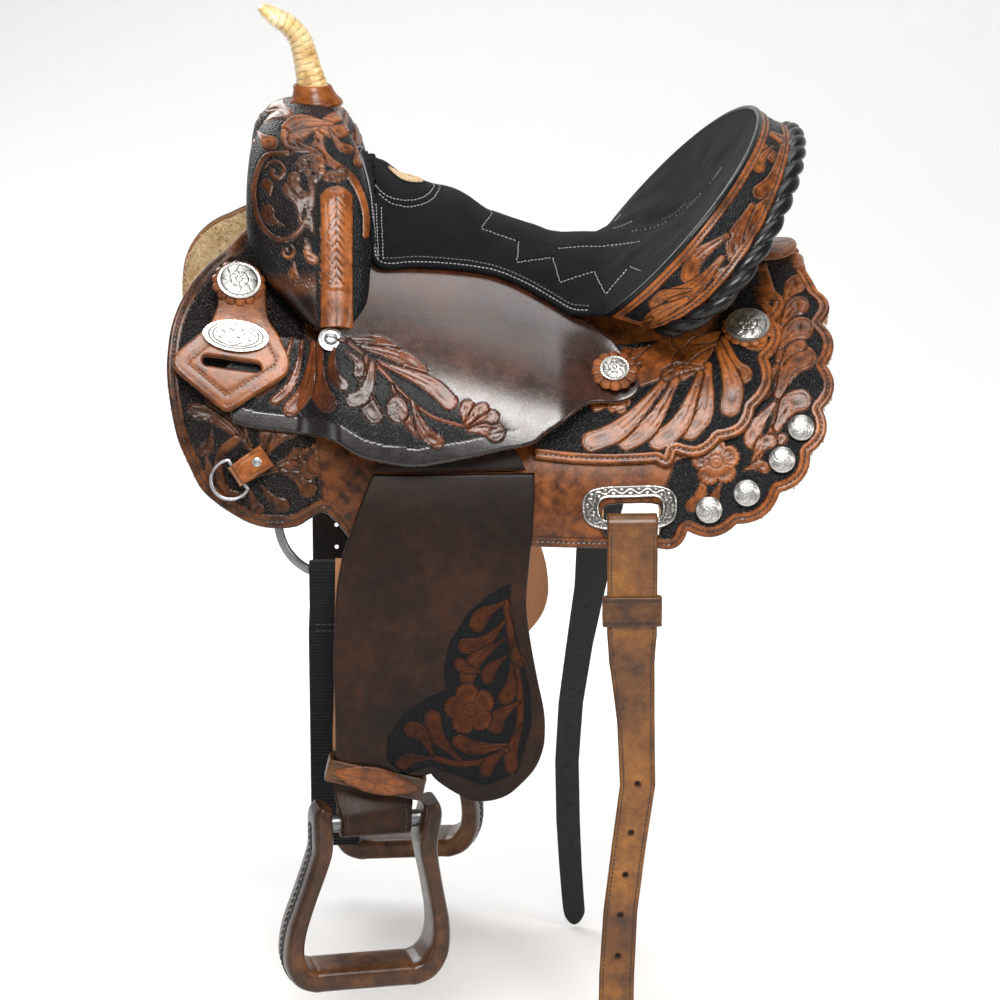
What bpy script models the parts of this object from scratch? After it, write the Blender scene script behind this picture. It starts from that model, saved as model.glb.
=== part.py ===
"""Western barrel saddle.

Frame: metres, +Z up, the horse's head toward -X, the near (left) side at -Y.
The origin is the centre of the bounding box's underside.

The horse's back is a half-ellipse across the saddle whose width and height change
steadily along it.  Every flat leather is drawn as a pattern on that back, as
(x, s) in millimetres: x along the horse, s down the side from the ridge.  Each
layer lies at its own height off the back, so the layers nest without touching.
"""
from collections import namedtuple
from math import acos, copysign, cos, exp, pi, radians, sin, sqrt

import bmesh
import bpy
import numpy as np
from mathutils import Matrix, Vector

for old in list(bpy.data.objects):
    bpy.data.objects.remove(old, do_unlink=True)

# ------------------------------------------------------------------ driving dimensions
NEAR, OFF = -1, 1                        # the sign of y on each side
SIDE_NAME = {NEAR: "near", OFF: "off"}
X_AXIS, Y_AXIS, Z_AXIS = Vector((1, 0, 0)), Vector((0, 1, 0)), Vector((0, 0, 1))
SADDLE_AT = Vector((0.003751, 0.0, 0.060299))   # puts the origin under the middle of the box

# the back's half width: at x = 0, growth rearward
BACK_WIDTH, BACK_WIDTH_X = 0.218, 0.030
# height of the ridge above the widest line: at x = 0, by x, by x squared
BACK_HEIGHT, BACK_HEIGHT_X, BACK_HEIGHT_XX = 0.243, -0.110, 0.30
DIP_DEPTH, DIP_X, DIP_REACH = 0.022, 0.08, 0.09  # the dip under the rider
BACK_Z = 0.420                           # height of the widest line
PATTERN_R = 0.250                        # 1 rad round the back is this much pattern
MM = 0.001
# every pattern is cut across at these x, so that it bends with the back
COLUMNS = [-0.24, -0.18, -0.12, -0.06, 0.0, 0.06, 0.12, 0.18, 0.24]

# inner and outer face of each layer, off the back
FLEECE_LAYER = (0.0, 0.012)
SKIRT_LAYER = (0.013, 0.0175)
REAR_JOCKEY_LAYER = (0.0193, 0.0228)
SLOT_PLATE_LAYER = (0.0178, 0.0200)
BAR_LAYER = (0.0185, 0.0315)
KEEPER_LAYER = (0.0275, 0.0315)
STRAP_LAYER = (0.0235, 0.0295)           # upper fender strap
JOCKEY_T = 0.0040
LOOP_T = 0.0035
SEAT_EDGE_OFF = 0.0440                   # the seat cover's lower edge, off the back

CINCH_X = 0.110                          # rear cinch slot and flank billet
BOLT_R, BOLT_L = 0.0080, 0.0870
FENDER_Y = 0.2450                        # inner face of the fender where it hangs straight
FENDER_T = 0.0038


# ------------------------------------------------------------------ materials
def material(name, color, roughness, metallic=0.0):
    made = bpy.data.materials.new(name)
    made.use_nodes = True
    inputs = made.node_tree.nodes["Principled BSDF"].inputs
    inputs["Base Color"].default_value = (*color, 1)
    inputs["Roughness"].default_value = roughness
    inputs["Metallic"].default_value = metallic
    return made


TOOLED = material("tooled_leather", color=(0.26, 0.10, 0.035), roughness=0.38)
SMOOTH = material("smooth_leather", color=(0.12, 0.045, 0.02), roughness=0.35)
BLACK = material("black_leather", color=(0.015, 0.016, 0.018), roughness=0.35)
SUEDE = material("suede", color=(0.020, 0.020, 0.022), roughness=0.95)
FLEECE = material("fleece", color=(0.55, 0.42, 0.26), roughness=1.0)
WOOD = material("wood", color=(0.45, 0.30, 0.17), roughness=0.7)
RAWHIDE = material("rawhide", color=(0.75, 0.55, 0.30), roughness=0.45)
SILVER = material("silver", color=(0.86, 0.85, 0.82), roughness=0.22, metallic=1.0)
STEEL = material("steel", color=(0.55, 0.55, 0.56), roughness=0.3, metallic=1.0)
FOAM = material("foam", color=(0.70, 0.68, 0.60), roughness=0.9)
WEB = material("nylon_web", color=(0.012, 0.012, 0.014), roughness=0.6)
TAN = material("strap_leather", color=(0.28, 0.12, 0.04), roughness=0.4)

# ------------------------------------------------------------------ objects and pivots
parts = bpy.data.collections.new("western_saddle")
tools = bpy.data.collections.new("cutters")
bpy.context.scene.collection.children.link(parts)
bpy.context.scene.collection.children.link(tools)

Pivot = namedtuple("Pivot", "obj at")    # an empty, and its place in the saddle's frame

SADDLE = Pivot(bpy.data.objects.new("saddle", None), Vector((0, 0, 0)))
SADDLE.obj.location = SADDLE_AT
parts.objects.link(SADDLE.obj)


def add_pivot(name, at, parent=SADDLE):
    pivot = bpy.data.objects.new(name, None)
    pivot.location = at - parent.at
    pivot.parent = parent.obj
    parts.objects.link(pivot)
    return Pivot(pivot, at)


def add(name, mesh, mat, pivot=SADDLE):
    """A bmesh in the saddle's frame becomes a named object on its pivot."""
    bmesh.ops.translate(mesh, verts=mesh.verts, vec=-pivot.at)
    data = bpy.data.meshes.new(name)
    mesh.to_mesh(data)
    mesh.free()
    data.materials.append(mat)
    data.shade_smooth()
    data.set_sharp_from_angle(angle=radians(40))
    ob = bpy.data.objects.new(name, data)
    ob.parent = pivot.obj
    parts.objects.link(ob)
    return ob


def add_rod(name, points, radius, mat, pivot=SADDLE, closed=False):
    """A wire of round section along straight runs between the points."""
    curve = bpy.data.curves.new(name, "CURVE")
    curve.dimensions = "3D"
    curve.bevel_depth = radius
    curve.bevel_resolution = 1
    curve.use_fill_caps = not closed
    spline = curve.splines.new("POLY")
    spline.points.add(len(points) - 1)
    for target, point in zip(spline.points, points):
        target.co = (*(point - pivot.at), 1)
    spline.use_cyclic_u = closed
    curve.materials.append(mat)
    ob = bpy.data.objects.new(name, curve)
    ob.parent = pivot.obj
    parts.objects.link(ob)


def as_cutter(ob, name, pivot=SADDLE):
    """Names an object and files it as a hidden cutter."""
    for collection in list(ob.users_collection):
        collection.objects.unlink(ob)
    tools.objects.link(ob)
    ob.name = name
    ob.parent = pivot.obj
    ob.hide_render = True
    ob.display_type = "WIRE"
    return ob


def box_cutter(name, centre, size, rotation=(0, 0, 0)):
    bpy.ops.mesh.primitive_cube_add(size=1)
    ob = as_cutter(bpy.context.active_object, name)
    ob.scale = size
    ob.rotation_euler = rotation
    ob.location = centre
    return ob


def round_cutter(name, radius, depth, centre=(0, 0, 0), rotation=(0, 0, 0), pivot=SADDLE):
    """A cylinder; centre and rotation are in the pivot's frame."""
    bpy.ops.mesh.primitive_cylinder_add(vertices=20, radius=radius, depth=depth)
    ob = as_cutter(bpy.context.active_object, name, pivot)
    ob.location = centre
    ob.rotation_euler = rotation
    return ob


def cut(ob, cutter):
    boolean = ob.modifiers.new("cut", "BOOLEAN")
    boolean.operation = "DIFFERENCE"
    boolean.object = cutter
    boolean.solver = "EXACT"


# ------------------------------------------------------------------ the back
def clamp01(value):
    return min(max(value, 0), 1)


def smoothstep(start, end, value):
    t = clamp01((value - start) / (end - start))
    return t * t * (3 - 2 * t)


def signed_power(value, exponent):
    return copysign(abs(value) ** exponent, value)


def mirrored(side, x, y, z):
    return Vector((x, side * y, z))


def back_width(x):
    return BACK_WIDTH + BACK_WIDTH_X * x


def back_height(x):
    dip = DIP_DEPTH * exp(-((x - DIP_X) / DIP_REACH) ** 2)
    return BACK_HEIGHT + BACK_HEIGHT_X * x + BACK_HEIGHT_XX * x * x - dip


def drape(x, s, off, side):
    """The point at pattern place (x, s), in metres, standing off the back."""
    angle = s / PATTERN_R
    y = side * (back_width(x) + off) * sin(angle)
    return Vector((x, y, BACK_Z + (back_height(x) + off) * cos(angle)))


# ------------------------------------------------------------------ outlines
SCALLOP_BULGE, SCALLOP_STEPS = 9, 4      # mm, points per scallop


def scallops(cusps):
    """Arcs from cusp to cusp, each standing out by the bulge."""
    out = []
    for (x0, y0), (x1, y1) in zip(cusps, cusps[1:]):
        dx, dy = x1 - x0, y1 - y0
        for i in range(SCALLOP_STEPS):
            t = i / SCALLOP_STEPS
            k = 4 * t * (1 - t) * SCALLOP_BULGE / sqrt(dx * dx + dy * dy)
            out.append((x0 + dx * t + dy * k, y0 + dy * t - dx * k))
    return out + [cusps[-1]]


def smooth_line(points, steps=2):
    """A Catmull-Rom line through the points."""
    out = []
    last = len(points) - 1
    for i in range(last):
        four = (points[max(i - 1, 0)], points[i], points[i + 1], points[min(i + 2, last)])
        for k in range(steps):
            t = k / steps
            out.append(tuple(0.5 * (2 * b + (c - a) * t + (2 * a - 5 * b + 4 * c - d) * t * t
                                    + (3 * b - a - 3 * c + d) * t ** 3)
                             for a, b, c, d in zip(*four)))
    return out + [points[-1]]


def inset(points, distance):
    """The closed outline moved inward, whichever way round it runs."""
    following = points[1:] + points[:1]
    area = sum(p[0] * q[1] - q[0] * p[1] for p, q in zip(points, following))
    inward = distance if area > 0 else -distance
    out = []
    for i, (x, y) in enumerate(points):
        before, after = points[i - 1], following[i]
        dx, dy = after[0] - before[0], after[1] - before[1]
        length = sqrt(dx * dx + dy * dy) or 1
        out.append((x - dy / length * inward, y + dx / length * inward))
    return out


# ------------------------------------------------------------------ solids
def face_outward(mesh):
    bmesh.ops.recalc_face_normals(mesh, faces=mesh.faces[:])
    if mesh.calc_volume(signed=True) < 0:
        bmesh.ops.reverse_faces(mesh, faces=mesh.faces[:])
    return mesh


def triangulated(mesh):
    bmesh.ops.triangulate(mesh, faces=mesh.faces[:])
    return face_outward(mesh)


def bisect(mesh, place, normal):
    bmesh.ops.bisect_plane(mesh, geom=mesh.verts[:] + mesh.edges[:] + mesh.faces[:], dist=1e-6,
                           plane_co=place, plane_no=normal)


def plate(outline, thickness, place, extra_columns=(), step=0.034):
    """An outline in mm, cut into rows (step apart) and columns, thickened, then bent.

    place(u, v, h) takes metres: the outline's two coordinates and the height in the plate.
    """
    mesh = bmesh.new()
    points = [(u * MM, v * MM) for u, v in outline]
    kept = [p for i, p in enumerate(points) if (Vector(p) - Vector(points[i - 1])).length > 0.0004]
    mesh.faces.new([mesh.verts.new((u, v, 0)) for u, v in kept])
    low = min(v for u, v in kept)
    high = max(v for u, v in kept)
    row = int(low / step) + 1
    while row * step < high - 0.001:
        bisect(mesh, (0, row * step, 0), (0, 1, 0))
        row += 1
    for column in (*COLUMNS, *extra_columns):
        bisect(mesh, (column, 0, 0), (1, 0, 0))
    bmesh.ops.dissolve_degenerate(mesh, dist=1e-5, edges=mesh.edges[:])
    bmesh.ops.triangulate(mesh, faces=mesh.faces[:])
    extruded = bmesh.ops.extrude_face_region(mesh, geom=mesh.faces[:])["geom"]
    for vert in extruded:
        if isinstance(vert, bmesh.types.BMVert):
            vert.co.z = thickness
    for vert in mesh.verts:
        vert.co = place(*vert.co)
    return face_outward(mesh)


def ring_verts(mesh, rings):
    return [[mesh.verts.new(p) for p in ring] for ring in rings]


def skin(mesh, rows, flip=False):
    """Quads between neighbouring rings of vertices."""
    for a, b in zip(rows, rows[1:]):
        for j in range(len(a)):
            k = (j + 1) % len(a)
            quad = (a[j], a[k], b[k], b[j])
            mesh.faces.new(quad[::-1] if flip else quad)


def loft(rings):
    """Rings of equal point count joined into one solid with capped ends."""
    mesh = bmesh.new()
    rows = ring_verts(mesh, rings)
    skin(mesh, rows)
    mesh.faces.new(rows[0][::-1])
    mesh.faces.new(rows[-1])
    return triangulated(mesh)


def tube_between(outer, inner):
    """Two nested lofts joined at their open ends: a cover round a core."""
    mesh = bmesh.new()
    a = ring_verts(mesh, outer)
    b = ring_verts(mesh, inner)
    skin(mesh, a)
    skin(mesh, b, flip=True)
    count = len(outer[0])
    for end in (0, -1):
        for j in range(count):
            k = (j + 1) % count
            quad = (a[end][j], b[end][j], b[end][k], a[end][k])
            mesh.faces.new(quad if end == 0 else quad[::-1])
    return triangulated(mesh)


def cup(outer, inner, tip):
    """A cover open at its first ring and closed to a tip past its last."""
    mesh = bmesh.new()
    count = len(outer[0])
    a = ring_verts(mesh, outer)
    b = ring_verts(mesh, inner)
    outer_mean, inner_mean = (sum(rings[-1], Vector((0, 0, 0))) / count
                              for rings in (outer, inner))
    outer_tip = mesh.verts.new(tip)
    inner_tip = mesh.verts.new(inner_mean + (tip - outer_mean) * 0.3)
    skin(mesh, a)
    skin(mesh, b)
    for j in range(count):
        k = (j + 1) % count
        mesh.faces.new((a[-1][j], a[-1][k], outer_tip))
        mesh.faces.new((b[-1][j], b[-1][k], inner_tip))
        mesh.faces.new((a[0][j], b[0][j], b[0][k], a[0][k]))
    return triangulated(mesh)


def strap(path, across, width, thickness, shift=0.0):
    """A strap along a path of points.

    across is its width direction and shift moves it that way; every argument after
    the path is one value, or a list with one value for each point.
    """
    def per_point(value):
        return value if isinstance(value, list) else [value] * len(path)

    rings = []
    last = len(path) - 1
    stations = zip(path, *map(per_point, (across, width, thickness, shift)))
    for i, (point, direction, wide, thick, moved) in enumerate(stations):
        along = (path[min(i + 1, last)] - path[max(i - 1, 0)]).normalized()
        wise = (direction - along * direction.dot(along)).normalized()
        normal = wise.cross(along).normalized()
        centre = point + wise * moved
        half_w, half_t = wise * wide / 2, normal * thick / 2
        rings.append([centre - half_w - half_t, centre + half_w - half_t,
                      centre + half_w + half_t, centre - half_w + half_t])
    return loft(rings)


def wrap(centre, outward, down, radius, angles):
    """Points on an arc: angle 0 is above the centre, pi/2 on its outer side."""
    return [centre + outward * (radius * sin(a)) - down * (radius * cos(a)) for a in angles]


def band(centre, a_dir, b_dir, axis, half_a, half_b, width, thickness):
    """A closed band of leather: an oblong ring round the axis, open through the middle."""
    mesh = bmesh.new()
    loops = []
    for grow in (thickness, 0.0):
        for z in (-width / 2, width / 2):
            loops.append([mesh.verts.new(centre + a_dir * (i * (half_a + grow))
                                         + b_dir * (j * (half_b + grow)) + axis * z)
                          for i, j in ((-1, -1), (1, -1), (1, 1), (-1, 1))])
    for p, q in ((0, 1), (3, 2), (1, 3), (2, 0)):
        skin(mesh, (loops[p], loops[q]))
    return face_outward(mesh)


def move_to(mesh, centre, rotation):
    for vert in mesh.verts:
        vert.co = centre + rotation @ vert.co
    return mesh


def turned(radius_low, radius_high, depth, centre, direction):
    """A cylinder or cone frustum centred on a point, its axis along direction."""
    mesh = bmesh.new()
    bmesh.ops.create_cone(mesh, cap_ends=True, segments=20, radius1=radius_low,
                          radius2=radius_high, depth=depth)
    return move_to(mesh, centre, aim(direction))


def aim(direction):
    """The rotation that turns +Z to the direction."""
    return Z_AXIS.rotation_difference(direction).to_matrix()


# ------------------------------------------------------------------ patterns, (x, s) in mm
SKIRT_CUSPS = [(289, 99), (288, 145), (289, 194), (283, 239), (271, 280), (243, 315),
               (204, 343), (160, 348), (131, 363)]
SKIRT_FRONT = [
    (-162, 341), (-175, 344), (-190, 352), (-212, 354), (-231, 351), (-248, 344), (-263, 336),
    (-276, 326), (-287, 308), (-296, 291), (-302, 267), (-305, 243), (-304, 223), (-301, 204),
    (-295, 185), (-287, 167), (-279, 152), (-268, 134), (-252, 110), (-238, 80), (-230, 58)]
SKIRT = ([(-228, 45), (180, 45), (200, 12), (282, 12), (282, 60)] + scallops(SKIRT_CUSPS)
         + [(-140, 363)] + SKIRT_FRONT)
FLEECE_INSET = 4

REAR_CUSPS = [(249, 102), (245, 143), (237, 188), (222, 238), (190, 266), (150, 275), (131, 282)]
REAR_JOCKEY = ([(95, 152), (199, 152), (206, 140), (207, 14), (245, 14), (246, 60)]
               + scallops(REAR_CUSPS) + [(23, 282), (23, 152)])

SEAT_JOCKEY = [
    # lower edge, front to rear
    (-247, 276), (-228, 279), (-198, 279), (-178, 281), (-156, 287), (-134, 297), (-111, 301),
    (-80, 302), (-35, 292), (-6, 283), (20, 275), (33, 264), (48, 252), (62, 238), (72, 229),
    (83, 224), (95, 223), (107, 220), (116, 214), (119, 204), (113, 182), (98, 158),
    # upper edge, rear to front
    (80, 144), (58, 128), (30, 112), (0, 103), (-60, 108), (-116, 122), (-118, 184), (-138, 200),
    (-168, 204), (-190, 198), (-214, 200), (-232, 210), (-256, 236)]
JOCKEY_COLUMNS = [-0.205, -0.165, -0.145, 0.03, 0.045, 0.075, 0.09, 0.105]

LATIGO_KEEPER = [
    (-243, 144), (-251, 147), (-258, 156), (-259, 185), (-266, 204), (-299, 234), (-300, 243),
    (-251, 272), (-197, 236), (-194, 224), (-204, 204), (-214, 191), (-216, 173), (-217, 156),
    (-227, 146)]
TREE_BAR = [
    (-210, 50), (-150, 46), (60, 46), (170, 50), (196, 60), (196, 84), (150, 92), (60, 94),
    (-40, 96), (-120, 104), (-190, 104), (-210, 92)]
LEATHER_LOOP = [(-90, 50), (-20, 50), (-20, 168), (-90, 168)]

SLOT_PLATE_CENTRE = (108, 324)
SLOT_PLATE_HALF = (42.5, 21.5)
SLOT_PLATE = [(SLOT_PLATE_CENTRE[0] + SLOT_PLATE_HALF[0] * signed_power(cos(a), 0.55),
               SLOT_PLATE_CENTRE[1] + SLOT_PLATE_HALF[1] * signed_power(sin(a), 0.7))
              for a in (2 * pi * i / 32 for i in range(32))]


def jockey_off(x, s):
    """The seat jockey's underside: on the skirt at the front, standing off over the fender."""
    over = smoothstep(-0.190, -0.148, x) * (1 - smoothstep(0.045, 0.105, x))
    high = 0.0365 + 0.0065 * smoothstep(0.16, 0.26, s)
    low = 0.0185 + 0.0055 * smoothstep(-0.02, 0.07, x)
    upper_edge = 0.012 * (1 - smoothstep(0.130, 0.185, s)) * (1 - over)
    return low + (high - low) * over + upper_edge


def loop_off(s):
    """The leather loop's underside: over the bar, then down toward the skirt."""
    return 0.0325 - 0.0135 * smoothstep(0.107, 0.133, s)


def add_layer(name, outline, layer, side, mat):
    inner, outer = layer
    mesh = plate(outline, outer - inner, lambda x, s, h: drape(x, s, inner + h, side))
    return add(f"{name}_{SIDE_NAME[side]}", mesh, mat)


def add_skirt(side):
    """Skirt and fleece with the rear cinch slot through both; returns the fleece."""
    fleece = add_layer("fleece", inset(SKIRT, FLEECE_INSET), FLEECE_LAYER, side, FLEECE)
    skirt = add_layer("skirt", SKIRT, SKIRT_LAYER, side, TOOLED)
    slot = box_cutter(f"cinch_slot_{SIDE_NAME[side]}", drape(CINCH_X, 0.3360, 0.008, side),
                      size=(0.050, 0.06, 0.0350))
    cut(skirt, slot)
    cut(fleece, slot)
    return fleece


def add_slot_plate(side):
    """Oblong silver plate round the rear cinch slot."""
    slot_plate = add_layer("slot_plate", SLOT_PLATE, SLOT_PLATE_LAYER, side, SILVER)
    cut(slot_plate, box_cutter(f"slot_{SIDE_NAME[side]}", drape(CINCH_X, 0.3265, 0.019, side),
                               size=(0.058, 0.04, 0.0185)))


def add_seat_jockey(side):
    mesh = plate(SEAT_JOCKEY, JOCKEY_T, lambda x, s, h: drape(x, s, jockey_off(x, s) + h, side),
                 extra_columns=JOCKEY_COLUMNS)
    add(f"seat_jockey_{SIDE_NAME[side]}", mesh, SMOOTH)


def add_latigo_keeper(side):
    """Plate that keeps the latigo's end, over the front of the jockey and skirt."""
    keeper = add_layer("latigo_keeper", LATIGO_KEEPER, KEEPER_LAYER, side, TOOLED)
    centre = drape(-0.2465, 0.2335, 0.030, side)
    cut(keeper, box_cutter(f"keeper_slot_{SIDE_NAME[side]}", centre, size=(0.054, 0.10, 0.0075),
                           rotation=(0, radians(-3), 0)))


def add_leather_loop(side):
    """Loop that carries the fender over the wooden bar."""
    mesh = plate(LEATHER_LOOP, LOOP_T, lambda x, s, h: drape(x, s, loop_off(s) + h, side),
                 step=0.013)
    add(f"leather_loop_{SIDE_NAME[side]}", mesh, BLACK)


# ------------------------------------------------------------------ round ornaments
CONCHO_EDGE = 0.0012
# name, x, s, height off the back, radius, dome height, stretch along x, tilt (turned by side)
CONCHOS = [
    ("front_concho", -0.2405, 0.1620, 0.0327, 0.0195, 0.0065, 1.0, 0.0),
    ("oval_concho", -0.2430, 0.2115, 0.0327, 0.0150, 0.0045, 1.97, radians(3)),
    ("seat_concho", 0.0970, 0.1930, 0.0350, 0.0130, 0.0055, 1.0, 0.0),
    ("rear_concho", 0.2200, 0.1520, 0.0240, 0.0200, 0.0065, 1.0, 0.0),
]


def back_axes(x, s, off, side):
    """The back's own axes at (x, s): along it, round it, and outward, as matrix columns."""
    reach = 0.002
    along = (drape(x + reach, s, off, side) - drape(x - reach, s, off, side)).normalized()
    upward = (drape(x, s - reach, off, side) - drape(x, s + reach, off, side)).normalized()
    outward = along.cross(upward).normalized()
    if outward.y * side < 0:
        outward = -outward
    return Matrix((along, outward.cross(along), outward)).transposed()


def add_concho(side, name, x, s, off, radius, dome, stretch, tilt):
    """A turned dome with a flat back, lying on the back at (x, s)."""
    profile = [(0.0, dome), (0.45 * radius, dome * 0.92), (0.80 * radius, dome * 0.48),
               (radius, CONCHO_EDGE), (radius, 0.0), (0.0, 0.0)]
    mesh = bmesh.new()
    verts = [mesh.verts.new((r, 0, z)) for r, z in profile]
    edges = [mesh.edges.new(pair) for pair in zip(verts, verts[1:])]
    bmesh.ops.spin(mesh, geom=verts + edges, cent=(0, 0, 0), axis=(0, 0, 1), angle=2 * pi,
                   steps=14, use_merge=True)
    bmesh.ops.remove_doubles(mesh, verts=mesh.verts[:], dist=1e-5)
    bmesh.ops.scale(mesh, vec=(stretch, 1, 1), verts=mesh.verts)
    rotation = back_axes(x, s, off, side) @ Matrix.Rotation(tilt * side, 3, "Z")
    move_to(mesh, drape(x, s, off, side), rotation)
    add(f"{name}_{SIDE_NAME[side]}", face_outward(mesh), SILVER)


# ------------------------------------------------------------------ swell
# the swell is an arch across the withers, from the centre down:
# (y, z, front x, rear x, depth)
ARCH = [
    (0.000, 0.818, -0.207, -0.146, 0.068), (0.032, 0.816, -0.222, -0.141, 0.070),
    (0.062, 0.807, -0.230, -0.134, 0.072), (0.093, 0.787, -0.233, -0.127, 0.070),
    (0.122, 0.757, -0.234, -0.122, 0.062), (0.143, 0.722, -0.232, -0.121, 0.054),
    (0.157, 0.691, -0.219, -0.122, 0.044), (0.169, 0.666, -0.199, -0.125, 0.034),
    (0.176, 0.650, -0.184, -0.132, 0.026), (0.181, 0.640, -0.172, -0.140, 0.018)]
SWELL_COVER_T = 0.0030
FORK_SHRINK = 0.0036                     # the wooden fork's surface under the cover's outside
RING_POINTS = 14
SCREW_X, SCREW_S, SCREW_L = -0.158, 0.2060, 0.0035
NOTCH = [(-262, 20), (-98, 20), (-98, 300), (-262, 300)]


def arch_ring(i, side, shrink):
    """One section of the swell: a rounded oblong across the arch's line."""
    y, z, front, rear, depth = ARCH[i]
    y1, z1 = ARCH[min(i + 1, len(ARCH) - 1)][:2]
    y0, z0 = ARCH[i - 1][:2] if i else (-ARCH[1][0], ARCH[1][1])
    dy, dz = y1 - y0, z1 - z0
    length = sqrt(dy * dy + dz * dz)
    out_y, out_z = -dz / length, dy / length     # out of the arch
    half_x = (rear - front) / 2 - shrink
    half_depth = depth / 2 - shrink
    ring = []
    for k in range(RING_POINTS):
        angle = 2 * pi * k / RING_POINTS
        across = half_x * signed_power(cos(angle), 0.75)
        # the line runs along the outside, the section hangs inside it
        rise = half_depth * signed_power(sin(angle), 0.8) - depth / 2
        ring.append(mirrored(side, (front + rear) / 2 + across, y + out_y * rise,
                             z + out_z * rise))
    return ring


def arch(shrink):
    count = len(ARCH)
    return ([arch_ring(i, NEAR, shrink) for i in range(count - 1, 0, -1)]
            + [arch_ring(i, OFF, shrink) for i in range(count)])


def notch_cutter(side):
    """The room the bar and skirt take under the swell."""
    def place(x, s, h):
        top = 0.0325 if s < 0.110 else 0.0235
        return drape(x, s, -0.08 if h < 0.05 else top, side)

    name = f"notch_{SIDE_NAME[side]}"
    mesh = plate(NOTCH, 0.10, place, extra_columns=[-0.2], step=0.027)
    data = bpy.data.meshes.new(name)
    mesh.to_mesh(data)
    mesh.free()
    return as_cutter(bpy.data.objects.new(name, data), name)


def add_swell():
    cover = add("swell_cover", tube_between(arch(0.0), arch(SWELL_COVER_T)), TOOLED)
    fork = add("tree_fork", loft(arch(FORK_SHRINK)), WOOD)
    # the horn's foot goes down into the swell, through its cover
    for ob, radius in ((cover, 0.0160), (fork, 0.0122)):
        cut(ob, round_cutter("horn_hole_" + ob.name, radius, depth=0.05,
                             centre=(-0.1705, 0, 0.8150)))
    for side in (NEAR, OFF):
        notch = notch_cutter(side)
        cut(cover, notch)
        cut(fork, notch)


def add_swell_screw(side):
    """Screw that holds the swell down through the jockey."""
    off = jockey_off(SCREW_X, SCREW_S) + JOCKEY_T + SCREW_L
    centre = drape(SCREW_X, SCREW_S, off, side)
    outward = (drape(SCREW_X, SCREW_S, off + 0.01, side) - centre).normalized()
    add(f"swell_screw_{SIDE_NAME[side]}", turned(0.0082, 0.0060, SCREW_L, centre, outward), STEEL)


# ------------------------------------------------------------------ horn
# flat ovals along a line that leans forward: (x, z, half length, half width)
HORN = [
    (-0.170, 0.7960, 0.0150, 0.0150), (-0.171, 0.8180, 0.0150, 0.0150),
    (-0.174, 0.831, 0.0135, 0.0135), (-0.177, 0.844, 0.0118, 0.0120),
    (-0.181, 0.862, 0.0105, 0.0125), (-0.186, 0.876, 0.0098, 0.0150),
    (-0.195, 0.887, 0.0088, 0.0200), (-0.206, 0.894, 0.0080, 0.0230),
    (-0.215, 0.900, 0.0065, 0.0200), (-0.2205, 0.9035, 0.0035, 0.0120)]
HORN_TIP = Vector((-0.2240, 0, 0.9050))
HORN_WRAP_T = 0.0031
HORN_CORE_SHRINK = 0.0036


def horn_rings(line, shrink):
    rings = []
    for i, (x, z, half_l, half_w) in enumerate(line):
        x0, z0 = line[max(i - 1, 0)][:2]
        x1, z1 = line[min(i + 1, len(line) - 1)][:2]
        fore = Y_AXIS.cross(Vector((x1 - x0, 0, z1 - z0)).normalized())
        rings.append([Vector((x, 0, z)) + fore * ((half_l - shrink) * cos(a))
                      + Y_AXIS * ((half_w - shrink) * sin(a))
                      for a in (2 * pi * k / RING_POINTS for k in range(RING_POINTS))])
    return rings


def add_horn():
    """Steel core, and a rawhide wrap that starts one station above the core's foot."""
    add("horn_core", loft(horn_rings(HORN, HORN_CORE_SHRINK)), STEEL)
    wrapped = HORN[1:]
    add("horn_wrap", cup(horn_rings(wrapped, 0.0), horn_rings(wrapped, HORN_WRAP_T), HORN_TIP),
        RAWHIDE)


# ------------------------------------------------------------------ seat
# the dish's rim and the edge behind it: top (x, z), half length, slope, half width
RIM_TOP, RIM_LENGTH, RIM_SLOPE, RIM_WIDTH = (0.2385, 0.8055), 0.1370, radians(47.7), 0.188
BACK_TOP, BACK_LENGTH, BACK_SLOPE, BACK_RIM_WIDTH = (0.2680, 0.7880), 0.1200, radians(44.0), 0.2030
BACK_DROOP = 0.034
RIM_END = radians(127)                   # the rim runs this far round from its top each way

# seat top along the middle, (x, z)
SPINE = [(-0.140, 0.775), (-0.110, 0.758), (-0.089, 0.744), (-0.044, 0.732), (-0.007, 0.710),
         (0.047, 0.691), (0.092, 0.688), (0.125, 0.693), (0.150, 0.702)]
SPINE_START, SPINE_END = -0.118, 0.128   # the part the sheet closes on
# border against the swell, from the centre down (x, y, z)
SEAT_FRONT = [(-0.1395, 0, 0.7745), (-0.1310, 0.040, 0.768), (-0.124, 0.078, 0.748),
              (-0.1185, 0.110, 0.716)]
# border along the jockey, (x, s) in mm
SEAT_SIDE = [(-115, 127), (-80, 120), (-41, 113), (-10, 109), (16, 114), (41, 126), (60, 138)]
SEAT_ROWS = 4


def rim(angle):
    """The dish's rim: 0 at its top, negative to the near side."""
    down = RIM_LENGTH * (1 - cos(angle))
    return Vector((RIM_TOP[0] - down * cos(RIM_SLOPE), RIM_WIDTH * sin(angle),
                   RIM_TOP[1] - down * sin(RIM_SLOPE)))


def back_rim(angle):
    down = BACK_LENGTH * (1 - cos(angle))
    return Vector((BACK_TOP[0] - down * cos(BACK_SLOPE), BACK_RIM_WIDTH * sin(angle),
                   BACK_TOP[1] - down * sin(BACK_SLOPE) - BACK_DROOP * sin(angle) ** 2))


def seat_border(side):
    """From the swell's centre, down, back along the jockey and up round the rim."""
    return ([mirrored(side, *point) for point in SEAT_FRONT]
            + [drape(x / 1000, s / 1000, SEAT_EDGE_OFF, side) for x, s in SEAT_SIDE]
            + [rim(side * RIM_END * (1 - k / 7.0)) for k in range(8)])


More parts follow.
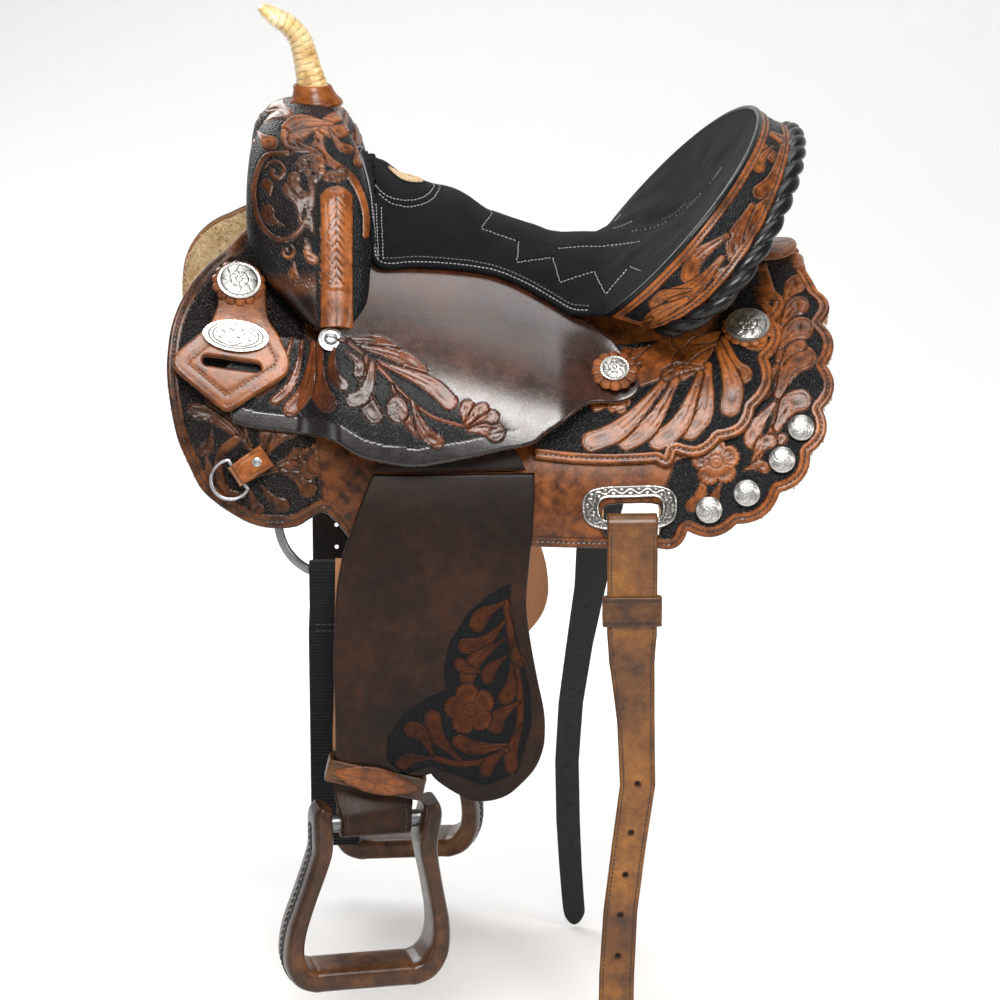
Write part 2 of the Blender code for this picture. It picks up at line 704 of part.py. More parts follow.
def seat_ring(border, spine, inward):
    """The border moved inward, 0 to 1, to the spine."""
    ring = []
    for p, q in zip(border, spine):
        # the front rolls over like a saddle's twist, the rear is dished
        rise = 1 - (1 - inward) ** (2.0 if q.z > p.z else 1.9)
        ring.append(Vector((p.x + (q.x - p.x) * inward, p.y + (q.y - p.y) * inward,
                            p.z + (q.z - p.z) * rise)))
    return ring


def seat_sheet(drop, start):
    """The seat's top as rings from start (0 is the border) in to its spine, sunk by drop."""
    border = seat_border(NEAR) + seat_border(OFF)[-2:0:-1]
    spine = []
    for p in border:
        x = min(max(p.x, SPINE_START), SPINE_END)
        spine.append(Vector((x, 0.0, float(np.interp(x, *zip(*SPINE))))))
    rings = [seat_ring(border, spine, start + (1 - start) * r / SEAT_ROWS)
             for r in range(SEAT_ROWS + 1)]
    mesh = bmesh.new()
    rows = ring_verts(mesh, rings[:-1])
    # the two sides share their vertices on the spine
    shared = {}
    last = []
    for p in rings[-1]:
        key = (round(p.x, 4), round(p.y, 3))
        if key not in shared:
            shared[key] = mesh.verts.new(p)
        last.append(shared[key])
    rows.append(last)
    for a, b in zip(rows, rows[1:]):
        for j in range(len(border)):
            k = (j + 1) % len(border)
            mesh.faces.new(list(dict.fromkeys((a[j], a[k], b[k], b[j]))))
    bmesh.ops.triangulate(mesh, faces=mesh.faces[:])
    bmesh.ops.recalc_face_normals(mesh, faces=mesh.faces[:])
    mesh.normal_update()
    if sum(f.normal.z * f.calc_area() for f in mesh.faces) < 0:
        bmesh.ops.reverse_faces(mesh, faces=mesh.faces[:])
    mesh.normal_update()
    for vert in mesh.verts:
        vert.co = vert.co - vert.normal * drop
    return mesh


def add_seat_layer(name, drop, thickness, mat, start):
    solidify = add(name, seat_sheet(drop, start), mat).modifiers.new("thickness", "SOLIDIFY")
    solidify.thickness = thickness
    solidify.offset = -1
    solidify.use_even_offset = False


# ------------------------------------------------------------------ cantle
CANTLE_STEPS = 24
CANTLE_LEATHER_T = 0.0032
CANTLE_WOOD_END = radians(94)
ROPE_R = 0.0062


def cantle_sections(end):
    """Rim point, back point, direction between them and outward normal, from -end to end."""
    for k in range(CANTLE_STEPS + 1):
        angle = -end + 2 * end * k / CANTLE_STEPS
        front, back = rim(angle), back_rim(angle)
        along = (rim(angle + 0.01) - rim(angle - 0.01)).normalized()
        out = (back - front).normalized()
        normal = out.cross(along).normalized()
        if normal.dot(Vector((0.6, sin(angle), 0.5))) < 0:
            normal = -normal
        yield front, back, out, normal


def add_cantle_back():
    """Tooled leather between the rim and the rope roll, and that roll."""
    rings = []
    rope = []
    for front, back, out, normal in cantle_sections(RIM_END):
        front = front + out * 0.0042
        under = normal * CANTLE_LEATHER_T
        rings.append([front, back, back - under, front - under])
        rope.append(back + out * 0.0080 - normal * 0.002)
    add("cantle_back", loft(rings), TOOLED)
    add_rod("cantle_rope", rope, ROPE_R, BLACK)


def add_tree_cantle():
    """The wooden cantle fills the wedge under that leather."""
    upper = CANTLE_LEATHER_T + 0.0018
    rings = [[front + out * 0.018 - normal * upper,
              back - normal * upper,
              back - normal * (upper + 0.0110),
              front + out * 0.024 - normal * (upper + 0.0088)]
             for front, back, out, normal in cantle_sections(CANTLE_WOOD_END)]
    add("tree_cantle", loft(rings), WOOD)


# ------------------------------------------------------------------ breast collar dee
COLLAR_X, COLLAR_S, COLLAR_OFF = -0.2415, 0.3150, 0.0245
COLLAR_R, COLLAR_WIRE_R = 0.0175, 0.0016
COLLAR_CHORD = 0.0080                    # from the straight side to the ring's centre
TAB_ROLL_R = 0.0040
TAB_ANGLES = (-0.9, -0.3, 0.3, 0.9, 1.5, 2.1, 2.7, 3.3, 3.7)


def add_collar_dee(side):
    """A half ring on a leather tab, hinged on its straight side."""
    tag = SIDE_NAME[side]
    at = drape(COLLAR_X, COLLAR_S, COLLAR_OFF, side)
    chord = (drape(-0.233, 0.325, COLLAR_OFF, side)
             - drape(-0.250, 0.305, COLLAR_OFF, side)).normalized()
    out = (drape(COLLAR_X, COLLAR_S, COLLAR_OFF + 0.010, side) - at).normalized()
    out = (out - chord * out.dot(chord)).normalized()
    down = chord.cross(out)
    if down.z > 0:
        down = -down
    pivot = add_pivot(f"collar_dee_pivot_{tag}", at)
    centre = at + down * COLLAR_CHORD
    ring = [centre + chord * (COLLAR_R * cos(a)) + down * (COLLAR_R * sin(a))
            for a in (radians(-27 + 234 * k / 13) for k in range(14))]
    straight = [at + chord * d for d in (-0.0085, 0.0, 0.0085)]
    add_rod(f"collar_dee_{tag}", ring + straight, COLLAR_WIRE_R, STEEL, pivot, closed=True)
    # the tab wraps the straight side: a flat tongue above it with a rolled end
    tongue = [at - down * d - out * 0.0035 for d in (0.028, 0.010)]
    roll = wrap(at, out, down, TAB_ROLL_R, TAB_ANGLES)
    add(f"dee_tab_{tag}", strap(tongue + roll, chord, [0.022] * 2 + [0.020] * len(roll), 0.0020),
        BLACK)


# ------------------------------------------------------------------ rigging dee and latigo
DEE_X, DEE_Z, DEE_R, DEE_WIRE_R = -0.1565, 0.470, 0.050, 0.0040
DEE_OFF = 0.0062
DEE_FOOT_Z, DEE_TOP_Z = 0.4240, 0.493    # short straight foot, straight top under the skirt
LATIGO_W = 0.048
LATIGO_TILT = radians(14.0)
LATIGO_WRAP_R = 0.0090
LATIGO = {
    NEAR: dict(name="latigo_near", length=0.290, thickness=0.0030, end_width=0.8, mat=WEB),
    OFF: dict(name="off_billet", length=0.340, thickness=0.0036, end_width=0.5, mat=BLACK),
}


def dee_point(angle, side):
    x = DEE_X + DEE_R * cos(angle)
    z = max(min(DEE_Z + DEE_R * sin(angle), DEE_TOP_Z), DEE_FOOT_Z)
    rise = (z - BACK_Z) / (back_height(x) + DEE_OFF)
    return mirrored(side, x, (back_width(DEE_X) + DEE_OFF) * sqrt(1 - rise * rise), z)


def add_rigging_dee(side, fleece):
    """Dee in the skirt's front, under its edge, in a pocket of the fleece."""
    tag = SIDE_NAME[side]
    ring = [dee_point(radians(152 + 236 * k / 20), side) for k in range(21)]
    add_rod(f"rigging_dee_{tag}", ring, DEE_WIRE_R, STEEL, closed=True)
    cut(fleece, box_cutter(f"dee_pocket_{tag}", mirrored(side, DEE_X, 0.215, 0.452),
                           size=(0.118, 0.10, 0.102)))


def add_latigo(side):
    """The strap that hangs on the rigging dee's lower curve."""
    spec = LATIGO[side]
    low = dee_point(radians(270), side)
    pivot = add_pivot(f"latigo_pivot_{SIDE_NAME[side]}", low)
    down = Vector((0, -side * sin(LATIGO_TILT), -cos(LATIGO_TILT)))
    out = Vector((0, side * cos(LATIGO_TILT), -sin(LATIGO_TILT)))
    # (outward, down) from the dee's low point
    inner = [(-0.0040, 0.046), (-LATIGO_WRAP_R, 0.008)]
    outer = [(LATIGO_WRAP_R, 0.008), (0.0022, 0.062), (0.002, spec["length"] - 0.03),
             (0.002, spec["length"])]
    path = ([low + out * o + down * d for o, d in inner]
            + wrap(low, out, down, LATIGO_WRAP_R, (-1.2, -0.6, 0.0, 0.6, 1.2))
            + [low + out * o + down * d for o, d in outer])
    widths = [LATIGO_W * k for k in [0.95] * 8 + [1, 1, spec["end_width"]]]
    add(spec["name"], strap(path, X_AXIS, widths, spec["thickness"]), spec["mat"], pivot)


# ------------------------------------------------------------------ flank billet
BILLET_W, BILLET_T = 0.045, 0.0038
BILLET_WRAP_R = 0.0088
BILLET_OUT = BILLET_WRAP_R + 0.0003      # the hanging part, out from the bar
BILLET_LEAN = {NEAR: 0.020, OFF: -0.120}     # the off billet curls in under the belly
BILLET_MAT = {NEAR: TAN, OFF: BLACK}
# the hanging tail: (drop, shift to the rear, width)
BILLET_TAIL = {
    NEAR: [(0.125, 0.000, 0.041), (0.18, 0.004, 0.034), (0.24, 0.006, 0.032),
           (0.30, -0.002, 0.031), (0.36, -0.009, 0.031), (0.42, -0.012, 0.032),
           (0.515, -0.013, 0.030), (0.529, -0.013, 0.014)],
    OFF: [(0.125, -0.004, 0.040), (0.18, -0.011, 0.032), (0.24, -0.022, 0.027),
          (0.30, -0.031, 0.025), (0.36, -0.035, 0.024), (0.42, -0.034, 0.024),
          (0.515, -0.028, 0.022), (0.529, -0.028, 0.011)],
}


def add_flank_billet(side):
    """Billet through the rear slot, with its keeper."""
    tag = SIDE_NAME[side]
    bar = drape(CINCH_X, 0.3405, 0.0189, side)
    pivot = add_pivot(f"billet_pivot_{tag}", bar)
    down = Vector((0, side * BILLET_LEAN[side], -1)).normalized()
    out = Vector((0, side, 0))
    out = (out - down * out.dot(down)).normalized()
    drops, shifts, widths = (list(column) for column in zip(*BILLET_TAIL[side]))
    path = ([bar - out * BILLET_WRAP_R + down * d for d in (0.007, 0.003)]
            + wrap(bar, out, down, BILLET_WRAP_R, (-1.25, -0.75, -0.25, 0.25, 0.75, 1.25))
            + [bar + out * BILLET_WRAP_R + down * 0.003]
            + [bar + out * BILLET_OUT + down * d for d in [0.055, 0.098] + drops])
    full = len(path) - len(drops)        # points at full width
    add(f"flank_billet_{tag}",
        strap(path, X_AXIS, [BILLET_W] * full + widths, BILLET_T, [0.0] * full + shifts),
        BILLET_MAT[side], pivot)
    centre = bar + out * BILLET_OUT + down * 0.077
    keeper_pivot = add_pivot(f"keeper_pivot_{tag}", centre, pivot)
    keeper = band(centre, X_AXIS, out, down, half_a=BILLET_W / 2 + 0.0014,
                  half_b=BILLET_T / 2 + 0.0012, width=0.027, thickness=0.0028)
    add(f"billet_keeper_{tag}", keeper, TOOLED, keeper_pivot)


# ------------------------------------------------------------------ fender
SWING_X, SWING_Z = -0.055, 0.575         # fender pivot, on the bar's lower edge
FLARE_Z = 0.516                          # the fender's top edge
OFF_SWING = radians(5.0)                 # the off side hangs this much to the rear at rest
HEAD_R = 0.036


def strap_s(z):
    """How far down the pattern the strap's inner face reaches height z."""
    return acos((z - BACK_Z) / (back_height(SWING_X) + STRAP_LAYER[0])) * PATTERN_R


SWING_S = strap_s(SWING_Z)
FLARE_S = strap_s(FLARE_Z + 0.0008)
FLARE_Y = drape(SWING_X, FLARE_S, STRAP_LAYER[1], OFF).y + 0.0002
FENDER_TOP_Y = drape(SWING_X, FLARE_S, STRAP_LAYER[0], OFF).y + 0.0022
FENDER_CURVE = 0.085                     # the fender hangs straight this far below its top

# fender edges, (x, z) in mm
FENDER_FRONT = smooth_line([
    (-122, 515.6), (-133, 490), (-144, 460), (-150, 441), (-155, 410), (-157, 375),
    (-158, 338), (-157, 290), (-157, 254)])
FENDER_REAR = smooth_line([
    (23, 515.6), (21, 470), (17, 430), (15, 400), (18, 370), (25, 330), (31, 300), (32, 278),
    (30, 262), (23, 245), (10, 230), (-2, 220), (-17, 215), (-34, 215), (-46, 221),
    (-57, 228), (-66, 235), (-71, 241)])
FENDER = FENDER_FRONT + [(-155, 246), (-83, 238)] + FENDER_REAR[::-1]


def add_fender_strap(side):
    """The upper strap, turning about the bar's lower edge; returns its pivot."""
    tag = SIDE_NAME[side]
    inner, outer = STRAP_LAYER
    swing = add_pivot(f"fender_swing_{tag}", drape(SWING_X, SWING_S, inner, side))
    if side == OFF:
        swing.obj.rotation_euler = (0, -OFF_SWING, 0)
    # a round head about the pivot, widening to the fender's top edge
    outline = [(SWING_X + HEAD_R * cos(a), SWING_S - HEAD_R * 0.93 * sin(a))
               for a in (pi * k / 10 for k in range(11))]
    outline += [(SWING_X - 0.052, SWING_S + 0.022), (SWING_X - 0.064, FLARE_S),
                (SWING_X + 0.070, FLARE_S), (SWING_X + 0.050, SWING_S + 0.022)]

    def hang(x, s, h):
        """The section at the pivot, straight along x."""
        section = drape(SWING_X, s, inner + h, side)
        return Vector((x, section.y, section.z))

    mesh = plate([(x * 1000, s * 1000) for x, s in outline], outer - inner, hang, step=0.013)
    add(f"fender_strap_{tag}", mesh, BLACK, swing)
    return swing


def fender_y(z):
    """Inner face: follows the skirt's curve at the top, hangs straight below."""
    t = clamp01((FLARE_Z - z) / FENDER_CURVE)
    return FENDER_TOP_Y + (FENDER_Y - FENDER_TOP_Y) * (t * (2 - t))


def add_fender(side, swing):
    """The fender turns out about its top edge; returns that pivot."""
    tag = SIDE_NAME[side]
    flare = add_pivot(f"fender_flare_{tag}", mirrored(side, SWING_X, FLARE_Y, FLARE_Z), swing)
    mesh = plate(FENDER, FENDER_T, lambda x, z, h: mirrored(side, x, fender_y(z) + h, z),
                 step=0.022)
    add(f"fender_{tag}", mesh, SMOOTH, flare)
    return flare


# ------------------------------------------------------------------ stirrup
STIRRUP_YAW = radians(11.0)
BOLT_X, BOLT_Y = -0.1225, FENDER_Y - 0.0045
BOLT_Z = {NEAR: 0.1950, OFF: 0.1590}     # the off stirrup is let out one hole
LEATHER_T = 0.0040
LEATHER_WRAP_R = BOLT_R + 0.0012 + LEATHER_T / 2
LEATHER_W, LEATHER_NARROWING = 0.074, 0.010
LEATHER_IN_Y, LEATHER_OUT_Y = FENDER_Y - 0.0084, FENDER_Y - 0.0034
HOBBLE_SLANT = radians(13)
HOBBLE_IN_Y, HOBBLE_OUT_Y = FENDER_Y - 0.0165, FENDER_Y + FENDER_T + 0.0012
STIRRUP_LEAN = 0.090                     # the arms lean forward this much per metre down
# one arm and its half of the tread: (across, height above the bolt, depth, thickness)
STIRRUP_ARM = [
    (0.0480, 0.0175, 0.034, 0.014), (0.0505, 0.0085, 0.040, 0.018),
    (0.0490, -0.0085, 0.044, 0.019), (0.0485, -0.0225, 0.046, 0.018),
    (0.0515, -0.0375, 0.047, 0.017), (0.0565, -0.0565, 0.048, 0.016),
    (0.0615, -0.0755, 0.049, 0.016), (0.0660, -0.0945, 0.050, 0.017),
    (0.0675, -0.1115, 0.051, 0.018), (0.0655, -0.1255, 0.052, 0.020),
    (0.0580, -0.1375, 0.053, 0.022), (0.0470, -0.1425, 0.054, 0.022),
    (0.0390, -0.1425, 0.054, 0.022)]


def stirrup_axes(side):
    """The bolt's centre and yaw, the direction along it and the one away from the horse."""
    yaw = -side * STIRRUP_YAW
    bolt = mirrored(side, BOLT_X, BOLT_Y, BOLT_Z[side])
    outward = Vector((-sin(yaw), cos(yaw), 0)) * side
    return bolt, yaw, Vector((cos(yaw), sin(yaw), 0)), outward


def add_stirrup_leather(side, flare):
    """Down behind the fender, round the bolt and up again, turned with the stirrup."""
    bolt, yaw, _, outward = stirrup_axes(side)
    # (x, y, z) of the flat runs
    going_down = [(BOLT_X + 0.004, LEATHER_IN_Y, 0.440), (BOLT_X + 0.002, LEATHER_IN_Y, 0.340),
                  (BOLT_X, LEATHER_IN_Y, 0.270), (BOLT_X, LEATHER_IN_Y, 0.226)]
    going_up = [(BOLT_X, LEATHER_OUT_Y, 0.226), (BOLT_X, LEATHER_OUT_Y, 0.262)]
    beside = outward * (LEATHER_WRAP_R - 0.0004)
    above = Z_AXIS * 0.010
    under = wrap(bolt, outward, -Z_AXIS, LEATHER_WRAP_R, [-pi / 2 - pi * k / 8 for k in range(9)])
    path = ([mirrored(side, *point) for point in going_down]
            + [bolt - beside + above] + under + [bolt + beside + above]
            + [mirrored(side, *point) for point in going_up])
    # share of the stirrup's yaw at each point
    turns = [0.0, 0.0, 0.0, 0.12, 0.95] + [1.0] * len(under) + [0.95, 0.12, 0.0]
    across = [Vector((cos(yaw * t), sin(yaw * t), 0)) for t in turns]
    widths = [LEATHER_W - LEATHER_NARROWING * t for t in turns]
    add(f"stirrup_leather_{SIDE_NAME[side]}", strap(path, across, widths, LEATHER_T), BLACK, flare)


def add_hobble_strap(side, flare):
    """A slanting band round the leather and the fender's tail."""
    slant = Vector((cos(HOBBLE_SLANT), 0, -sin(HOBBLE_SLANT)))
    rise = Vector((sin(HOBBLE_SLANT), 0, cos(HOBBLE_SLANT)))
    centre = mirrored(side, -0.1211, (HOBBLE_IN_Y + HOBBLE_OUT_Y) / 2, 0.2370)
    mesh = band(centre, slant, Y_AXIS * side, rise, half_a=0.0425,
                half_b=(HOBBLE_OUT_Y - HOBBLE_IN_Y) / 2, width=0.0210, thickness=0.0026)
    add(f"hobble_strap_{SIDE_NAME[side]}", mesh, TOOLED, flare)


def add_stirrup(side, flare):
    """Bolt and stirrup, turning about the bolt."""
    tag = SIDE_NAME[side]
    bolt, _, axis, outward = stirrup_axes(side)
    pivot = add_pivot(f"stirrup_pivot_{tag}", bolt, flare)
    add(f"stirrup_bolt_{tag}", turned(BOLT_R, BOLT_R, BOLT_L, bolt, axis), STEEL, pivot)
    # down one arm, across the tread and up the other
    stations = STIRRUP_ARM + [(-across, *rest) for across, *rest in STIRRUP_ARM[::-1]]
    path = [bolt + axis * (across + STIRRUP_LEAN * z) + Z_AXIS * z for across, z, _, _ in stations]
    depths = [station[2] for station in stations]
    thicknesses = [station[3] for station in stations]
    stirrup = add(f"stirrup_{tag}", strap(path, outward, depths, thicknesses), TOOLED, pivot)
    cut(stirrup, round_cutter(f"bolt_hole_{tag}", BOLT_R + 0.0004, BOLT_L + 0.0016,
                              rotation=aim(axis).to_euler(), pivot=pivot))


# ------------------------------------------------------------------ the whole saddle
add_swell()
add_horn()
add_seat_layer("seat_cover", drop=0.0, thickness=0.0020, mat=SUEDE, start=0.0)
add_seat_layer("seat_foam", drop=0.0044, thickness=0.0056, mat=FOAM, start=0.25)
add_seat_layer("ground_seat", drop=0.0117, thickness=0.0026, mat=BLACK, start=0.40)
add_cantle_back()
add_tree_cantle()

for side in (NEAR, OFF):
    fleece = add_skirt(side)
    add_slot_plate(side)
    add_layer("rear_jockey", REAR_JOCKEY, REAR_JOCKEY_LAYER, side, TOOLED)
    add_seat_jockey(side)
    add_latigo_keeper(side)
    add_layer("tree_bar", TREE_BAR, BAR_LAYER, side, WOOD)
    add_leather_loop(side)
    for concho in CONCHOS:
        add_concho(side, *concho)
    add_swell_screw(side)
    add_collar_dee(side)
    add_rigging_dee(side, fleece)
    add_latigo(side)
    add_flank_billet(side)
    swing = add_fender_strap(side)
    flare = add_fender(side, swing)
    add_stirrup_leather(side, flare)
    add_hobble_strap(side, flare)
    add_stirrup(side, flare)

bpy.context.view_layer.update()
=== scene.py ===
"""The looks of the western saddle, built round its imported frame.

Metres, +Z up, the horse's head toward -X, the near side at -Y.  The flat leathers are
patterns (x, s) in millimetres laid on the horse's back.  The carving is drawn on a side
elevation, a sheet 1000 units high and wide, and stamped on whatever leather lies under it.
"""
import bmesh
import bpy
import numpy as np
from math import sin, cos, pi, radians, sqrt, exp, atan2, acos
from mathutils import Vector, Matrix
from mathutils.geometry import delaunay_2d_cdt


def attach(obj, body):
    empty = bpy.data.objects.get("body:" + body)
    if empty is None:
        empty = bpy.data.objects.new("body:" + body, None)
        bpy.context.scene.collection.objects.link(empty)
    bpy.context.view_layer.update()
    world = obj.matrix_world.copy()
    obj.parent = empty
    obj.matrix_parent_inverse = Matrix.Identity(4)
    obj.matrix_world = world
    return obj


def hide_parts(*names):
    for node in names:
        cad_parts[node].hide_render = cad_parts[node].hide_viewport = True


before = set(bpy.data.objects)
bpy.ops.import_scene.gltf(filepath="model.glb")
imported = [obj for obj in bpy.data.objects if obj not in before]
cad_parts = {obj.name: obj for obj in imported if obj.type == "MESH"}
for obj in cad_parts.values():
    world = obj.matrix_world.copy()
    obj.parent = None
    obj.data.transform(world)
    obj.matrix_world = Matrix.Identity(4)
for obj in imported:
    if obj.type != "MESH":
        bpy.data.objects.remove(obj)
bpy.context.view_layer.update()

RNG = np.random.default_rng(7)
SHIFT = np.array([0.003751, 0.0, 0.060299])

# ------------------------------------------------------------------ the back and its patterns
BACK_W, BACK_WX = 0.218, 0.030
BACK_H, BACK_HX, BACK_HXX = 0.243, -0.110, 0.30
DIP, DIP_X, DIP_R = 0.022, 0.08, 0.09
BACK_Z = 0.420
PATTERN_R = 0.250


def width(x):
    return BACK_W + BACK_WX * x


def height(x):
    return BACK_H + BACK_HX * x + BACK_HXX * x * x - DIP * np.exp(-((x - DIP_X) / DIP_R) ** 2)


def drape(x, s, off, side=-1):
    """Points on the back (metres, row frame) for arrays of pattern metres."""
    x, s, off = np.broadcast_arrays(np.asarray(x, float), np.asarray(s, float), np.asarray(off, float))
    w, h, a = width(x) + off, height(x) + off, s / PATTERN_R
    return np.stack([x, side * w * np.sin(a), BACK_Z + h * np.cos(a)], -1) + SHIFT


def smoothstep(a, b, v):
    t = np.clip((v - a) / (b - a), 0, 1)
    return t * t * (3 - 2 * t)


# ------------------------------------------------------------------ the side elevation the carving is drawn on
_az, _el, _dist, _unit = radians(-2.0), radians(14.0), 4.0, 0.00095
_back = np.array([sin(_az) * cos(_el), -cos(_az) * cos(_el), sin(_el)])
_right = np.cross(-_back, [0, 0, 1.0]); _right /= np.linalg.norm(_right)
_up = np.cross(_right, -_back)
_target = np.array([SHIFT[0], 0, 0.434 + SHIFT[2]])
_eye = _target + _back * _dist


def sheet_xy(p):
    """Where a near-side point falls on the elevation, in its units (down and right from the top left)."""
    d = p - _eye
    k = (_dist / _unit) / (d @ -_back)
    return np.stack([500 + k * (d @ _right), 500 - k * (d @ _up)], -1)


# ------------------------------------------------------------------ 2-D helpers
def arc(p, q, bulge, n=5):
    (x0, y0), (x1, y1) = p, q
    dx, dy = x1 - x0, y1 - y0
    out = []
    for i in range(n):
        t = i / n
        k = 4 * t * (1 - t) * bulge / sqrt(dx * dx + dy * dy)
        out.append((x0 + dx * t + dy * k, y0 + dy * t - dx * k))
    return out


def scallops(cusps, bulge, n=10):
    out = []
    for p, q in zip(cusps, cusps[1:]):
        out += arc(p, q, bulge, n)
    return out + [cusps[-1]]


def smooth_line(points, n=6, closed=False):
    pts = [np.asarray(p, float) for p in points]
    m = len(pts)
    out = []
    for i in range(m if closed else m - 1):
        if closed:
            a, b, c, d = pts[i - 1], pts[i], pts[(i + 1) % m], pts[(i + 2) % m]
        else:
            a, b, c, d = pts[max(i - 1, 0)], pts[i], pts[i + 1], pts[min(i + 2, m - 1)]
        for k in range(n):
            t = k / n
            out.append(0.5 * (2 * b + (c - a) * t + (2 * a - 5 * b + 4 * c - d) * t * t + (3 * b - a - 3 * c + d) * t ** 3))
    if not closed:
        out.append(pts[-1])
    return np.array(out)


def resample(poly, step, closed=True):
    """The same outline with no edge longer than step; its corners are kept."""
    poly = np.asarray(poly, float)
    out = []
    n = len(poly)
    for i in range(n if closed else n - 1):
        a, b = poly[i], poly[(i + 1) % n]
        k = max(1, int(np.ceil(np.linalg.norm(b - a) / step)))
        out += [a + (b - a) * j / k for j in range(k)]
    if not closed:
        out.append(poly[-1])
    return np.array(out)


def even(poly, step):
    """An open line at equal steps."""
    poly = np.asarray(poly, float)
    d = np.concatenate([[0], np.cumsum(np.linalg.norm(np.diff(poly, axis=0), axis=1))])
    n = max(2, int(d[-1] / step) + 1)
    t = np.linspace(0, d[-1], n)
    return np.stack([np.interp(t, d, poly[:, k]) for k in range(poly.shape[1])], -1)


def line_dist(P, poly, closed=True):
    """Distance to a line, and how far along it the nearest point is."""
    poly = np.asarray(poly, float)
    n = len(poly)
    best = np.full(len(P), 1e9)
    along = np.zeros(len(P))
    run = 0.0
    for i in range(n if closed else n - 1):
        a, b = poly[i], poly[(i + 1) % n]
        ab = b - a
        L = ab @ ab
        if L < 1e-12:
            continue
        t = np.clip(((P - a) @ ab) / L, 0, 1)
        d = np.hypot(P[:, 0] - a[0] - t * ab[0], P[:, 1] - a[1] - t * ab[1])
        m = d < best
        best[m] = d[m]
        along[m] = run + t[m] * sqrt(L)
        run += sqrt(L)
    return best, along


def inside(P, poly):
    poly = np.asarray(poly, float)
    x, y = P[:, 0], P[:, 1]
    res = np.zeros(len(P), bool)
    n = len(poly)
    for i in range(n):
        x0, y0 = poly[i - 1]
        x1, y1 = poly[i]
        if y0 == y1:
            continue
        c = ((y0 > y) != (y1 > y)) & (x < (x1 - x0) * (y - y0) / (y1 - y0) + x0)
        res ^= c
    return res


def inset(poly, d):
    poly = np.asarray(poly, float)
    a, c = np.roll(poly, 1, 0), np.roll(poly, -1, 0)
    area = np.sum(poly[:, 0] * c[:, 1] - c[:, 0] * poly[:, 1])
    t = c - a
    t /= np.maximum(np.linalg.norm(t, axis=1), 1e-9)[:, None]
    return poly + np.stack([-t[:, 1], t[:, 0]], -1) * (d if area > 0 else -d)


def grid2d(outline, holes=(), coarse=6.0, fine=1.2, dense=None, edge=1.6, rims=(0.35, 1.0, 1.8)):
    """A triangle net inside an outline: fine where dense(P) says, with extra rings just inside the edge."""
    loops = [resample(outline, edge)] + [resample(h, edge) for h in holes]
    lo, hi = loops[0].min(0), loops[0].max(0)

    def lattice(step):
        ys = np.arange(lo[1], hi[1] + step, step * 0.866)
        rows = []
        for k, y in enumerate(ys):
            xs = np.arange(lo[0] + (k % 2) * step / 2, hi[0] + step, step)
            rows.append(np.stack([xs, np.full(len(xs), y)], -1))
        return np.concatenate(rows)
    pts = []
    P = lattice(coarse)
    if dense is not None:
        P = P[~dense(P)]
    pts.append((P, coarse * 0.45))
    if dense is not None:
        P = lattice(fine)
        pts.append((P[dense(P)], fine * 0.55))
    for L in loops:
        for d in rims:
            pts.append((inset(L, d if L is loops[0] else -d), d * 0.85))
    keep = []
    for P, gap in pts:
        if not len(P):
            continue
        m = inside(P, loops[0])
        for h in loops[1:]:
            m &= ~inside(P, h)
        P = P[m]
        if not len(P):
            continue
        d = np.min([line_dist(P, L)[0] for L in loops], axis=0)
        m = d > gap
        keep.append((P[m]))
    inner = np.concatenate(keep) if keep else np.zeros((0, 2))
    verts = np.concatenate(loops + [inner])
    edges = []
    base = 0
    for L in loops:
        n = len(L)
        edges += [(base + i, base + (i + 1) % n) for i in range(n)]
        base += n
    v, e, f, ov, oe, of = delaunay_2d_cdt([Vector(p) for p in verts], edges, [], 1, 1e-5)
    V = np.array([tuple(p) for p in v])
    F = np.array([t for t in f if len(t) == 3])
    if len(holes):
        c = V[F].mean(1)
        m = np.ones(len(F), bool)
        for h in loops[1:]:
            m &= ~inside(c, h)
        F = F[m]
    # make every triangle turn the same way
    a = V[F[:, 1]] - V[F[:, 0]]
    b = V[F[:, 2]] - V[F[:, 0]]
    flip = (a[:, 0] * b[:, 1] - a[:, 1] * b[:, 0]) < 0
    F[flip] = F[flip][:, ::-1]
    # find the loops again in the output's numbering
    rings = []
    look = {(round(x, 4), round(y, 4)): i for i, (x, y) in enumerate(V)}
    for L in loops:
        rings.append([look.get((round(x, 4), round(y, 4)), int(np.argmin(((V - (x, y)) ** 2).sum(1)))) for x, y in L])
    d = np.min([line_dist(V, L)[0] for L in loops], axis=0)
    return V, F, rings, d


# ------------------------------------------------------------------ mesh output
def make(name, V, F, attrs=None, mat=None, body="saddle", sharp=42):
    me = bpy.data.meshes.new(name)
    V = np.asarray(V, float)
    if isinstance(F, np.ndarray):
        n, k = F.shape
        me.vertices.add(len(V))
        me.vertices.foreach_set("co", V.astype(np.float32).ravel())
        me.loops.add(n * k)
        me.loops.foreach_set("vertex_index", F.astype(np.int32).ravel())
        me.polygons.add(n)
        me.polygons.foreach_set("loop_start", np.arange(0, n * k, k, dtype=np.int32))
        me.update(calc_edges=True)
    else:
        me.from_pydata(V.tolist(), [], [list(map(int, f)) for f in F])
        me.update()
    me.validate()
    for key, a in (attrs or {}).items():
        at = me.attributes.new(key, "FLOAT", "POINT")
        at.data.foreach_set("value", np.asarray(a, np.float32).ravel())
    if sharp:
        me.shade_smooth()
        me.set_sharp_from_angle(angle=radians(sharp))
    ob = bpy.data.objects.new(name, me)
    bpy.context.scene.collection.objects.link(ob)
    if mat:
        me.materials.append(mat)
    if body:
        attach(ob, body)
    return ob


def mirrored(V):
    W = np.array(V, float)
    W[:, 1] *= -1
    return W


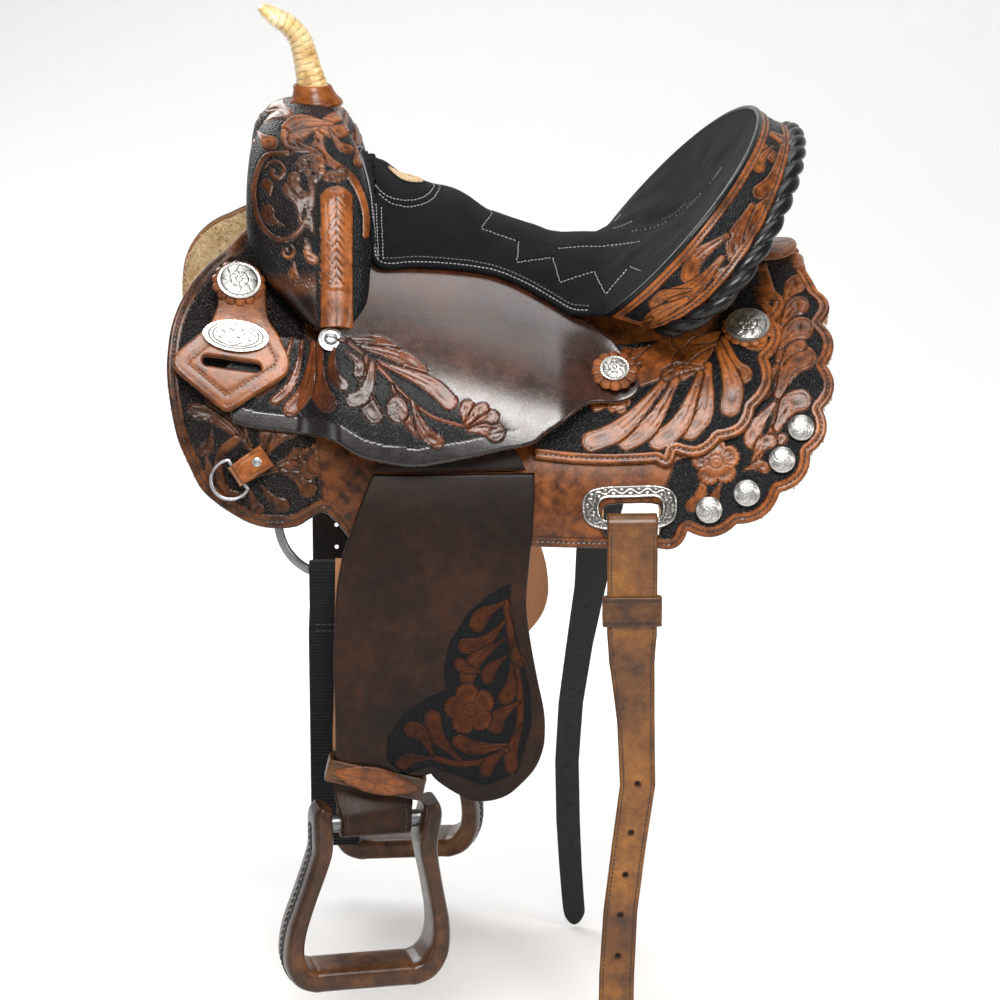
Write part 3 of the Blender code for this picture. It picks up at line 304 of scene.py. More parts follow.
def pair(name, V, F, attrs, mat, body="saddle", sharp=42, sides=(-1, 1), move=None):
    """The near piece as given, and the off piece as its mirror image."""
    out = []
    for side in sides:
        tag = "near" if side < 0 else "off"
        W = V if side < 0 else mirrored(V)
        if move is not None and side > 0:
            W = move(W)
        G = F if side < 0 else (F[:, ::-1] if isinstance(F, np.ndarray) else [f[::-1] for f in F])
        b = body if body == "saddle" else f"{tag}_{body}"
        out.append(make(f"{name}_{tag}", W, G, attrs, mat[side > 0] if isinstance(mat, tuple) else mat, b, sharp))
    return out


def join(parts):
    """Several (V, F) meshes as one."""
    Vs, Fs, n = [], [], 0
    for V, F in parts:
        Vs.append(V)
        Fs.append(np.asarray(F) + n)
        n += len(V)
    return np.concatenate(Vs), np.concatenate(Fs)


def solid_sheet(outline, place, t, relief=None, holes=(), coarse=6.0, fine=1.2, dense=None, edge=1.6, r=1.1, rims=None):
    """A leather of thickness t (mm) cut to an outline and laid by place(u, v, h) in mm; rounded top edges.
    relief(uv, points, d) gives {"h": mm, other attributes}."""
    rims = rims or (0.3 * r, r, 2.0 * r)
    V, F, rings, d = grid2d(outline, holes, coarse, fine, dense, edge, rims)
    base = place(V[:, 0], V[:, 1], np.full(len(V), t))
    info = relief(V, base, d) if relief else {}
    h = info.pop("h", np.zeros(len(V)))
    q = np.clip(1 - d / r, 0, 1)
    fall = r * (1 - np.sqrt(np.clip(1 - q * q, 0, 1)))
    top = place(V[:, 0], V[:, 1], t + h * np.clip(d / 1.5, 0, 1) - fall)
    # underside: the same edge, a coarse inside
    V2, F2, rings2, d2 = grid2d(outline, holes, max(coarse, 9.0), 9.0, None, edge, ())
    low = place(V2[:, 0], V2[:, 1], np.zeros(len(V2)))
    n = len(top)
    faces = [F, F2[:, ::-1] + n]
    e = np.concatenate([F[:, [0, 1]], F[:, [1, 2]], F[:, [2, 0]]])
    have = set((e[:, 0].astype(np.int64) * n + e[:, 1]).tolist())
    for A, B in zip(rings, rings2):
        m = len(A)
        i = np.arange(m)
        j = (i + 1) % m
        A, B = np.array(A), np.array(B) + n
        walls = np.concatenate([np.stack([A[i], B[i], B[j]], -1), np.stack([A[i], B[j], A[j]], -1)])
        if int(A[0]) * n + int(A[1]) not in have:
            walls = walls[:, ::-1]
        faces.append(walls)
    Vall = np.concatenate([top, low])
    Fall = np.concatenate(faces)
    # outward winding: the net turns one way in the pattern; check it against the surface
    a, b, c = Vall[F[:, 0]], Vall[F[:, 1]], Vall[F[:, 2]]
    nrm = np.cross(b - a, c - a).sum(0)
    up = (place(V[:, 0], V[:, 1], np.full(len(V), t + 1.0)) - base).sum(0)
    if nrm @ up < 0:
        Fall = Fall[:, ::-1]
    attrs = {}
    for k, a in info.items():
        attrs[k] = np.concatenate([a, np.zeros(len(low))])
    attrs["edge"] = np.concatenate([np.clip(1 - d / 2.2, 0, 1), np.zeros(len(low))])
    attrs["flesh"] = np.concatenate([np.zeros(len(d)), np.ones(len(low))])
    return Vall, Fall, attrs




# ------------------------------------------------------------------ carving
def leaf(x0, y0, x1, y1, w, bend=0.0, n=13, root=0.22, vein=0.62):
    """A leaf that swells from its stem to a round bulb: base, tip, width, sideways bend (sheet units)."""
    a, c = np.array([x0, y0], float), np.array([x1, y1], float)
    d = c - a
    perp = np.array([-d[1], d[0]]) / max(np.linalg.norm(d), 1e-6)
    b = (a + c) / 2 + perp * bend * 2 + d * 0.10
    t = np.linspace(0, 1, n)[:, None]
    spine = (1 - t) ** 2 * a + 2 * t * (1 - t) * b + t * t * c
    # the bulb hooks round, as a leaf cut with a swivel knife does
    spine = spine + perp * (1 if bend >= 0 else -1) * w * 0.26 * (smoothstep(0.0, 0.62, t) - smoothstep(0.62, 1.0, t))
    t = t[:, 0]
    prof = root + (1 - root) * smoothstep(0.0, 0.72, t) ** 0.9
    half = w * 0.68 * prof
    # the spine stops short, so the round end falls on the tip
    L = np.linalg.norm(d)
    keep = 1 - min(0.45, 0.45 * w / max(L, 1e-6))
    spine = spine[: max(3, int(round(n * keep)))]
    half = half[: len(spine)]
    return dict(kind="leaf", p=spine, half=half, vein=vein)


def stem(points, w, w1=None, n=5):
    p = smooth_line(points, n)
    return dict(kind="stem", p=p, half=np.linspace(w / 2, (w1 if w1 is not None else w) / 2, len(p)), vein=0)


def curl(cx, cy, r, a0, a1, w):
    """A leaf rolled in a spiral."""
    t = np.linspace(0, 1, 16)
    a = np.radians(a0 + (a1 - a0) * t)
    rr = r * (1 - 0.72 * t)
    p = np.stack([cx + rr * np.cos(a), cy + rr * np.sin(a)], -1)
    return dict(kind="stem", p=p, half=w / 2 * (0.55 + 0.45 * t), vein=0)


def flower(cx, cy, r, petals=5, turn=0.0):
    return dict(kind="flower", c=(cx, cy), r=r, n=petals, turn=turn)


def fill(points):
    return dict(kind="fill", poly=np.array(points, float))


def acorn(cx, cy, rx, ry, turn=0.0):
    return dict(kind="acorn", c=(cx, cy), rx=rx, ry=ry, turn=turn)


def capsule_field(P, p, half):
    """Signed distance inside a line of changing width; also where along it and how far from its middle."""
    best = np.full(len(P), -1e9)
    where = np.zeros(len(P))
    off = np.full(len(P), 1e9)
    n = len(p) - 1
    for i in range(n):
        a, b = p[i], p[i + 1]
        ab = b - a
        L = ab @ ab
        if L < 1e-9:
            continue
        t = np.clip(((P - a) @ ab) / L, 0, 1)
        q = np.hypot(P[:, 0] - a[0] - t * ab[0], P[:, 1] - a[1] - t * ab[1])
        s = half[i] + (half[i + 1] - half[i]) * t - q
        m = s > best
        best[m], where[m], off[m] = s[m], (i + t[m]) / n, q[m]
    return best, where, off


def carve(UV, marks, high=1.15):
    """What the marks do to points on the sheet: h (mm), leaf (0..1), cut (0..1 dark knife line), dent (0..1)."""
    N = len(UV)
    d = np.full(N, -6.0)
    near = np.full(N, 6.0)
    vein = np.zeros(N)
    dent = np.zeros(N)
    for k in marks:
        if k["kind"] in ("leaf", "stem"):
            lo, hi = k["p"].min(0) - 14, k["p"].max(0) + 14
        elif k["kind"] == "fill":
            lo, hi = k["poly"].min(0) - 3, k["poly"].max(0) + 3
        else:
            r = k.get("r", 0) or max(k["rx"], k["ry"])
            lo, hi = np.array(k["c"]) - r - 4, np.array(k["c"]) + r + 4
        m = np.where((UV[:, 0] > lo[0]) & (UV[:, 0] < hi[0]) & (UV[:, 1] > lo[1]) & (UV[:, 1] < hi[1]))[0]
        if not len(m):
            continue
        P = UV[m]
        v = np.zeros(len(m))
        e = np.zeros(len(m))
        if k["kind"] in ("leaf", "stem"):
            s, t, q = capsule_field(P, k["p"], k["half"])
            if k["kind"] == "leaf":
                w = k["half"].max()
                v = np.exp(-(q / 0.62) ** 2) * (t > 0.12) * (t < k["vein"])
                e = np.exp(-((t - 0.86) / 0.13) ** 2 - (q / (0.42 * w)) ** 2)
                # a knife line inside the bulb, on the inner side of the hook
                v = np.maximum(v, np.exp(-((s - 0.34 * w) / 0.55) ** 2) * smoothstep(0.42, 0.55, t))
                # short cuts beside the vein
                v = np.maximum(v, 0.8 * np.exp(-((q - 0.45 * w) / 0.52) ** 2) * (np.abs(((t * 9) % 1) - 0.5) < 0.22) * (t > 0.35) * (t < 0.80))
        elif k["kind"] == "flower":
            x, y = P[:, 0] - k["c"][0], P[:, 1] - k["c"][1]
            a = np.arctan2(y, x) + k["turn"]
            rho = np.hypot(x, y)
            n = k["n"]
            lobe = np.abs(np.cos(n * a / 2))
            edge = k["r"] * (0.66 + 0.34 * lobe ** 0.45) + 0.035 * k["r"] * np.sin(n * 6 * a) * lobe
            s = (edge - rho) * 0.9
            core = k["r"] * 0.27
            v = np.exp(-(lobe * rho / 1.1) ** 2) * (rho > core)
            v = np.maximum(v, np.exp(-((rho - core) / 0.7) ** 2))
            v = np.maximum(v, 0.7 * np.exp(-(np.abs(np.sin(n * a / 2)) * rho / 0.55) ** 2) * (rho > core * 1.3) * (rho < edge * 0.70))
            v = np.maximum(v, 0.6 * np.exp(-((rho - core * 0.45) / 0.5) ** 2) * (rho < core))
            e = np.exp(-((rho / edge - 0.66) / 0.13) ** 2) * 0.75 * (lobe > 0.45)
        elif k["kind"] == "acorn":
            ct, st = cos(k["turn"]), sin(k["turn"])
            x0, y0 = P[:, 0] - k["c"][0], P[:, 1] - k["c"][1]
            x, y = x0 * ct + y0 * st, -x0 * st + y0 * ct
            rr = np.sqrt((x / k["rx"]) ** 2 + (y / k["ry"]) ** 2)
            s = (1 - rr) * min(k["rx"], k["ry"])
            v = np.exp(-(x / 0.5) ** 2) * (rr < 0.85)
            v = np.maximum(v, 0.8 * (np.abs((((y + np.abs(x) * 0.9) / 3.4) % 1) - 0.5) < 0.16) * (rr < 0.8))
        else:
            s = np.where(inside(P, k["poly"]), 1, -1) * np.minimum(line_dist(P, k["poly"])[0], 6)
        inn = s > 0
        old = d[m]
        d[m] = np.where(inn, s, np.minimum(old, np.maximum(-s, 0) + (old < 0) * old * 2) if k["kind"] != "fill" else old)
        d[m] = np.where(~inn & (old <= 0), np.maximum(old, s), d[m])
        near[m] = np.where(inn, s, np.minimum(near[m], -s)) if k["kind"] != "fill" else np.minimum(near[m], np.abs(s))
        vein[m] = np.where(inn, v, vein[m])
        dent[m] = np.where(inn, e, dent[m])
    lf = smoothstep(-0.25, 0.35, d)
    h = high * smoothstep(-0.3, 1.3, d) * (1 - 0.12 * smoothstep(1.5, 5, d)) - 0.55 * dent - 0.45 * vein
    cut = np.maximum(np.exp(-(near / 0.85) ** 2), vein * 0.9)
    h -= 0.50 * np.exp(-(near / 0.9) ** 2)
    return h, lf, np.clip(cut, 0, 1), dent


# ------------------------------------------------------------------ materials
def new_mat(name):
    m = bpy.data.materials.new(name)
    m.use_nodes = True
    nt = m.node_tree
    p = nt.nodes["Principled BSDF"]
    return m, nt, p


class Net:
    """Small helper that wires shader nodes."""

    def __init__(self, nt):
        self.nt = nt
        self.tc = nt.nodes.new("ShaderNodeTexCoord").outputs["Object"]

    def put(self, kind, **kw):
        n = self.nt.nodes.new(kind)
        for k, v in kw.items():
            setattr(n, k, v)
        return n

    def link(self, a, b):
        self.nt.links.new(a, b)

    def set(self, sock, v):
        if hasattr(v, "is_output") or isinstance(v, bpy.types.NodeSocket):
            self.link(v, sock)
        else:
            sock.default_value = v

    def attr(self, name):
        n = self.put("ShaderNodeAttribute", attribute_name=name)
        return n.outputs["Fac"]

    def noise(self, scale, detail=4, rough=0.55, vec=None, distort=0.0, stretch=None):
        n = self.put("ShaderNodeTexNoise")
        n.inputs["Scale"].default_value = scale
        n.inputs["Detail"].default_value = detail
        n.inputs["Roughness"].default_value = rough
        n.inputs["Distortion"].default_value = distort
        v = vec or self.tc
        if stretch:
            mp = self.put("ShaderNodeMapping")
            mp.inputs["Scale"].default_value = stretch
            self.link(v, mp.inputs["Vector"])
            v = mp.outputs["Vector"]
        self.link(v, n.inputs["Vector"])
        return n.outputs["Fac"]

    def voronoi(self, scale, feature="F1", vec=None, rnd=1.0):
        n = self.put("ShaderNodeTexVoronoi", feature=feature)
        n.inputs["Scale"].default_value = scale
        n.inputs["Randomness"].default_value = rnd
        self.link(vec or self.tc, n.inputs["Vector"])
        return n.outputs["Distance"]

    def math(self, op, a, b=0.0, c=0.0, clamp=False):
        n = self.put("ShaderNodeMath", operation=op, use_clamp=clamp)
        for i, v in enumerate((a, b, c)):
            if i < len(n.inputs):
                self.set(n.inputs[i], v)
        return n.outputs[0]

    def ramp(self, f, stops):
        n = self.put("ShaderNodeValToRGB")
        e = n.color_ramp.elements
        while len(e) < len(stops):
            e.new(0.5)
        for i, (pos, col) in enumerate(stops):
            e[i].position = pos
            e[i].color = (*col, 1) if len(col) == 3 else col
        self.link(f, n.inputs["Fac"])
        return n.outputs["Color"]

    def mix(self, f, a, b, kind="MIX"):
        n = self.put("ShaderNodeMix", data_type="RGBA", blend_type=kind)
        self.set(n.inputs[0], f)
        for sock, v in ((n.inputs[6], a), (n.inputs[7], b)):
            if isinstance(v, tuple):
                sock.default_value = (*v, 1)
            else:
                self.link(v, sock)
        return n.outputs[2]

    def map(self, v, a, b, c, d):
        n = self.put("ShaderNodeMapRange")
        self.set(n.inputs["Value"], v)
        for k, x in zip(("From Min", "From Max", "To Min", "To Max"), (a, b, c, d)):
            n.inputs[k].default_value = x
        return n.outputs["Result"]

    def bump(self, h, strength, dist, normal=None):
        n = self.put("ShaderNodeBump")
        n.inputs["Strength"].default_value = strength
        n.inputs["Distance"].default_value = dist
        self.link(h, n.inputs["Height"])
        if normal is not None:
            self.link(normal, n.inputs["Normal"])
        return n.outputs["Normal"]


def lin(r, g, b):
    """sRGB 0..255 to linear."""
    return tuple(((c / 255) / 12.92) if c / 255 <= 0.04045 else (((c / 255) + 0.055) / 1.055) ** 2.4 for c in (r, g, b))


BLACK_DYE = lin(12, 13, 15)


def leather(name, light, mid, dark, rough=0.36, ink=True, coat=0.25, mottle=1.0, grain=1.0, gold=False, spec=0.5):
    """Vegetable-tanned leather: antiqued, burnished at its edges, black where 'ink' says."""
    m, nt, p = new_mat(name)
    n = Net(nt)
    big = n.noise(9, 5, 0.6)
    small = n.noise(70, 6, 0.65)
    fine = n.noise(420, 3, 0.6)
    f = n.math("ADD", n.math("MULTIPLY", big, 0.55), n.math("MULTIPLY", small, 0.45 * mottle))
    col = n.ramp(f, [(0.36, dark), (0.50, mid), (0.66, light)])
    col = n.mix(n.map(fine, 0.35, 0.75, 0.0, 0.35), col, tuple(c * 0.55 for c in mid))
    if ink:
        i = n.attr("ink")
        pits = n.voronoi(520)
        blackc = n.mix(n.map(pits, 0.0, 0.6, 0.0, 1.0), tuple(c * 0.35 for c in BLACK_DYE), tuple(c * 1.9 for c in BLACK_DYE))
        col = n.mix(i, col, blackc)
        col = n.mix(n.math("MULTIPLY", n.attr("dent"), 0.75, clamp=True), col, tuple(c * 0.35 for c in dark))
    if gold:
        lit = n.ramp(f, [(0.36, lin(60, 28, 12)), (0.50, lin(136, 68, 26)), (0.66, lin(190, 106, 48))])
        lit = n.mix(n.math("MULTIPLY", n.attr("dent"), 0.75, clamp=True), lit, lin(50, 24, 12))
        col = n.mix(n.attr("gold"), col, n.mix(1.0 - gold, lit, lin(30, 16, 10)))
    cut = n.attr("cut")
    col = n.mix(n.math("MULTIPLY", cut, 0.88, clamp=True), col, (0.006, 0.004, 0.003))
    edge = n.attr("edge")
    col = n.mix(n.math("MULTIPLY", edge, 0.55, clamp=True), col, tuple(c * 0.35 for c in dark))
    # 'shade' darkens toward the dark tone: on several pieces the leather's own darker parts; painted shadow at the
    # fender's top and painted shade on the seat jockey's curving sides
    shade = n.attr("shade")
    col = n.mix(n.math("MULTIPLY", shade, 1.0, clamp=True), col, tuple(c * 0.32 for c in dark))
    col = n.mix(n.attr("flesh"), col, n.mix(fine, lin(176, 128, 92), lin(146, 100, 68)))
    n.link(col, p.inputs["Base Color"])
    r = n.map(n.math("ADD", small, n.math("MULTIPLY", fine, 0.5)), 0.4, 1.1, rough - 0.09, rough + 0.12)
    n.link(r, p.inputs["Roughness"])
    # the dyed grounds and the carving hold less polish than the plain leather
    matt = n.math("MAXIMUM", n.attr("ink"), n.math("MULTIPLY", n.attr("gold"), 0.8)) if ink else n.attr("edge")
    n.link(n.map(matt, 0.0, 1.0, coat, coat * 0.12), p.inputs["Coat Weight"])
    p.inputs["Coat Roughness"].default_value = 0.22
    n.link(n.map(matt, 0.0, 1.0, spec, spec * 0.5), p.inputs["Specular IOR Level"])
    pores = n.voronoi(850)
    g = n.math("ADD", n.math("MULTIPLY", pores, 0.5), n.math("MULTIPLY", fine, 0.5))
    nrm = n.bump(g, 0.22 * grain, 0.0006)
    if ink:
        st = n.math("MULTIPLY", n.voronoi(520), n.attr("ink"))
        nrm = n.bump(st, 0.95, 0.0011, nrm)
    wrinkle = n.noise(38, 3, 0.5, stretch=(1, 1, 1.6))
    nrm = n.bump(wrinkle, 0.10 * grain, 0.002, nrm)
    n.link(nrm, p.inputs["Normal"])
    return m


def suede(name, col, rough=0.95, sheen=0.35):
    m, nt, p = new_mat(name)
    n = Net(nt)
    nap = n.noise(900, 5, 0.7)
    patch = n.noise(26, 4, 0.6)
    c = n.ramp(n.math("ADD", n.math("MULTIPLY", nap, 0.6), n.math("MULTIPLY", patch, 0.4)),
               [(0.32, tuple(v * 0.45 for v in col)), (0.55, col), (0.78, tuple(min(v * 2.1, 1) for v in col))])
    # 'shade' darkens the suede; on the seat it is painted shade in the seams, along the hem and inside the hand-hole
    c = n.mix(n.math("MULTIPLY", n.attr("shade"), 0.85, clamp=True), c, tuple(v * 0.3 for v in col))
    n.link(c, p.inputs["Base Color"])
    p.inputs["Roughness"].default_value = rough
    p.inputs["Sheen Weight"].default_value = sheen
    p.inputs["Sheen Roughness"].default_value = 0.5
    p.inputs["Specular IOR Level"].default_value = 0.08
    nrm = n.bump(nap, 0.55, 0.0008)
    nrm = n.bump(n.noise(120, 4, 0.6), 0.35, 0.0012, nrm)
    n.link(nrm, p.inputs["Normal"])
    return m


def wool(name):
    m, nt, p = new_mat(name)
    n = Net(nt)
    tuft = n.voronoi(150, "SMOOTH_F1")
    f = n.noise(320, 6, 0.7, distort=1.2)
    c = n.ramp(n.math("ADD", n.math("MULTIPLY", f, 0.6), n.math("MULTIPLY", n.noise(18, 3), 0.4)),
               [(0.28, lin(150, 108, 62)), (0.5, lin(222, 188, 136)), (0.75, lin(248, 226, 186))])
    # darker away from the tuft centres, where the bump sinks: painted shade between the tufts
    c = n.mix(n.map(tuft, 0.0, 0.7, 0.0, 0.35), c, lin(150, 112, 66))
    n.link(c, p.inputs["Base Color"])
    p.inputs["Roughness"].default_value = 1.0
    p.inputs["Sheen Weight"].default_value = 0.5
    p.inputs["Specular IOR Level"].default_value = 0.1
    p.inputs["Subsurface Weight"].default_value = 0.08
    p.inputs["Subsurface Scale"].default_value = 0.004
    nrm = n.bump(f, 0.9, 0.0022)
    nrm = n.bump(n.math("SUBTRACT", 1.0, tuft), 0.8, 0.004, nrm)
    n.link(nrm, p.inputs["Normal"])
    return m


def metal(name, col, rough, worn=0.5, cavity=(0.03, 0.03, 0.03)):
    m, nt, p = new_mat(name)
    n = Net(nt)
    f = n.noise(160, 5, 0.6)
    c = n.mix(n.map(f, 0.35, 0.8, 0.0, 0.3 * worn), col, tuple(v * 0.6 for v in col))
    c = n.mix(n.math("MULTIPLY", n.attr("cut"), 0.9, clamp=True), c, cavity)
    n.link(c, p.inputs["Base Color"])
    p.inputs["Metallic"].default_value = 1.0
    n.link(n.map(f, 0.3, 0.8, rough - 0.05, rough + 0.14), p.inputs["Roughness"])
    nrm = n.bump(n.noise(900, 3, 0.5), 0.08, 0.0003)
    n.link(nrm, p.inputs["Normal"])
    return m


def wood(name):
    m, nt, p = new_mat(name)
    n = Net(nt)
    g = n.noise(14, 5, 0.6, stretch=(0.4, 3, 3), distort=0.6)
    fine = n.noise(160, 4, 0.6, stretch=(0.15, 2, 2))
    c = n.ramp(n.math("ADD", n.math("MULTIPLY", g, 0.7), n.math("MULTIPLY", fine, 0.3)),
               [(0.3, lin(120, 82, 48)), (0.55, lin(170, 128, 82)), (0.8, lin(200, 164, 112))])
    n.link(c, p.inputs["Base Color"])
    p.inputs["Roughness"].default_value = 0.6
    n.link(n.bump(fine, 0.3, 0.0006), p.inputs["Normal"])
    return m


def thread(name, col):
    m, nt, p = new_mat(name)
    n = Net(nt)
    f = n.noise(1400, 2, 0.6)
    c = n.mix(n.map(f, 0.3, 0.7, 0.0, 0.6), col, tuple(v * 0.5 for v in col))
    n.link(c, p.inputs["Base Color"])
    p.inputs["Roughness"].default_value = 0.7
    p.inputs["Sheen Weight"].default_value = 0.2
    n.link(n.bump(f, 0.6, 0.0003), p.inputs["Normal"])
    return m


TOOLED = leather("tooled_leather", lin(166, 94, 40), lin(104, 54, 21), lin(36, 19, 10), rough=0.26, mottle=1.3, coat=0.06, spec=0.30)
TOOLED_DARK = leather("tooled_leather_dark", lin(100, 60, 33), lin(66, 37, 20), lin(32, 18, 11), rough=0.36, coat=0.08, spec=0.35)
SMOOTH = leather("smooth_leather", lin(106, 60, 36), lin(84, 46, 29), lin(48, 27, 19), rough=0.28, coat=0.35, mottle=0.5, grain=0.8)
FENDER_L = leather("fender_leather", lin(66, 35, 17), lin(38, 20, 11), lin(16, 10, 7), rough=0.44, coat=0.0, mottle=0.9, gold=0.22, spec=0.20)
FLESH = leather("flesh_side", lin(206, 164, 130), lin(186, 140, 108), lin(150, 104, 76), rough=0.85, ink=False, coat=0.0)
BLACKL = leather("black_leather", lin(24, 25, 27), lin(14, 15, 16), lin(7, 7, 8), rough=0.28, ink=False, coat=0.12, mottle=0.5, spec=0.32)
BILLET_L = leather("billet_leather", lin(154, 100, 38), lin(106, 63, 21), lin(50, 29, 13), rough=0.34, ink=False, coat=0.12, spec=0.4)
SUEDE = suede("seat_suede", lin(19, 20, 22), sheen=0.03)
WOOL = wool("fleece_wool")
SILVER = metal("silver", (0.56, 0.55, 0.525), 0.33, cavity=(0.02, 0.019, 0.017))
STEEL = metal("steel", (0.44, 0.44, 0.45), 0.30, worn=0.8)
DARK_STEEL = metal("dark_steel", (0.20, 0.20, 0.21), 0.34)
WOOD = wood("tree_wood")
GREY_THREAD = thread("grey_thread", lin(168, 168, 168))
BROWN_THREAD = thread("brown_thread", lin(36, 21, 13))
TAN_THREAD = thread("tan_thread", lin(205, 165, 120))
DARK_THREAD = thread("dark_thread", lin(46, 34, 26))
RAWHIDE = None


def rawhide(name):
    m, nt, p = new_mat(name)
    n = Net(nt)
    f = n.noise(60, 5, 0.6)
    c = n.ramp(f, [(0.30, lin(176, 128, 66)), (0.50, lin(226, 192, 130)), (0.72, lin(246, 232, 190))])
    c = n.mix(n.math("MULTIPLY", n.attr("cut"), 0.85, clamp=True), c, lin(70, 42, 20))
    n.link(c, p.inputs["Base Color"])
    p.inputs["Roughness"].default_value = 0.34
    p.inputs["Coat Weight"].default_value = 0.4
    p.inputs["Subsurface Weight"].default_value = 0.1
    p.inputs["Subsurface Scale"].default_value = 0.003
    n.link(n.bump(n.noise(500, 3, 0.6), 0.25, 0.0005), p.inputs["Normal"])
    return m


def nylon(name):
    m, nt, p = new_mat(name)
    n = Net(nt)
    w = n.put("ShaderNodeTexWave", wave_type="BANDS", bands_direction="Z")
    w.inputs["Scale"].default_value = 95
    w.inputs["Distortion"].default_value = 0.4
    w.inputs["Detail"].default_value = 1
    n.link(n.tc, w.inputs["Vector"])
    f = n.noise(700, 4, 0.6)
    c = n.mix(w.outputs["Fac"], lin(9, 9, 10), lin(24, 24, 26))
    c = n.mix(n.math("MULTIPLY", f, 0.3), c, lin(44, 44, 47))
    n.link(c, p.inputs["Base Color"])
    p.inputs["Roughness"].default_value = 0.8
    p.inputs["Sheen Weight"].default_value = 0.05
    p.inputs["Specular IOR Level"].default_value = 0.15
    nrm = n.bump(w.outputs["Fac"], 0.8, 0.0009)
    nrm = n.bump(f, 0.4, 0.0004, nrm)
    n.link(nrm, p.inputs["Normal"])
    return m


def foam(name):
    m, nt, p = new_mat(name)
    n = Net(nt)
    c = n.ramp(n.noise(300, 4, 0.6), [(0.3, lin(190, 172, 120)), (0.7, lin(232, 218, 170))])
    n.link(c, p.inputs["Base Color"])
    p.inputs["Roughness"].default_value = 0.95
    n.link(n.bump(n.voronoi(1200), 0.6, 0.0006), p.inputs["Normal"])
    return m


RAWHIDE = rawhide("rawhide")
NYLON = nylon("nylon_web")
FOAM = foam("foam")
TAN_LEATHER = thread("tan_lace", lin(150, 86, 42))
DARK_GREY_THREAD = thread("dark_grey_thread", lin(104, 106, 108))
STIRRUP_L = leather("stirrup_leather", lin(116, 72, 34), lin(66, 38, 18), lin(26, 16, 10), rough=0.30, coat=0.08, spec=0.35)
LACE = thread("black_lace", lin(34, 34, 36))
SEAT_SIDE = leather("seat_side_leather", lin(104, 56, 31), lin(72, 36, 21), lin(34, 19, 14), rough=0.25, coat=0.36, mottle=0.5, grain=0.7, gold=1.0)
SILVER_DARK = metal("antique_silver", (0.62, 0.60, 0.56), 0.24, cavity=(0.02, 0.018, 0.016))
LEATHER_D = leather("stirrup_strap_leather", lin(80, 44, 23), lin(48, 27, 15), lin(20, 13, 9), rough=0.44, ink=False, coat=0.0, spec=0.2)
# colour of the plugs in the billet holes: painted shadow inside the holes
HOLE_SHADOW = thread("punched_hole", lin(20, 13, 9))


# ------------------------------------------------------------------ stitches
SEWN = {}


def sew(P, N, mat, body="saddle", pitch=0.0042, length=0.0034, wide=0.0011, high=0.0007, slant=0.0, both=True, move=None):
    """A row of raised stitches along the points P with surface normals N (near side; mirrored to the off side)."""
    P = np.asarray(P, float)
    N = np.asarray(N, float)
    d = np.concatenate([[0], np.cumsum(np.linalg.norm(np.diff(P, axis=0), axis=1))])
    n = int(d[-1] / pitch)
    if n < 1:
        return
    t = (np.arange(n) + 0.5) * pitch
    C = np.stack([np.interp(t, d, P[:, k]) for k in range(3)], -1)
    A = np.stack([np.interp(t + pitch * 0.3, d, P[:, k]) - np.interp(t - pitch * 0.3, d, P[:, k]) for k in range(3)], -1)
    M = np.stack([np.interp(t, d, N[:, k]) for k in range(3)], -1)
    A /= np.linalg.norm(A, axis=1)[:, None]
    M -= A * (A * M).sum(1)[:, None]
    M /= np.linalg.norm(M, axis=1)[:, None]
    B = np.cross(M, A)
    if slant:
        A, B = A * cos(slant) + B * sin(slant), B * cos(slant) - A * sin(slant)
    rows = [(-0.5, 0.0), (-0.36, 0.75), (0.0, 1.0), (0.36, 0.75), (0.5, 0.0)]
    k = 6
    tmpl = []
    for a, r in rows:
        if r == 0:
            tmpl.append((a, 0, 0))
        else:
            tmpl += [(a, r * cos(2 * pi * i / k), r * sin(2 * pi * i / k)) for i in range(k)]
    T = np.array(tmpl)
    V = (C[:, None] + A[:, None] * (T[None, :, 0:1] * length) + B[:, None] * (T[None, :, 1:2] * wide / 2)
         + M[:, None] * (T[None, :, 2:3] * high)).reshape(-1, 3)
    F = []
    for i in range(k):
        j = (i + 1) % k
        F.append((0, 1 + j, 1 + i))
        for r in range(2):
            a, b = 1 + r * k, 1 + (r + 1) * k
            F += [(a + i, a + j, b + j), (a + i, b + j, b + i)]
        F.append((1 + 2 * k + i, 1 + 2 * k + j, 1 + 3 * k))
    F = np.array(F)
    Fall = (F[None] + (np.arange(n) * len(T))[:, None, None]).reshape(-1, 3)
    for side in ((-1, 1) if both else (-1,)):
        tag = "near" if side < 0 else "off"
        b = body if body in ("saddle",) else f"{tag}_{body}"
        W = V if side < 0 else mirrored(V)
        if move is not None and side > 0:
            W = move(W)
        SEWN.setdefault((mat.name, b), []).append((W, Fall if side < 0 else Fall[:, ::-1]))


def sewing_done():
    for (mat, body), parts in SEWN.items():
        if not parts:
            continue
        V, F = join(parts)
        make(f"stitches_{mat}_{body}", V, F, {}, bpy.data.materials[mat], body, sharp=0).data.shade_smooth()


def on_sheet(place, line, h):
    """A line on a sheet as 3-D points and normals."""
    L = np.asarray(line, float)
    P = place(L[:, 0], L[:, 1], np.full(len(L), float(h)))
    Q = place(L[:, 0], L[:, 1], np.full(len(L), float(h) + 1.0))
    N = Q - P
    return P, N / np.linalg.norm(N, axis=1)[:, None]


def between(outline, i0, i1, d, step=2.0):
    """The part of an outline from its point nearest i0 to the one nearest i1, moved in by d."""
    O = resample(outline, 2.0)
    I = inset(O, d)
    a = int(np.argmin(((O - np.array(i0)) ** 2).sum(1)))
    b = int(np.argmin(((O - np.array(i1)) ** 2).sum(1)))
    if b < a:
        b += len(O)
    L = np.array([I[k % len(O)] for k in range(a, b + 1)])
    # drop the points an inset corner folds back
    d0, _ = line_dist(L, O)
    L = L[d0 > d * 0.93]
    return even(L, step)


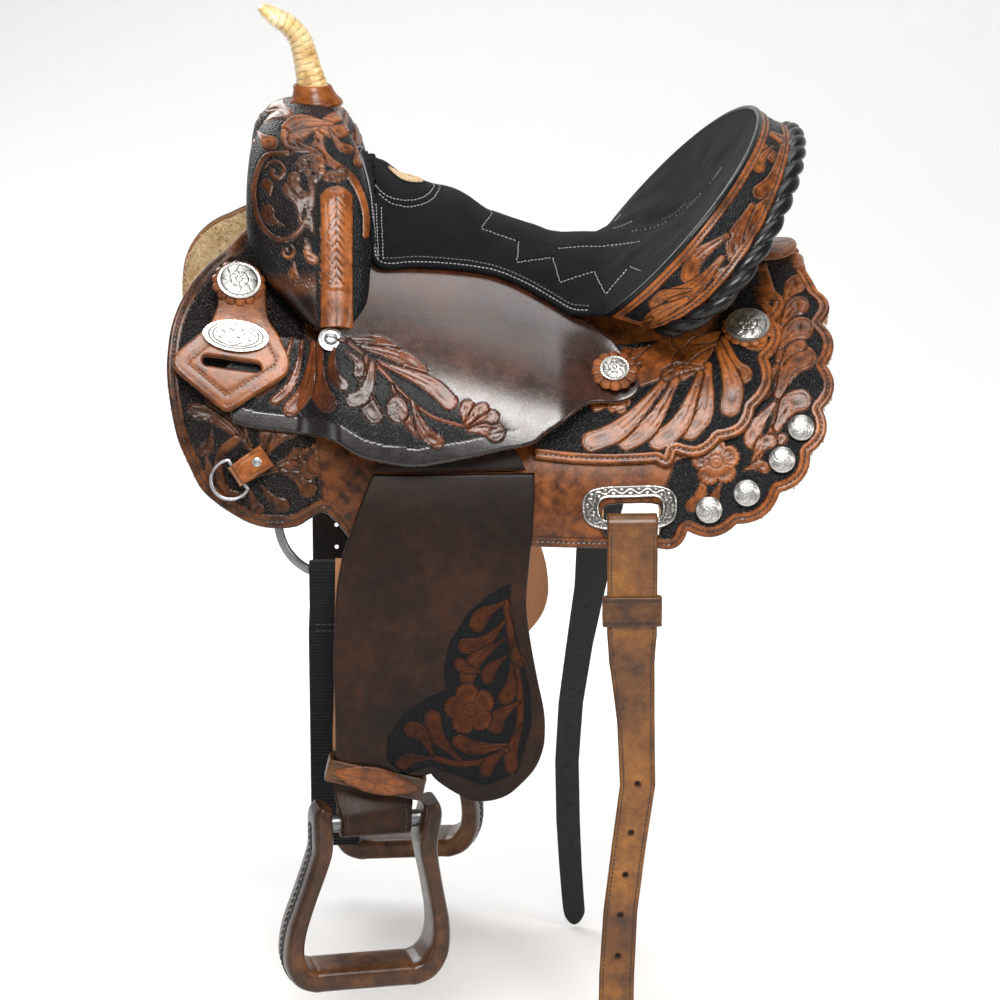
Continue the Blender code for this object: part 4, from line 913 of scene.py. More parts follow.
# ------------------------------------------------------------------ patterns (x, s) in mm
SKIRT_CUSPS = [(289, 99), (288, 145), (289, 194), (283, 239), (271, 280), (243, 315), (204, 343), (160, 348), (131, 363)]
SKIRT_FRONT = [(-151, 360), (-162, 341), (-175, 344), (-190, 352), (-212, 354), (-231, 351), (-248, 344), (-263, 336), (-276, 326),
               (-287, 308), (-296, 291), (-302, 267), (-305, 243), (-304, 223), (-301, 204), (-295, 185), (-287, 167),
               (-279, 152), (-268, 134), (-252, 110), (-238, 80), (-230, 58)]
_front = [tuple(p) for p in smooth_line([(-140, 363)] + SKIRT_FRONT[1:], 3)]
SKIRT_OUT = [(-228, 45), (180, 45), (200, 12), (282, 12), (282, 60)] + scallops(SKIRT_CUSPS, 9, 9) + _front
REAR_CUSPS = [(249, 102), (245, 143), (237, 188), (222, 238), (190, 266), (150, 275), (131, 282)]
REAR_OUT = ([(95, 152), (199, 152), (206, 140), (207, 14), (245, 14), (246, 60)] + scallops(REAR_CUSPS, 9, 9)
            + [(23, 282), (23, 152)])
JOCKEY_LOW = [(-247, 276), (-228, 279), (-198, 279), (-178, 281), (-156, 287), (-134, 297), (-111, 301), (-80, 302),
              (-35, 292), (-6, 283), (20, 275), (33, 264), (48, 252), (62, 238), (72, 229), (83, 224), (95, 223),
              (107, 220), (116, 214), (119, 204), (113, 182), (98, 158)]
JOCKEY_REST = [(80, 144), (58, 128), (30, 112), (0, 103), (-60, 108), (-112, 112), (-140, 116), (-146, 184), (-154, 198),
               (-168, 203), (-190, 198), (-214, 200), (-232, 210), (-256, 236)]
JOCKEY_OUT = [tuple(p) for p in smooth_line(JOCKEY_LOW, 4)] + JOCKEY_REST
KEEPER_OUT = [(-243, 144), (-251, 147), (-258, 156), (-259, 185), (-266, 204), (-299, 234), (-300, 243), (-251, 272),
              (-197, 236), (-194, 224), (-204, 204), (-214, 191), (-216, 173), (-217, 156), (-227, 146)]


def jockey_off(x, s):
    over = smoothstep(-0.190, -0.148, x) * (1 - smoothstep(0.045, 0.105, x))
    mid = 0.0365 + 0.0065 * smoothstep(0.16, 0.26, s)
    low = 0.0185 + 0.0055 * smoothstep(-0.02, 0.07, x)
    return low + (mid - low) * over + 0.012 * (1 - smoothstep(0.130, 0.185, s)) * (1 - over)


def laid(base):
    return lambda u, v, h: drape(u / 1000, v / 1000, base + h / 1000)


# ---- fleece lining: wool toward the horse
def fleece():
    place = lambda u, v, h: drape(u / 1000, v / 1000, 0.0125 - h / 1000)
    out = inset(resample(SKIRT_OUT, 4), 2.0)
    deep = (out[:, 0] > -214) & (out[:, 0] < -99) & (out[:, 1] > 315)
    out[deep, 1] = 316.5
    slot = [(85, 319), (135, 319), (135, 353), (85, 353)]

    def relief(uv, pts, d):
        x, y = uv[:, 0], uv[:, 1]
        h = 0.9 * np.sin(x * 0.62 + 2.1 * np.sin(y * 0.21)) * np.sin(y * 0.58 + 1.7 * np.sin(x * 0.19))
        h += 0.5 * np.sin(x * 1.31 + y * 0.93) * np.sin(y * 1.17 - x * 0.71) + RNG.normal(0, 0.35, len(x))
        return {"h": h}
    V, F, at = solid_sheet(out, place, 11.0, relief, [slot], coarse=4.2, edge=3.0, r=4.0)
    swap(pair("fleece", V, F, at, WOOL), "fleece")
    # locks of wool: on the face, and a fringe at the edge
    lo, hi = out.min(0), out.max(0)
    P = np.stack([RNG.uniform(lo[0], hi[0], 9000), RNG.uniform(lo[1], hi[1], 9000)], -1)
    P = P[inside(P, out) & ~inside(P, slot)]
    d, _ = line_dist(P, out)
    P = P[RNG.random(len(P)) < np.where(d < 12, 1.0, 0.55)]
    E = resample(out, 1.6)
    E = inset(E + RNG.normal(0, 0.4, E.shape), 0.6)
    C = np.concatenate([place(P[:, 0], P[:, 1], np.full(len(P), 10.2)), place(E[:, 0], E[:, 1], RNG.uniform(2, 10, len(E)))])
    O = np.concatenate([place(P[:, 0], P[:, 1], np.full(len(P), 11.2)),
                        place(*(inset(E, -1.6).T), np.full(len(E), 6.0))])
    O[len(P):] = C[len(P):] + (O[len(P):] - place(*(E.T), np.full(len(E), 6.0)))
    N = O - C
    N /= np.linalg.norm(N, axis=1)[:, None]
    n = len(C)
    side = np.cross(N, RNG.normal(0, 1, (n, 3)))
    side /= np.linalg.norm(side, axis=1)[:, None]
    third = np.cross(N, side)
    rows, k = 5, 4
    V = []
    size = RNG.uniform(0.0020, 0.0034, n)
    for r in range(rows):
        t = r / (rows - 1)
        a = 3.6 * t
        rad = 0.00062 * (1 - 0.75 * t)
        cen = C + N * (size * np.sin(a) * 0.55 + 0.0004)[:, None] + side * (size * 0.55 * (1 - np.cos(a)))[:, None]
        for i in range(k):
            V.append(cen + third * (rad * 1.7 * cos(2 * pi * i / k)) + N * (rad * 1.7 * sin(2 * pi * i / k)))
    V = np.stack(V, 1).reshape(-1, 3)
    F = []
    for r in range(rows - 1):
        for i in range(k):
            a, b = r * k + i, r * k + (i + 1) % k
            F += [(a, b, b + k), (a, b + k, a + k)]
    F += [(0, 2, 1), (0, 3, 2), (4 * k, 4 * k + 1, 4 * k + 2), (4 * k, 4 * k + 2, 4 * k + 3)]
    F = (np.array(F)[None] + (np.arange(n) * rows * k)[:, None, None]).reshape(-1, 3)
    pair("fleece_locks", V, F, {}, WOOL)


# ---- skirt
SKIRT_MARKS = [
    stem([(783, 300), (780, 330), (779, 364), (776, 420), (757, 458)], 10, 8),
    leaf(779, 345, 812, 331, 17, -4, root=0.4), leaf(778, 395, 813, 356, 18, -5, root=0.4), leaf(777, 428, 808, 399, 17, -4, root=0.4),
    leaf(786, 302, 805, 283, 14, -3, root=0.4), leaf(783, 322, 808, 306, 14, -3, root=0.4), leaf(780, 366, 806, 344, 9, -3),
    leaf(774, 404, 752, 448, 13, 3, root=0.4), leaf(777, 366, 764, 398, 11, 2, root=0.4), leaf(781, 310, 772, 300, 7, 0), leaf(768, 440, 786, 436, 9, 0),
    leaf(752, 462, 775, 440, 11, -3), leaf(744, 470, 768, 470, 9, -2),
    leaf(700, 455, 660, 463, 12, 3), leaf(704, 470, 690, 508, 10, -3), leaf(722, 480, 716, 512, 9, 2),
    flower(716, 462, 25, 5, 0.4),
    # the front, round the collar dee
    leaf(256, 455, 189, 409, 12, 6), leaf(252, 447, 207, 398, 10, 4), leaf(247, 437, 230, 402, 10, 2), leaf(262, 452, 262, 410, 10, 4),
    leaf(262, 458, 278, 424, 11, -4), leaf(262, 462, 296, 430, 10, -4), leaf(268, 468, 300, 448, 10, 3),
    leaf(258, 476, 306, 468, 9, -2), leaf(280, 470, 309, 496, 13, -5), leaf(262, 486, 288, 506, 11, 3), leaf(250, 490, 262, 512, 9, 1),
    stem([(236, 440), (222, 452), (219, 475), (228, 492), (243, 495)], 10, 8),
    flower(318, 462, 21, 5, 0.2),
    leaf(212, 430, 199, 452, 9, -3), leaf(206, 456, 205, 484, 9, -2), leaf(226, 500, 246, 515, 8, 2),
]


def skirt():
    place = laid(0.0130)
    out = np.array(SKIRT_OUT, float)
    slot = smooth_line([(86, 322), (110, 319.5), (134, 322), (136, 336), (134, 351), (110, 353), (86, 351), (84, 336)], 3, closed=True)

    def dense(P):
        return ((P[:, 0] > 20) & (P[:, 1] > 240)) | ((P[:, 0] > 195) & (P[:, 1] > 60)) | ((P[:, 0] < -120) & (P[:, 1] > 120))

    def relief(uv, pts, d):
        S = sheet_xy(pts)
        h, lf, cut, dent = carve(S, SKIRT_MARKS)
        edge_d, _ = line_dist(uv, out)
        x, s = uv[:, 0], uv[:, 1]
        # carved grounds: behind, and in front; the middle is plain
        rear = smoothstep(138, 146, x + 0.30 * (s - 300))
        front = 1 - smoothstep(-172, -166, x - 0.1 * (s - 300))
        ground = np.maximum(rear, front)
        band = 1 - smoothstep(9.6, 10.4, edge_d)
        line = np.exp(-((edge_d - 10.0) / 0.55) ** 2)
        seam = np.exp(-((edge_d - 5.2) / 0.9) ** 2)
        lf = np.maximum(lf * ground, band)
        h = np.where(band > 0.5, 1.15, h * ground - 0.35 * line)
        h -= 0.75 * seam
        h = np.where(ground < 0.5, np.where(band > 0.5, h, 1.0), h)
        ink = ground * (1 - lf) * (1 - band)
        cut = np.maximum(np.maximum(cut * ground * (1 - band), line * 0.9), seam * 0.55)
        shade = 0.62 * (1 - smoothstep(-150, -60, x)) + 0.30 * smoothstep(-150, -60, x) * (1 - smoothstep(120, 150, x))
        shade += (1 - rear) * 0.30 * np.clip(np.sin(x * 0.21 + 2.0 * np.sin(s * 0.11)) * np.sin(s * 0.26 + 1.5 * np.sin(x * 0.07)) + 0.5 * np.sin(x * 0.6) * np.sin(s * 0.5), 0, 1)
        shade = np.clip(shade, 0, 0.9)
        shade = np.maximum(shade, 0.25 * smoothstep(345, 362, s))
        return {"h": h, "ink": ink, "leaf": lf, "cut": cut, "dent": dent * ground, "shade": shade}
    V, F, at = solid_sheet(out, place, 3.2, relief, [slot], coarse=6.0, fine=1.3, dense=dense, edge=1.6, r=1.2)
    swap(pair("skirt", V, F, at, TOOLED), "skirt")
    for a, b in (((285, 75), (131, 361)), ((131, 362), (-140, 362)), ((-141, 361), (-252, 110))):
        L = between(out, a, b, 5.2)
        P, N = on_sheet(place, L, 3.6)
        sew(P, N, BROWN_THREAD, pitch=0.0046, length=0.0044, wide=0.0017, high=0.0009, slant=0.5)


# ---- rear jockey
REAR_MARKS = [
    fill([(640, 388), (662, 380), (684, 381), (700, 372), (713, 352), (722, 332), (712, 318), (690, 326), (662, 338), (640, 352), (628, 372)]),
    leaf(724, 340, 749, 377, 15, 4, root=0.45), leaf(718, 345, 729, 411, 16, -4, root=0.4), leaf(708, 366, 686, 434, 16, -6, root=0.4),
    leaf(700, 374, 653, 444, 15, -7, root=0.4), leaf(676, 380, 621, 444, 15, -6, root=0.4), leaf(664, 382, 585, 444, 16, -6, root=0.4),
    leaf(712, 330, 676, 346, 12, 3), leaf(716, 344, 676, 368, 12, 3), leaf(704, 368, 664, 377, 9, 2),
    leaf(640, 366, 592, 408, 9, -3), leaf(650, 345, 622, 352, 9, -2),
    flower(618, 402, 13, 5, 0.1),
    leaf(728, 326, 764, 344, 10, 3), leaf(757, 300, 770, 322, 9, -3), leaf(756, 285, 772, 298, 9, 3),
    leaf(690, 322, 655, 325, 9, 2),
]


def rear_jockey():
    place = laid(0.0193)
    out = np.array(REAR_OUT, float)

    def dense(P):
        return (P[:, 1] > 120) & (P[:, 0] > 20)

    def relief(uv, pts, d):
        S = sheet_xy(pts)
        h, lf, cut, dent = carve(S, REAR_MARKS)
        sc = np.array(REAR_CUSPS, float)
        rim = np.array(scallops(REAR_CUSPS, 9, 9) + [(23, 282)], float)
        rim = np.concatenate([[(246, 60)], rim])
        edge_d, _ = line_dist(uv, rim, closed=False)
        band = 1 - smoothstep(9.8, 10.6, edge_d)
        line = np.exp(-((edge_d - 10.2) / 0.55) ** 2)
        seam = np.exp(-((edge_d - 5.4) / 0.9) ** 2)
        lf = np.maximum(lf, band)
        h = np.where(band > 0.5, 1.15, h - 0.35 * line) - 0.75 * seam
        ink = (1 - lf) * (1 - band)
        cut = np.maximum(np.maximum(cut * (1 - band), line * 0.9), seam * 0.55)
        return {"h": h, "ink": ink, "leaf": lf, "cut": cut, "dent": dent, "shade": np.zeros(len(h))}
    V, F, at = solid_sheet(out, place, 2.5, relief, coarse=6.0, fine=1.25, dense=dense, edge=1.5, r=1.1)
    swap(pair("rear_jockey", V, F, at, TOOLED), "rear_jockey")
    for a, b in (((246, 62), (131, 281)), ((131, 282), (24, 282))):
        L = between(out, a, b, 5.4)
        P, N = on_sheet(place, L, 2.9)
        sew(P, N, BROWN_THREAD, pitch=0.0046, length=0.0044, wide=0.0017, high=0.0009, slant=0.5)


# ---- seat jockey
JOCKEY_MARKS = [
    leaf(338, 340, 398, 355, 12, -4, root=0.3), leaf(352, 346, 424, 374, 12, -4, root=0.3), leaf(378, 362, 454, 406, 13, -3, root=0.3),
    stem([(349, 343), (379, 368), (402, 393), (431, 416), (470, 428)], 6, 3.5),
    leaf(392, 386, 423, 436, 9, 3, root=0.35), leaf(412, 402, 441, 444, 11, 4, root=0.35),
    leaf(366, 358, 377, 419, 14, 4, root=0.4), leaf(372, 364, 345, 402, 13, -8, root=0.45), leaf(344, 350, 357, 378, 9, -5),
    leaf(334, 344, 346, 388, 10, 6, root=0.3), leaf(320, 343, 330, 407, 15, 5, root=0.4),
    leaf(313, 343, 286, 413, 12, -7, root=0.35), leaf(302, 340, 270, 404, 8, -8, root=0.35), leaf(292, 338, 252, 396, 8, -8, root=0.35),
    acorn(397, 410, 11.5, 14, -0.2),
    leaf(470, 428, 500, 440, 15, -3, root=0.5), leaf(468, 425, 497, 419, 11, -3, root=0.5), leaf(466, 422, 474, 404, 12, -2, root=0.5),
    leaf(467, 424, 487, 407, 9, -1, root=0.5),
]


def seat_jockey():
    def place(u, v, h):
        x, s = u / 1000, v / 1000
        return drape(x, s, jockey_off(x, s) + h / 1000)
    out = np.array(JOCKEY_OUT, float)
    low = np.array(JOCKEY_LOW[:14], float)

    def dense(P):
        return (P[:, 0] < 12) & (P[:, 1] > 190) & (P[:, 0] > -262)

    def relief(uv, pts, d):
        S = sheet_xy(pts)
        h, lf, cut, dent = carve(S, JOCKEY_MARKS, high=1.3)
        X, Y = S[:, 0], S[:, 1]
        # the blackened ground fades into the smooth seat side above the leaves
        top = np.interp(X, [240, 300, 331, 360, 398, 424, 455, 480, 500, 525], [330, 336, 336, 337, 352, 368, 400, 410, 418, 445])
        black = smoothstep(-10, 16, Y - top)
        black *= 1 - smoothstep(498, 545, X)
        edge_d, along = line_dist(uv, np.concatenate([low]), closed=False)
        band = 1 - smoothstep(13.0, 13.8, edge_d)
        line = np.exp(-((edge_d - 13.4) / 0.5) ** 2) * (1 - smoothstep(500, 530, X))
        ink = black * (1 - lf) * (1 - band)
        dark = black * band * (1 - lf)
        h = h * np.maximum(black, lf) - 0.45 * line
        h = np.where(band > 0.5, np.maximum(h, 0.35 * black), h)
        near_cut = cut
        cut = np.maximum(cut * (1 - band * (1 - lf)), line * 0.8)
        # a darker band along the lower edge, and painted shade where the sides curve away
        return {"h": h, "ink": ink, "leaf": lf, "cut": cut, "dent": dent * (1 - band), "gold": lf, "shade": dark * 0.95 + 0.25 * smoothstep(-40, 30, Y - top) * (1 - lf) * (1 - smoothstep(520, 640, X))}
    V, F, at = solid_sheet(out, place, 3.4, relief, coarse=4.0, fine=1.15, dense=dense, edge=1.6, r=1.5)
    swap(pair("seat_jockey", V, F, at, SEAT_SIDE), "seat_jockey")


def slot_outline(x0, x1, y0, y1, r, n=5):
    out = []
    for cx, cy, a0 in ((x1 - r, y1 - r, 0), (x0 + r, y1 - r, 90), (x0 + r, y0 + r, 180), (x1 - r, y0 + r, 270)):
        out += [(cx + r * cos(radians(a0 + 90 * k / n)), cy + r * sin(radians(a0 + 90 * k / n))) for k in range(n + 1)]
    return out


def keeper_plate():
    place = laid(0.0277)
    out = [tuple(p) for p in resample(KEEPER_OUT, 5)]
    out = np.array(out)
    # soften its corners
    for _ in range(2):
        out = (np.roll(out, 1, 0) + 2 * out + np.roll(out, -1, 0)) / 4
    slot = slot_outline(-272.5, -220.5, 229.6, 237.4, 3.6)

    def relief(uv, pts, d):
        e, _ = line_dist(uv, out)
        low = uv[:, 1] > 196
        line = np.exp(-((e - 9.6) / 0.5) ** 2) * low
        bead = np.exp(-((e - 12.0) / 1.3) ** 2) * low
        rim = np.exp(-((e - 3.2) / 0.5) ** 2)
        return {"h": 0.5 - 0.5 * line - 0.5 * bead - 0.3 * rim, "ink": np.zeros(len(e)), "leaf": np.ones(len(e)),
                "cut": np.maximum(line * 0.9, np.maximum(rim * 0.5, bead * 0.6)), "dent": np.zeros(len(e)),
                "shade": 0.45 * (1 - smoothstep(150, 205, uv[:, 1]))}
    V, F, at = solid_sheet(out, place, 3.4, relief, [slot], coarse=2.2, edge=1.4, r=1.3)
    swap(pair("latigo_keeper", V, F, at, TOOLED), "latigo_keeper")
    L = inset(resample(out, 1.5), 12.0)
    L = L[(L[:, 1] > 199)]
    i = int(np.argmax(np.linalg.norm(L - np.roll(L, 1, 0), axis=1)))
    L = np.roll(L, -i, 0)
    d0, _ = line_dist(L, out)
    L = even(L[d0 > 11.3], 1.5)
    P, N = on_sheet(place, L, 3.7)
    sew(P, N, TAN_LEATHER, pitch=0.0040, length=0.0036, wide=0.0030, high=0.0012)


def slot_plate():
    place = laid(0.0180)
    a = np.linspace(0, 2 * pi, 72, endpoint=False)
    c, s = np.cos(a), np.sin(a)
    out = np.stack([108 + 42.5 * np.abs(c) ** 0.55 * np.sign(c), 324 + 21.5 * np.abs(s) ** 0.7 * np.sign(s)], -1)
    slot = slot_outline(80.5, 137.5, 314.5, 335.5, 8.5, 6)

    def relief(uv, pts, d):
        e, along = line_dist(uv, out)
        e2, _ = line_dist(uv, slot)
        t = e / (e + e2 + 1e-6)
        rim = np.maximum(np.exp(-((e - 1.3) / 0.6) ** 2), np.exp(-((e2 - 1.3) / 0.6) ** 2))
        vine = np.exp(-((t - 0.5 - 0.17 * np.sin(2 * pi * along / 15.5)) * (e + e2) / 0.55) ** 2)
        leafy = np.exp(-(((t - 0.5 + 0.20 * np.sin(2 * pi * along / 15.5)) * (e + e2)) ** 2 + (((along / 7.75) % 1 - 0.5) * 7.75) ** 2 * 0.5) / 1.6)
        ground = 1 - np.maximum(np.maximum(rim, vine), leafy)
        return {"h": 0.55 * rim + 0.30 * vine + 0.35 * leafy, "cut": np.clip(ground * 1.15 - 0.1, 0, 0.85)}
    V, F, at = solid_sheet(out, place, 1.6, relief, [slot], coarse=0.75, edge=1.0, r=0.6)
    swap(pair("slot_plate", V, F, at, SILVER_DARK), "slot_plate")


# ------------------------------------------------------------------ medals
def frame_at(x, s, off):
    e = 0.002
    c = drape(x, s, off)
    tx = drape(x + e, s, off) - drape(x - e, s, off)
    tx /= np.linalg.norm(tx)
    ts = drape(x, s - e, off) - drape(x, s + e, off)
    ts -= tx * (ts @ tx)
    ts /= np.linalg.norm(ts)
    n = np.cross(tx, ts)
    if n[1] > 0 and n[2] < 0.2:
        n = -n
    up = drape(x, s, off + 0.01) - c
    if n @ up < 0:
        n = -n
    return c, tx, np.cross(n, tx), n


def disc(profile, rings, segs, oval=1.0, tilt=0.0, frame_=None, back=0.0):
    """A polar grid of radii and angles for a round relief of radius 1; profile is not used."""
    rho = np.concatenate([np.linspace(0, 1, rings + 1)[1:]])
    a = np.arange(segs) * 2 * pi / segs
    R, A = np.meshgrid(rho, a, indexing="ij")
    return R, A


def medal(name, x, s, off, radius, dome, mat, style="rose", oval=1.0, tilt=0.0, rings=44, segs=150, body="saddle", base=0.0012, at=None):
    c, tx, ts, n = at if at is not None else frame_at(x, s, off)
    ct, st = cos(tilt), sin(tilt)
    ex, ey = tx * ct + ts * st, ts * ct - tx * st
    rho = np.linspace(0, 1, rings + 1)[1:] ** 0.9
    a = np.arange(segs) * 2 * pi / segs
    R, A = np.meshgrid(rho, a, indexing="ij")
    z = base + (dome - base) * np.sqrt(np.clip(1 - (R * 0.985) ** 2, 0, 1)) ** 1.15
    cut = np.zeros_like(R)
    mm = 0.001
    if style in ("rose", "oval", "small"):
        rope = (R > 0.87)
        z = np.where(rope, base + (dome - base) * 0.30 + 0.55 * mm * np.abs(np.sin(A * (22 if style != "small" else 14) + R * 9)), z)
        groove = np.exp(-((R - 0.845) / 0.02) ** 2)
        z -= 0.5 * mm * groove
        cut = np.maximum(cut, groove * 0.9)
        cut = np.maximum(cut, rope * (np.abs(np.sin(A * (22 if style != "small" else 14) + R * 9)) < 0.25) * 0.7)
        inn = R < 0.82
        if style == "oval":
            X, Y = R * np.cos(A) * 1.97, R * np.sin(A)
            g = np.abs(np.sin(5.2 * X + 1.6 * np.sin(4 * Y))) * 0.6 + np.abs(np.sin(7.0 * Y + 1.4 * np.cos(3.5 * X))) * 0.5
            g2 = np.exp(-((R - 0.72) / 0.025) ** 2)
            line = np.maximum(np.exp(-((g - 0.25) / 0.10) ** 2), g2)
        else:
            g = np.cos(8 * A + 5.5 * R)
            line = np.exp(-((np.abs(np.sin(4 * A + 3.2 * R * np.where(R > 0.45, 1, -1)))) / 0.16) ** 2) * (R > 0.16)
            line = np.maximum(line, np.exp(-((R - 0.44) / 0.025) ** 2))
            line = np.maximum(line, np.exp(-((R - 0.15) / 0.03) ** 2))
            line = np.maximum(line, 0.7 * (np.abs(np.sin(16 * A + 18 * R)) < 0.2) * (R > 0.5))
        z = np.where(inn, z + 0.22 * mm * np.cos(8 * A) * np.sin(pi * np.clip(R / 0.82, 0, 1)) - 0.40 * mm * line, z)
        cut = np.maximum(cut, np.where(inn, line * 0.95, 0))
    elif style == "dome":
        swirl = np.exp(-(np.sin(3 * A + 6.5 * R) / 0.20) ** 2) * (R > 0.12) * (R < 0.80)
        swirl = np.maximum(swirl, 0.8 * np.exp(-(np.sin(5 * A - 8 * R) / 0.14) ** 2) * (R > 0.30) * (R < 0.80))
        ring = np.exp(-((R - 0.85) / 0.02) ** 2)
        z -= 0.35 * mm * swirl + 0.4 * mm * ring
        cut = np.maximum(swirl * 0.95, ring * 0.9)
    elif style == "screw":
        z = np.where(R < 0.60, base + 0.0016 * np.sqrt(np.clip(1 - (R / 0.62) ** 2, 0, 1)) + 0.0016, base + 0.0004 * np.sin((R - 0.6) / 0.4 * pi) + 0.0002)
        slotm = (np.abs(R * np.sin(A)) < 0.09) & (R < 0.5)
        z -= 0.0007 * slotm
        cut = slotm * 0.8 + np.exp(-((R - 0.62) / 0.04) ** 2) * 0.8
    P = (c + (R * radius * oval * np.cos(A))[..., None] * ex + (R * radius * np.sin(A))[..., None] * ey + z[..., None] * n)
    V = [c + n * (dome if style != "screw" else base + 0.0030)]
    V = np.concatenate([[V[0]], P.reshape(-1, 3)])
    cutv = np.concatenate([[0], cut.ravel()])
    # a flat back
    B = c + (radius * oval * np.cos(a))[:, None] * ex + (radius * np.sin(a))[:, None] * ey
    V = np.concatenate([V, B, [c]])
    cutv = np.concatenate([cutv, np.zeros(segs + 1)])
    F = []
    j = np.arange(segs)
    k = (j + 1) % segs
    F.append(np.stack([np.zeros(segs, int), 1 + j, 1 + k], -1))
    for r in range(rings - 1):
        p, q = 1 + r * segs, 1 + (r + 1) * segs
        F.append(np.stack([p + j, q + j, q + k], -1))
        F.append(np.stack([p + j, q + k, p + k], -1))
    p, q = 1 + (rings - 1) * segs, 1 + rings * segs
    F.append(np.stack([p + j, q + j, q + k], -1))
    F.append(np.stack([p + j, q + k, p + k], -1))
    F.append(np.stack([q + j, np.full(segs, len(V) - 1), q + k], -1))
    F = np.concatenate(F)
    t = V[F[0]]
    if np.cross(t[1] - t[0], t[2] - t[0]) @ n < 0:
        F = F[:, ::-1]
    if name is None:
        return V, F, {"cut": cutv}
    return pair(name, V, F, {"cut": cutv}, mat, body, sharp=50)


def rosette(name, x, s, off, r, lobes, thick=0.0022, mat=None, depth=0.12, inner=0.55, oval=1.0):
    """A scalloped leather rosette under a concho."""
    c, tx, ts, n = frame_at(x, s, off)
    segs, rings = lobes * 12, 12
    a = np.arange(segs) * 2 * pi / segs
    rr = r * (1 - depth + depth * np.abs(np.cos(lobes * a / 2)) ** 0.55)
    V, cut = [c + n * thick], [0.0]
    for i in range(1, rings + 1):
        t = i / rings
        z = thick * np.sqrt(np.clip(1 - np.clip((t - 0.86) / 0.14, 0, 1) ** 2, 0, 1))
        groove = np.exp(-(np.abs(np.sin(lobes * a / 2 + pi / 2)) * 0 + (np.abs(((lobes * a / (2 * pi)) % 1) - 0.5) * 2 * 0 + np.abs(np.sin(lobes * a / 2 + pi / 2)) / 0.22)) ** 2) * (t > inner)
        ringl = exp(-((t - 0.80) / 0.03) ** 2)
        z = z - 0.0006 * groove - 0.0004 * ringl
        P = c + (rr * t * np.cos(a) * oval)[:, None] * tx + (rr * t * np.sin(a))[:, None] * ts + z[:, None] * n
        V.extend(P)
        cut.extend(np.maximum(groove * 0.7, 0.6 * ringl))
    B = c + (rr * np.cos(a) * oval)[:, None] * tx + (rr * np.sin(a))[:, None] * ts
    V.extend(B)
    cut.extend([0.0] * segs)
    V.append(c)
    cut.append(0.0)
    V = np.array(V)
    j = np.arange(segs)
    k = (j + 1) % segs
    F = [np.stack([np.zeros(segs, int), 1 + j, 1 + k], -1)]
    for i in range(rings):
        p, q = 1 + i * segs, 1 + (i + 1) * segs
        F += [np.stack([p + j, q + j, q + k], -1), np.stack([p + j, q + k, p + k], -1)]
    q = 1 + rings * segs
    F.append(np.stack([q + j, np.full(segs, len(V) - 1), q + k], -1))
    F = np.concatenate(F)
    t = V[F[0]]
    if np.cross(t[1] - t[0], t[2] - t[0]) @ n < 0:
        F = F[:, ::-1]
    z0 = np.zeros(len(V))
    pair(name, V, F, {"cut": np.array(cut), "leaf": z0 + 1, "ink": z0, "dent": z0, "edge": z0, "shade": z0 + 0.1}, mat or TOOLED)


# ------------------------------------------------------------------ lofts and tubes
def loft_np(rings, caps=True, closed=False):
    R = np.asarray(rings, float)
    m, n = R.shape[:2]
    V = R.reshape(-1, 3)
    j = np.arange(n)
    k = (j + 1) % n
    F = []
    for i in range(m if closed else m - 1):
        a, b = i * n, ((i + 1) % m) * n
        F += [np.stack([a + j, a + k, b + k], -1), np.stack([a + j, b + k, b + j], -1)]
    if caps and not closed:
        V = np.concatenate([V, [R[0].mean(0), R[-1].mean(0)]])
        F += [np.stack([np.full(n, len(V) - 2), k, j], -1), np.stack([np.full(n, len(V) - 1), (m - 1) * n + j, (m - 1) * n + k], -1)]
    F = np.concatenate(F)
    return V, outward(V, F)


def outward(V, F):
    a, b, c = V[F[:, 0]], V[F[:, 1]], V[F[:, 2]]
    o = V.mean(0)
    vol = np.einsum("ij,ij->i", a - o, np.cross(b - o, c - o)).sum()
    return F if vol > 0 else F[:, ::-1]


def tube(points, radius, segs=14, closed=False, shape=None, smooth=0):
    """A round wire; shape(angle, length) can change its section."""
    P = np.asarray(points, float)
    if smooth:
        P = smooth_line(P, smooth, closed)
    m = len(P)
    T = np.roll(P, -1, 0) - np.roll(P, 1, 0) if closed else np.gradient(P, axis=0)
    T /= np.linalg.norm(T, axis=1)[:, None]
    u = np.cross(T[0], [0.3, 0.2, 0.93])
    u /= np.linalg.norm(u)
    U = [u]
    for i in range(1, m):
        u = U[-1] - T[i] * (U[-1] @ T[i])
        U.append(u / np.linalg.norm(u))
    U = np.array(U)
    W = np.cross(T, U)
    if closed:                       # take out the twist the frames gather round the loop
        e = np.cross(T[0], U[-1] - T[0] * (U[-1] @ T[0]))
        ang = atan2((U[-1] @ W[0]), (U[-1] @ U[0]))
        t = np.linspace(0, 1, m) * -ang
        U, W = U * np.cos(t)[:, None] + W * np.sin(t)[:, None], W * np.cos(t)[:, None] - U * np.sin(t)[:, None]
    L = np.concatenate([[0], np.cumsum(np.linalg.norm(np.diff(P, axis=0), axis=1))])
    a = np.arange(segs) * 2 * pi / segs
    rad = np.broadcast_to(np.asarray(radius, float), (m,))[:, None] * np.ones(segs)
    if shape is not None:
        rad = rad * shape(a[None, :], L[:, None])
    R = P[:, None] + U[:, None] * (rad * np.cos(a))[..., None] + W[:, None] * (rad * np.sin(a))[..., None]
    return loft_np(R, closed=closed)


def zeros(V, **kw):
    z = np.zeros(len(V))
    d = {k: z for k in ("ink", "leaf", "cut", "dent", "edge", "shade", "flesh")}
    d.update({k: (np.broadcast_to(v, (len(V),)) if np.ndim(v) == 0 else v) for k, v in kw.items()})
    return d


def swap(obs, node):
    """The pair of pieces stands for the CAD nodes node_near and node_off."""
    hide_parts(node + "_near")
    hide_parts(node + "_off")


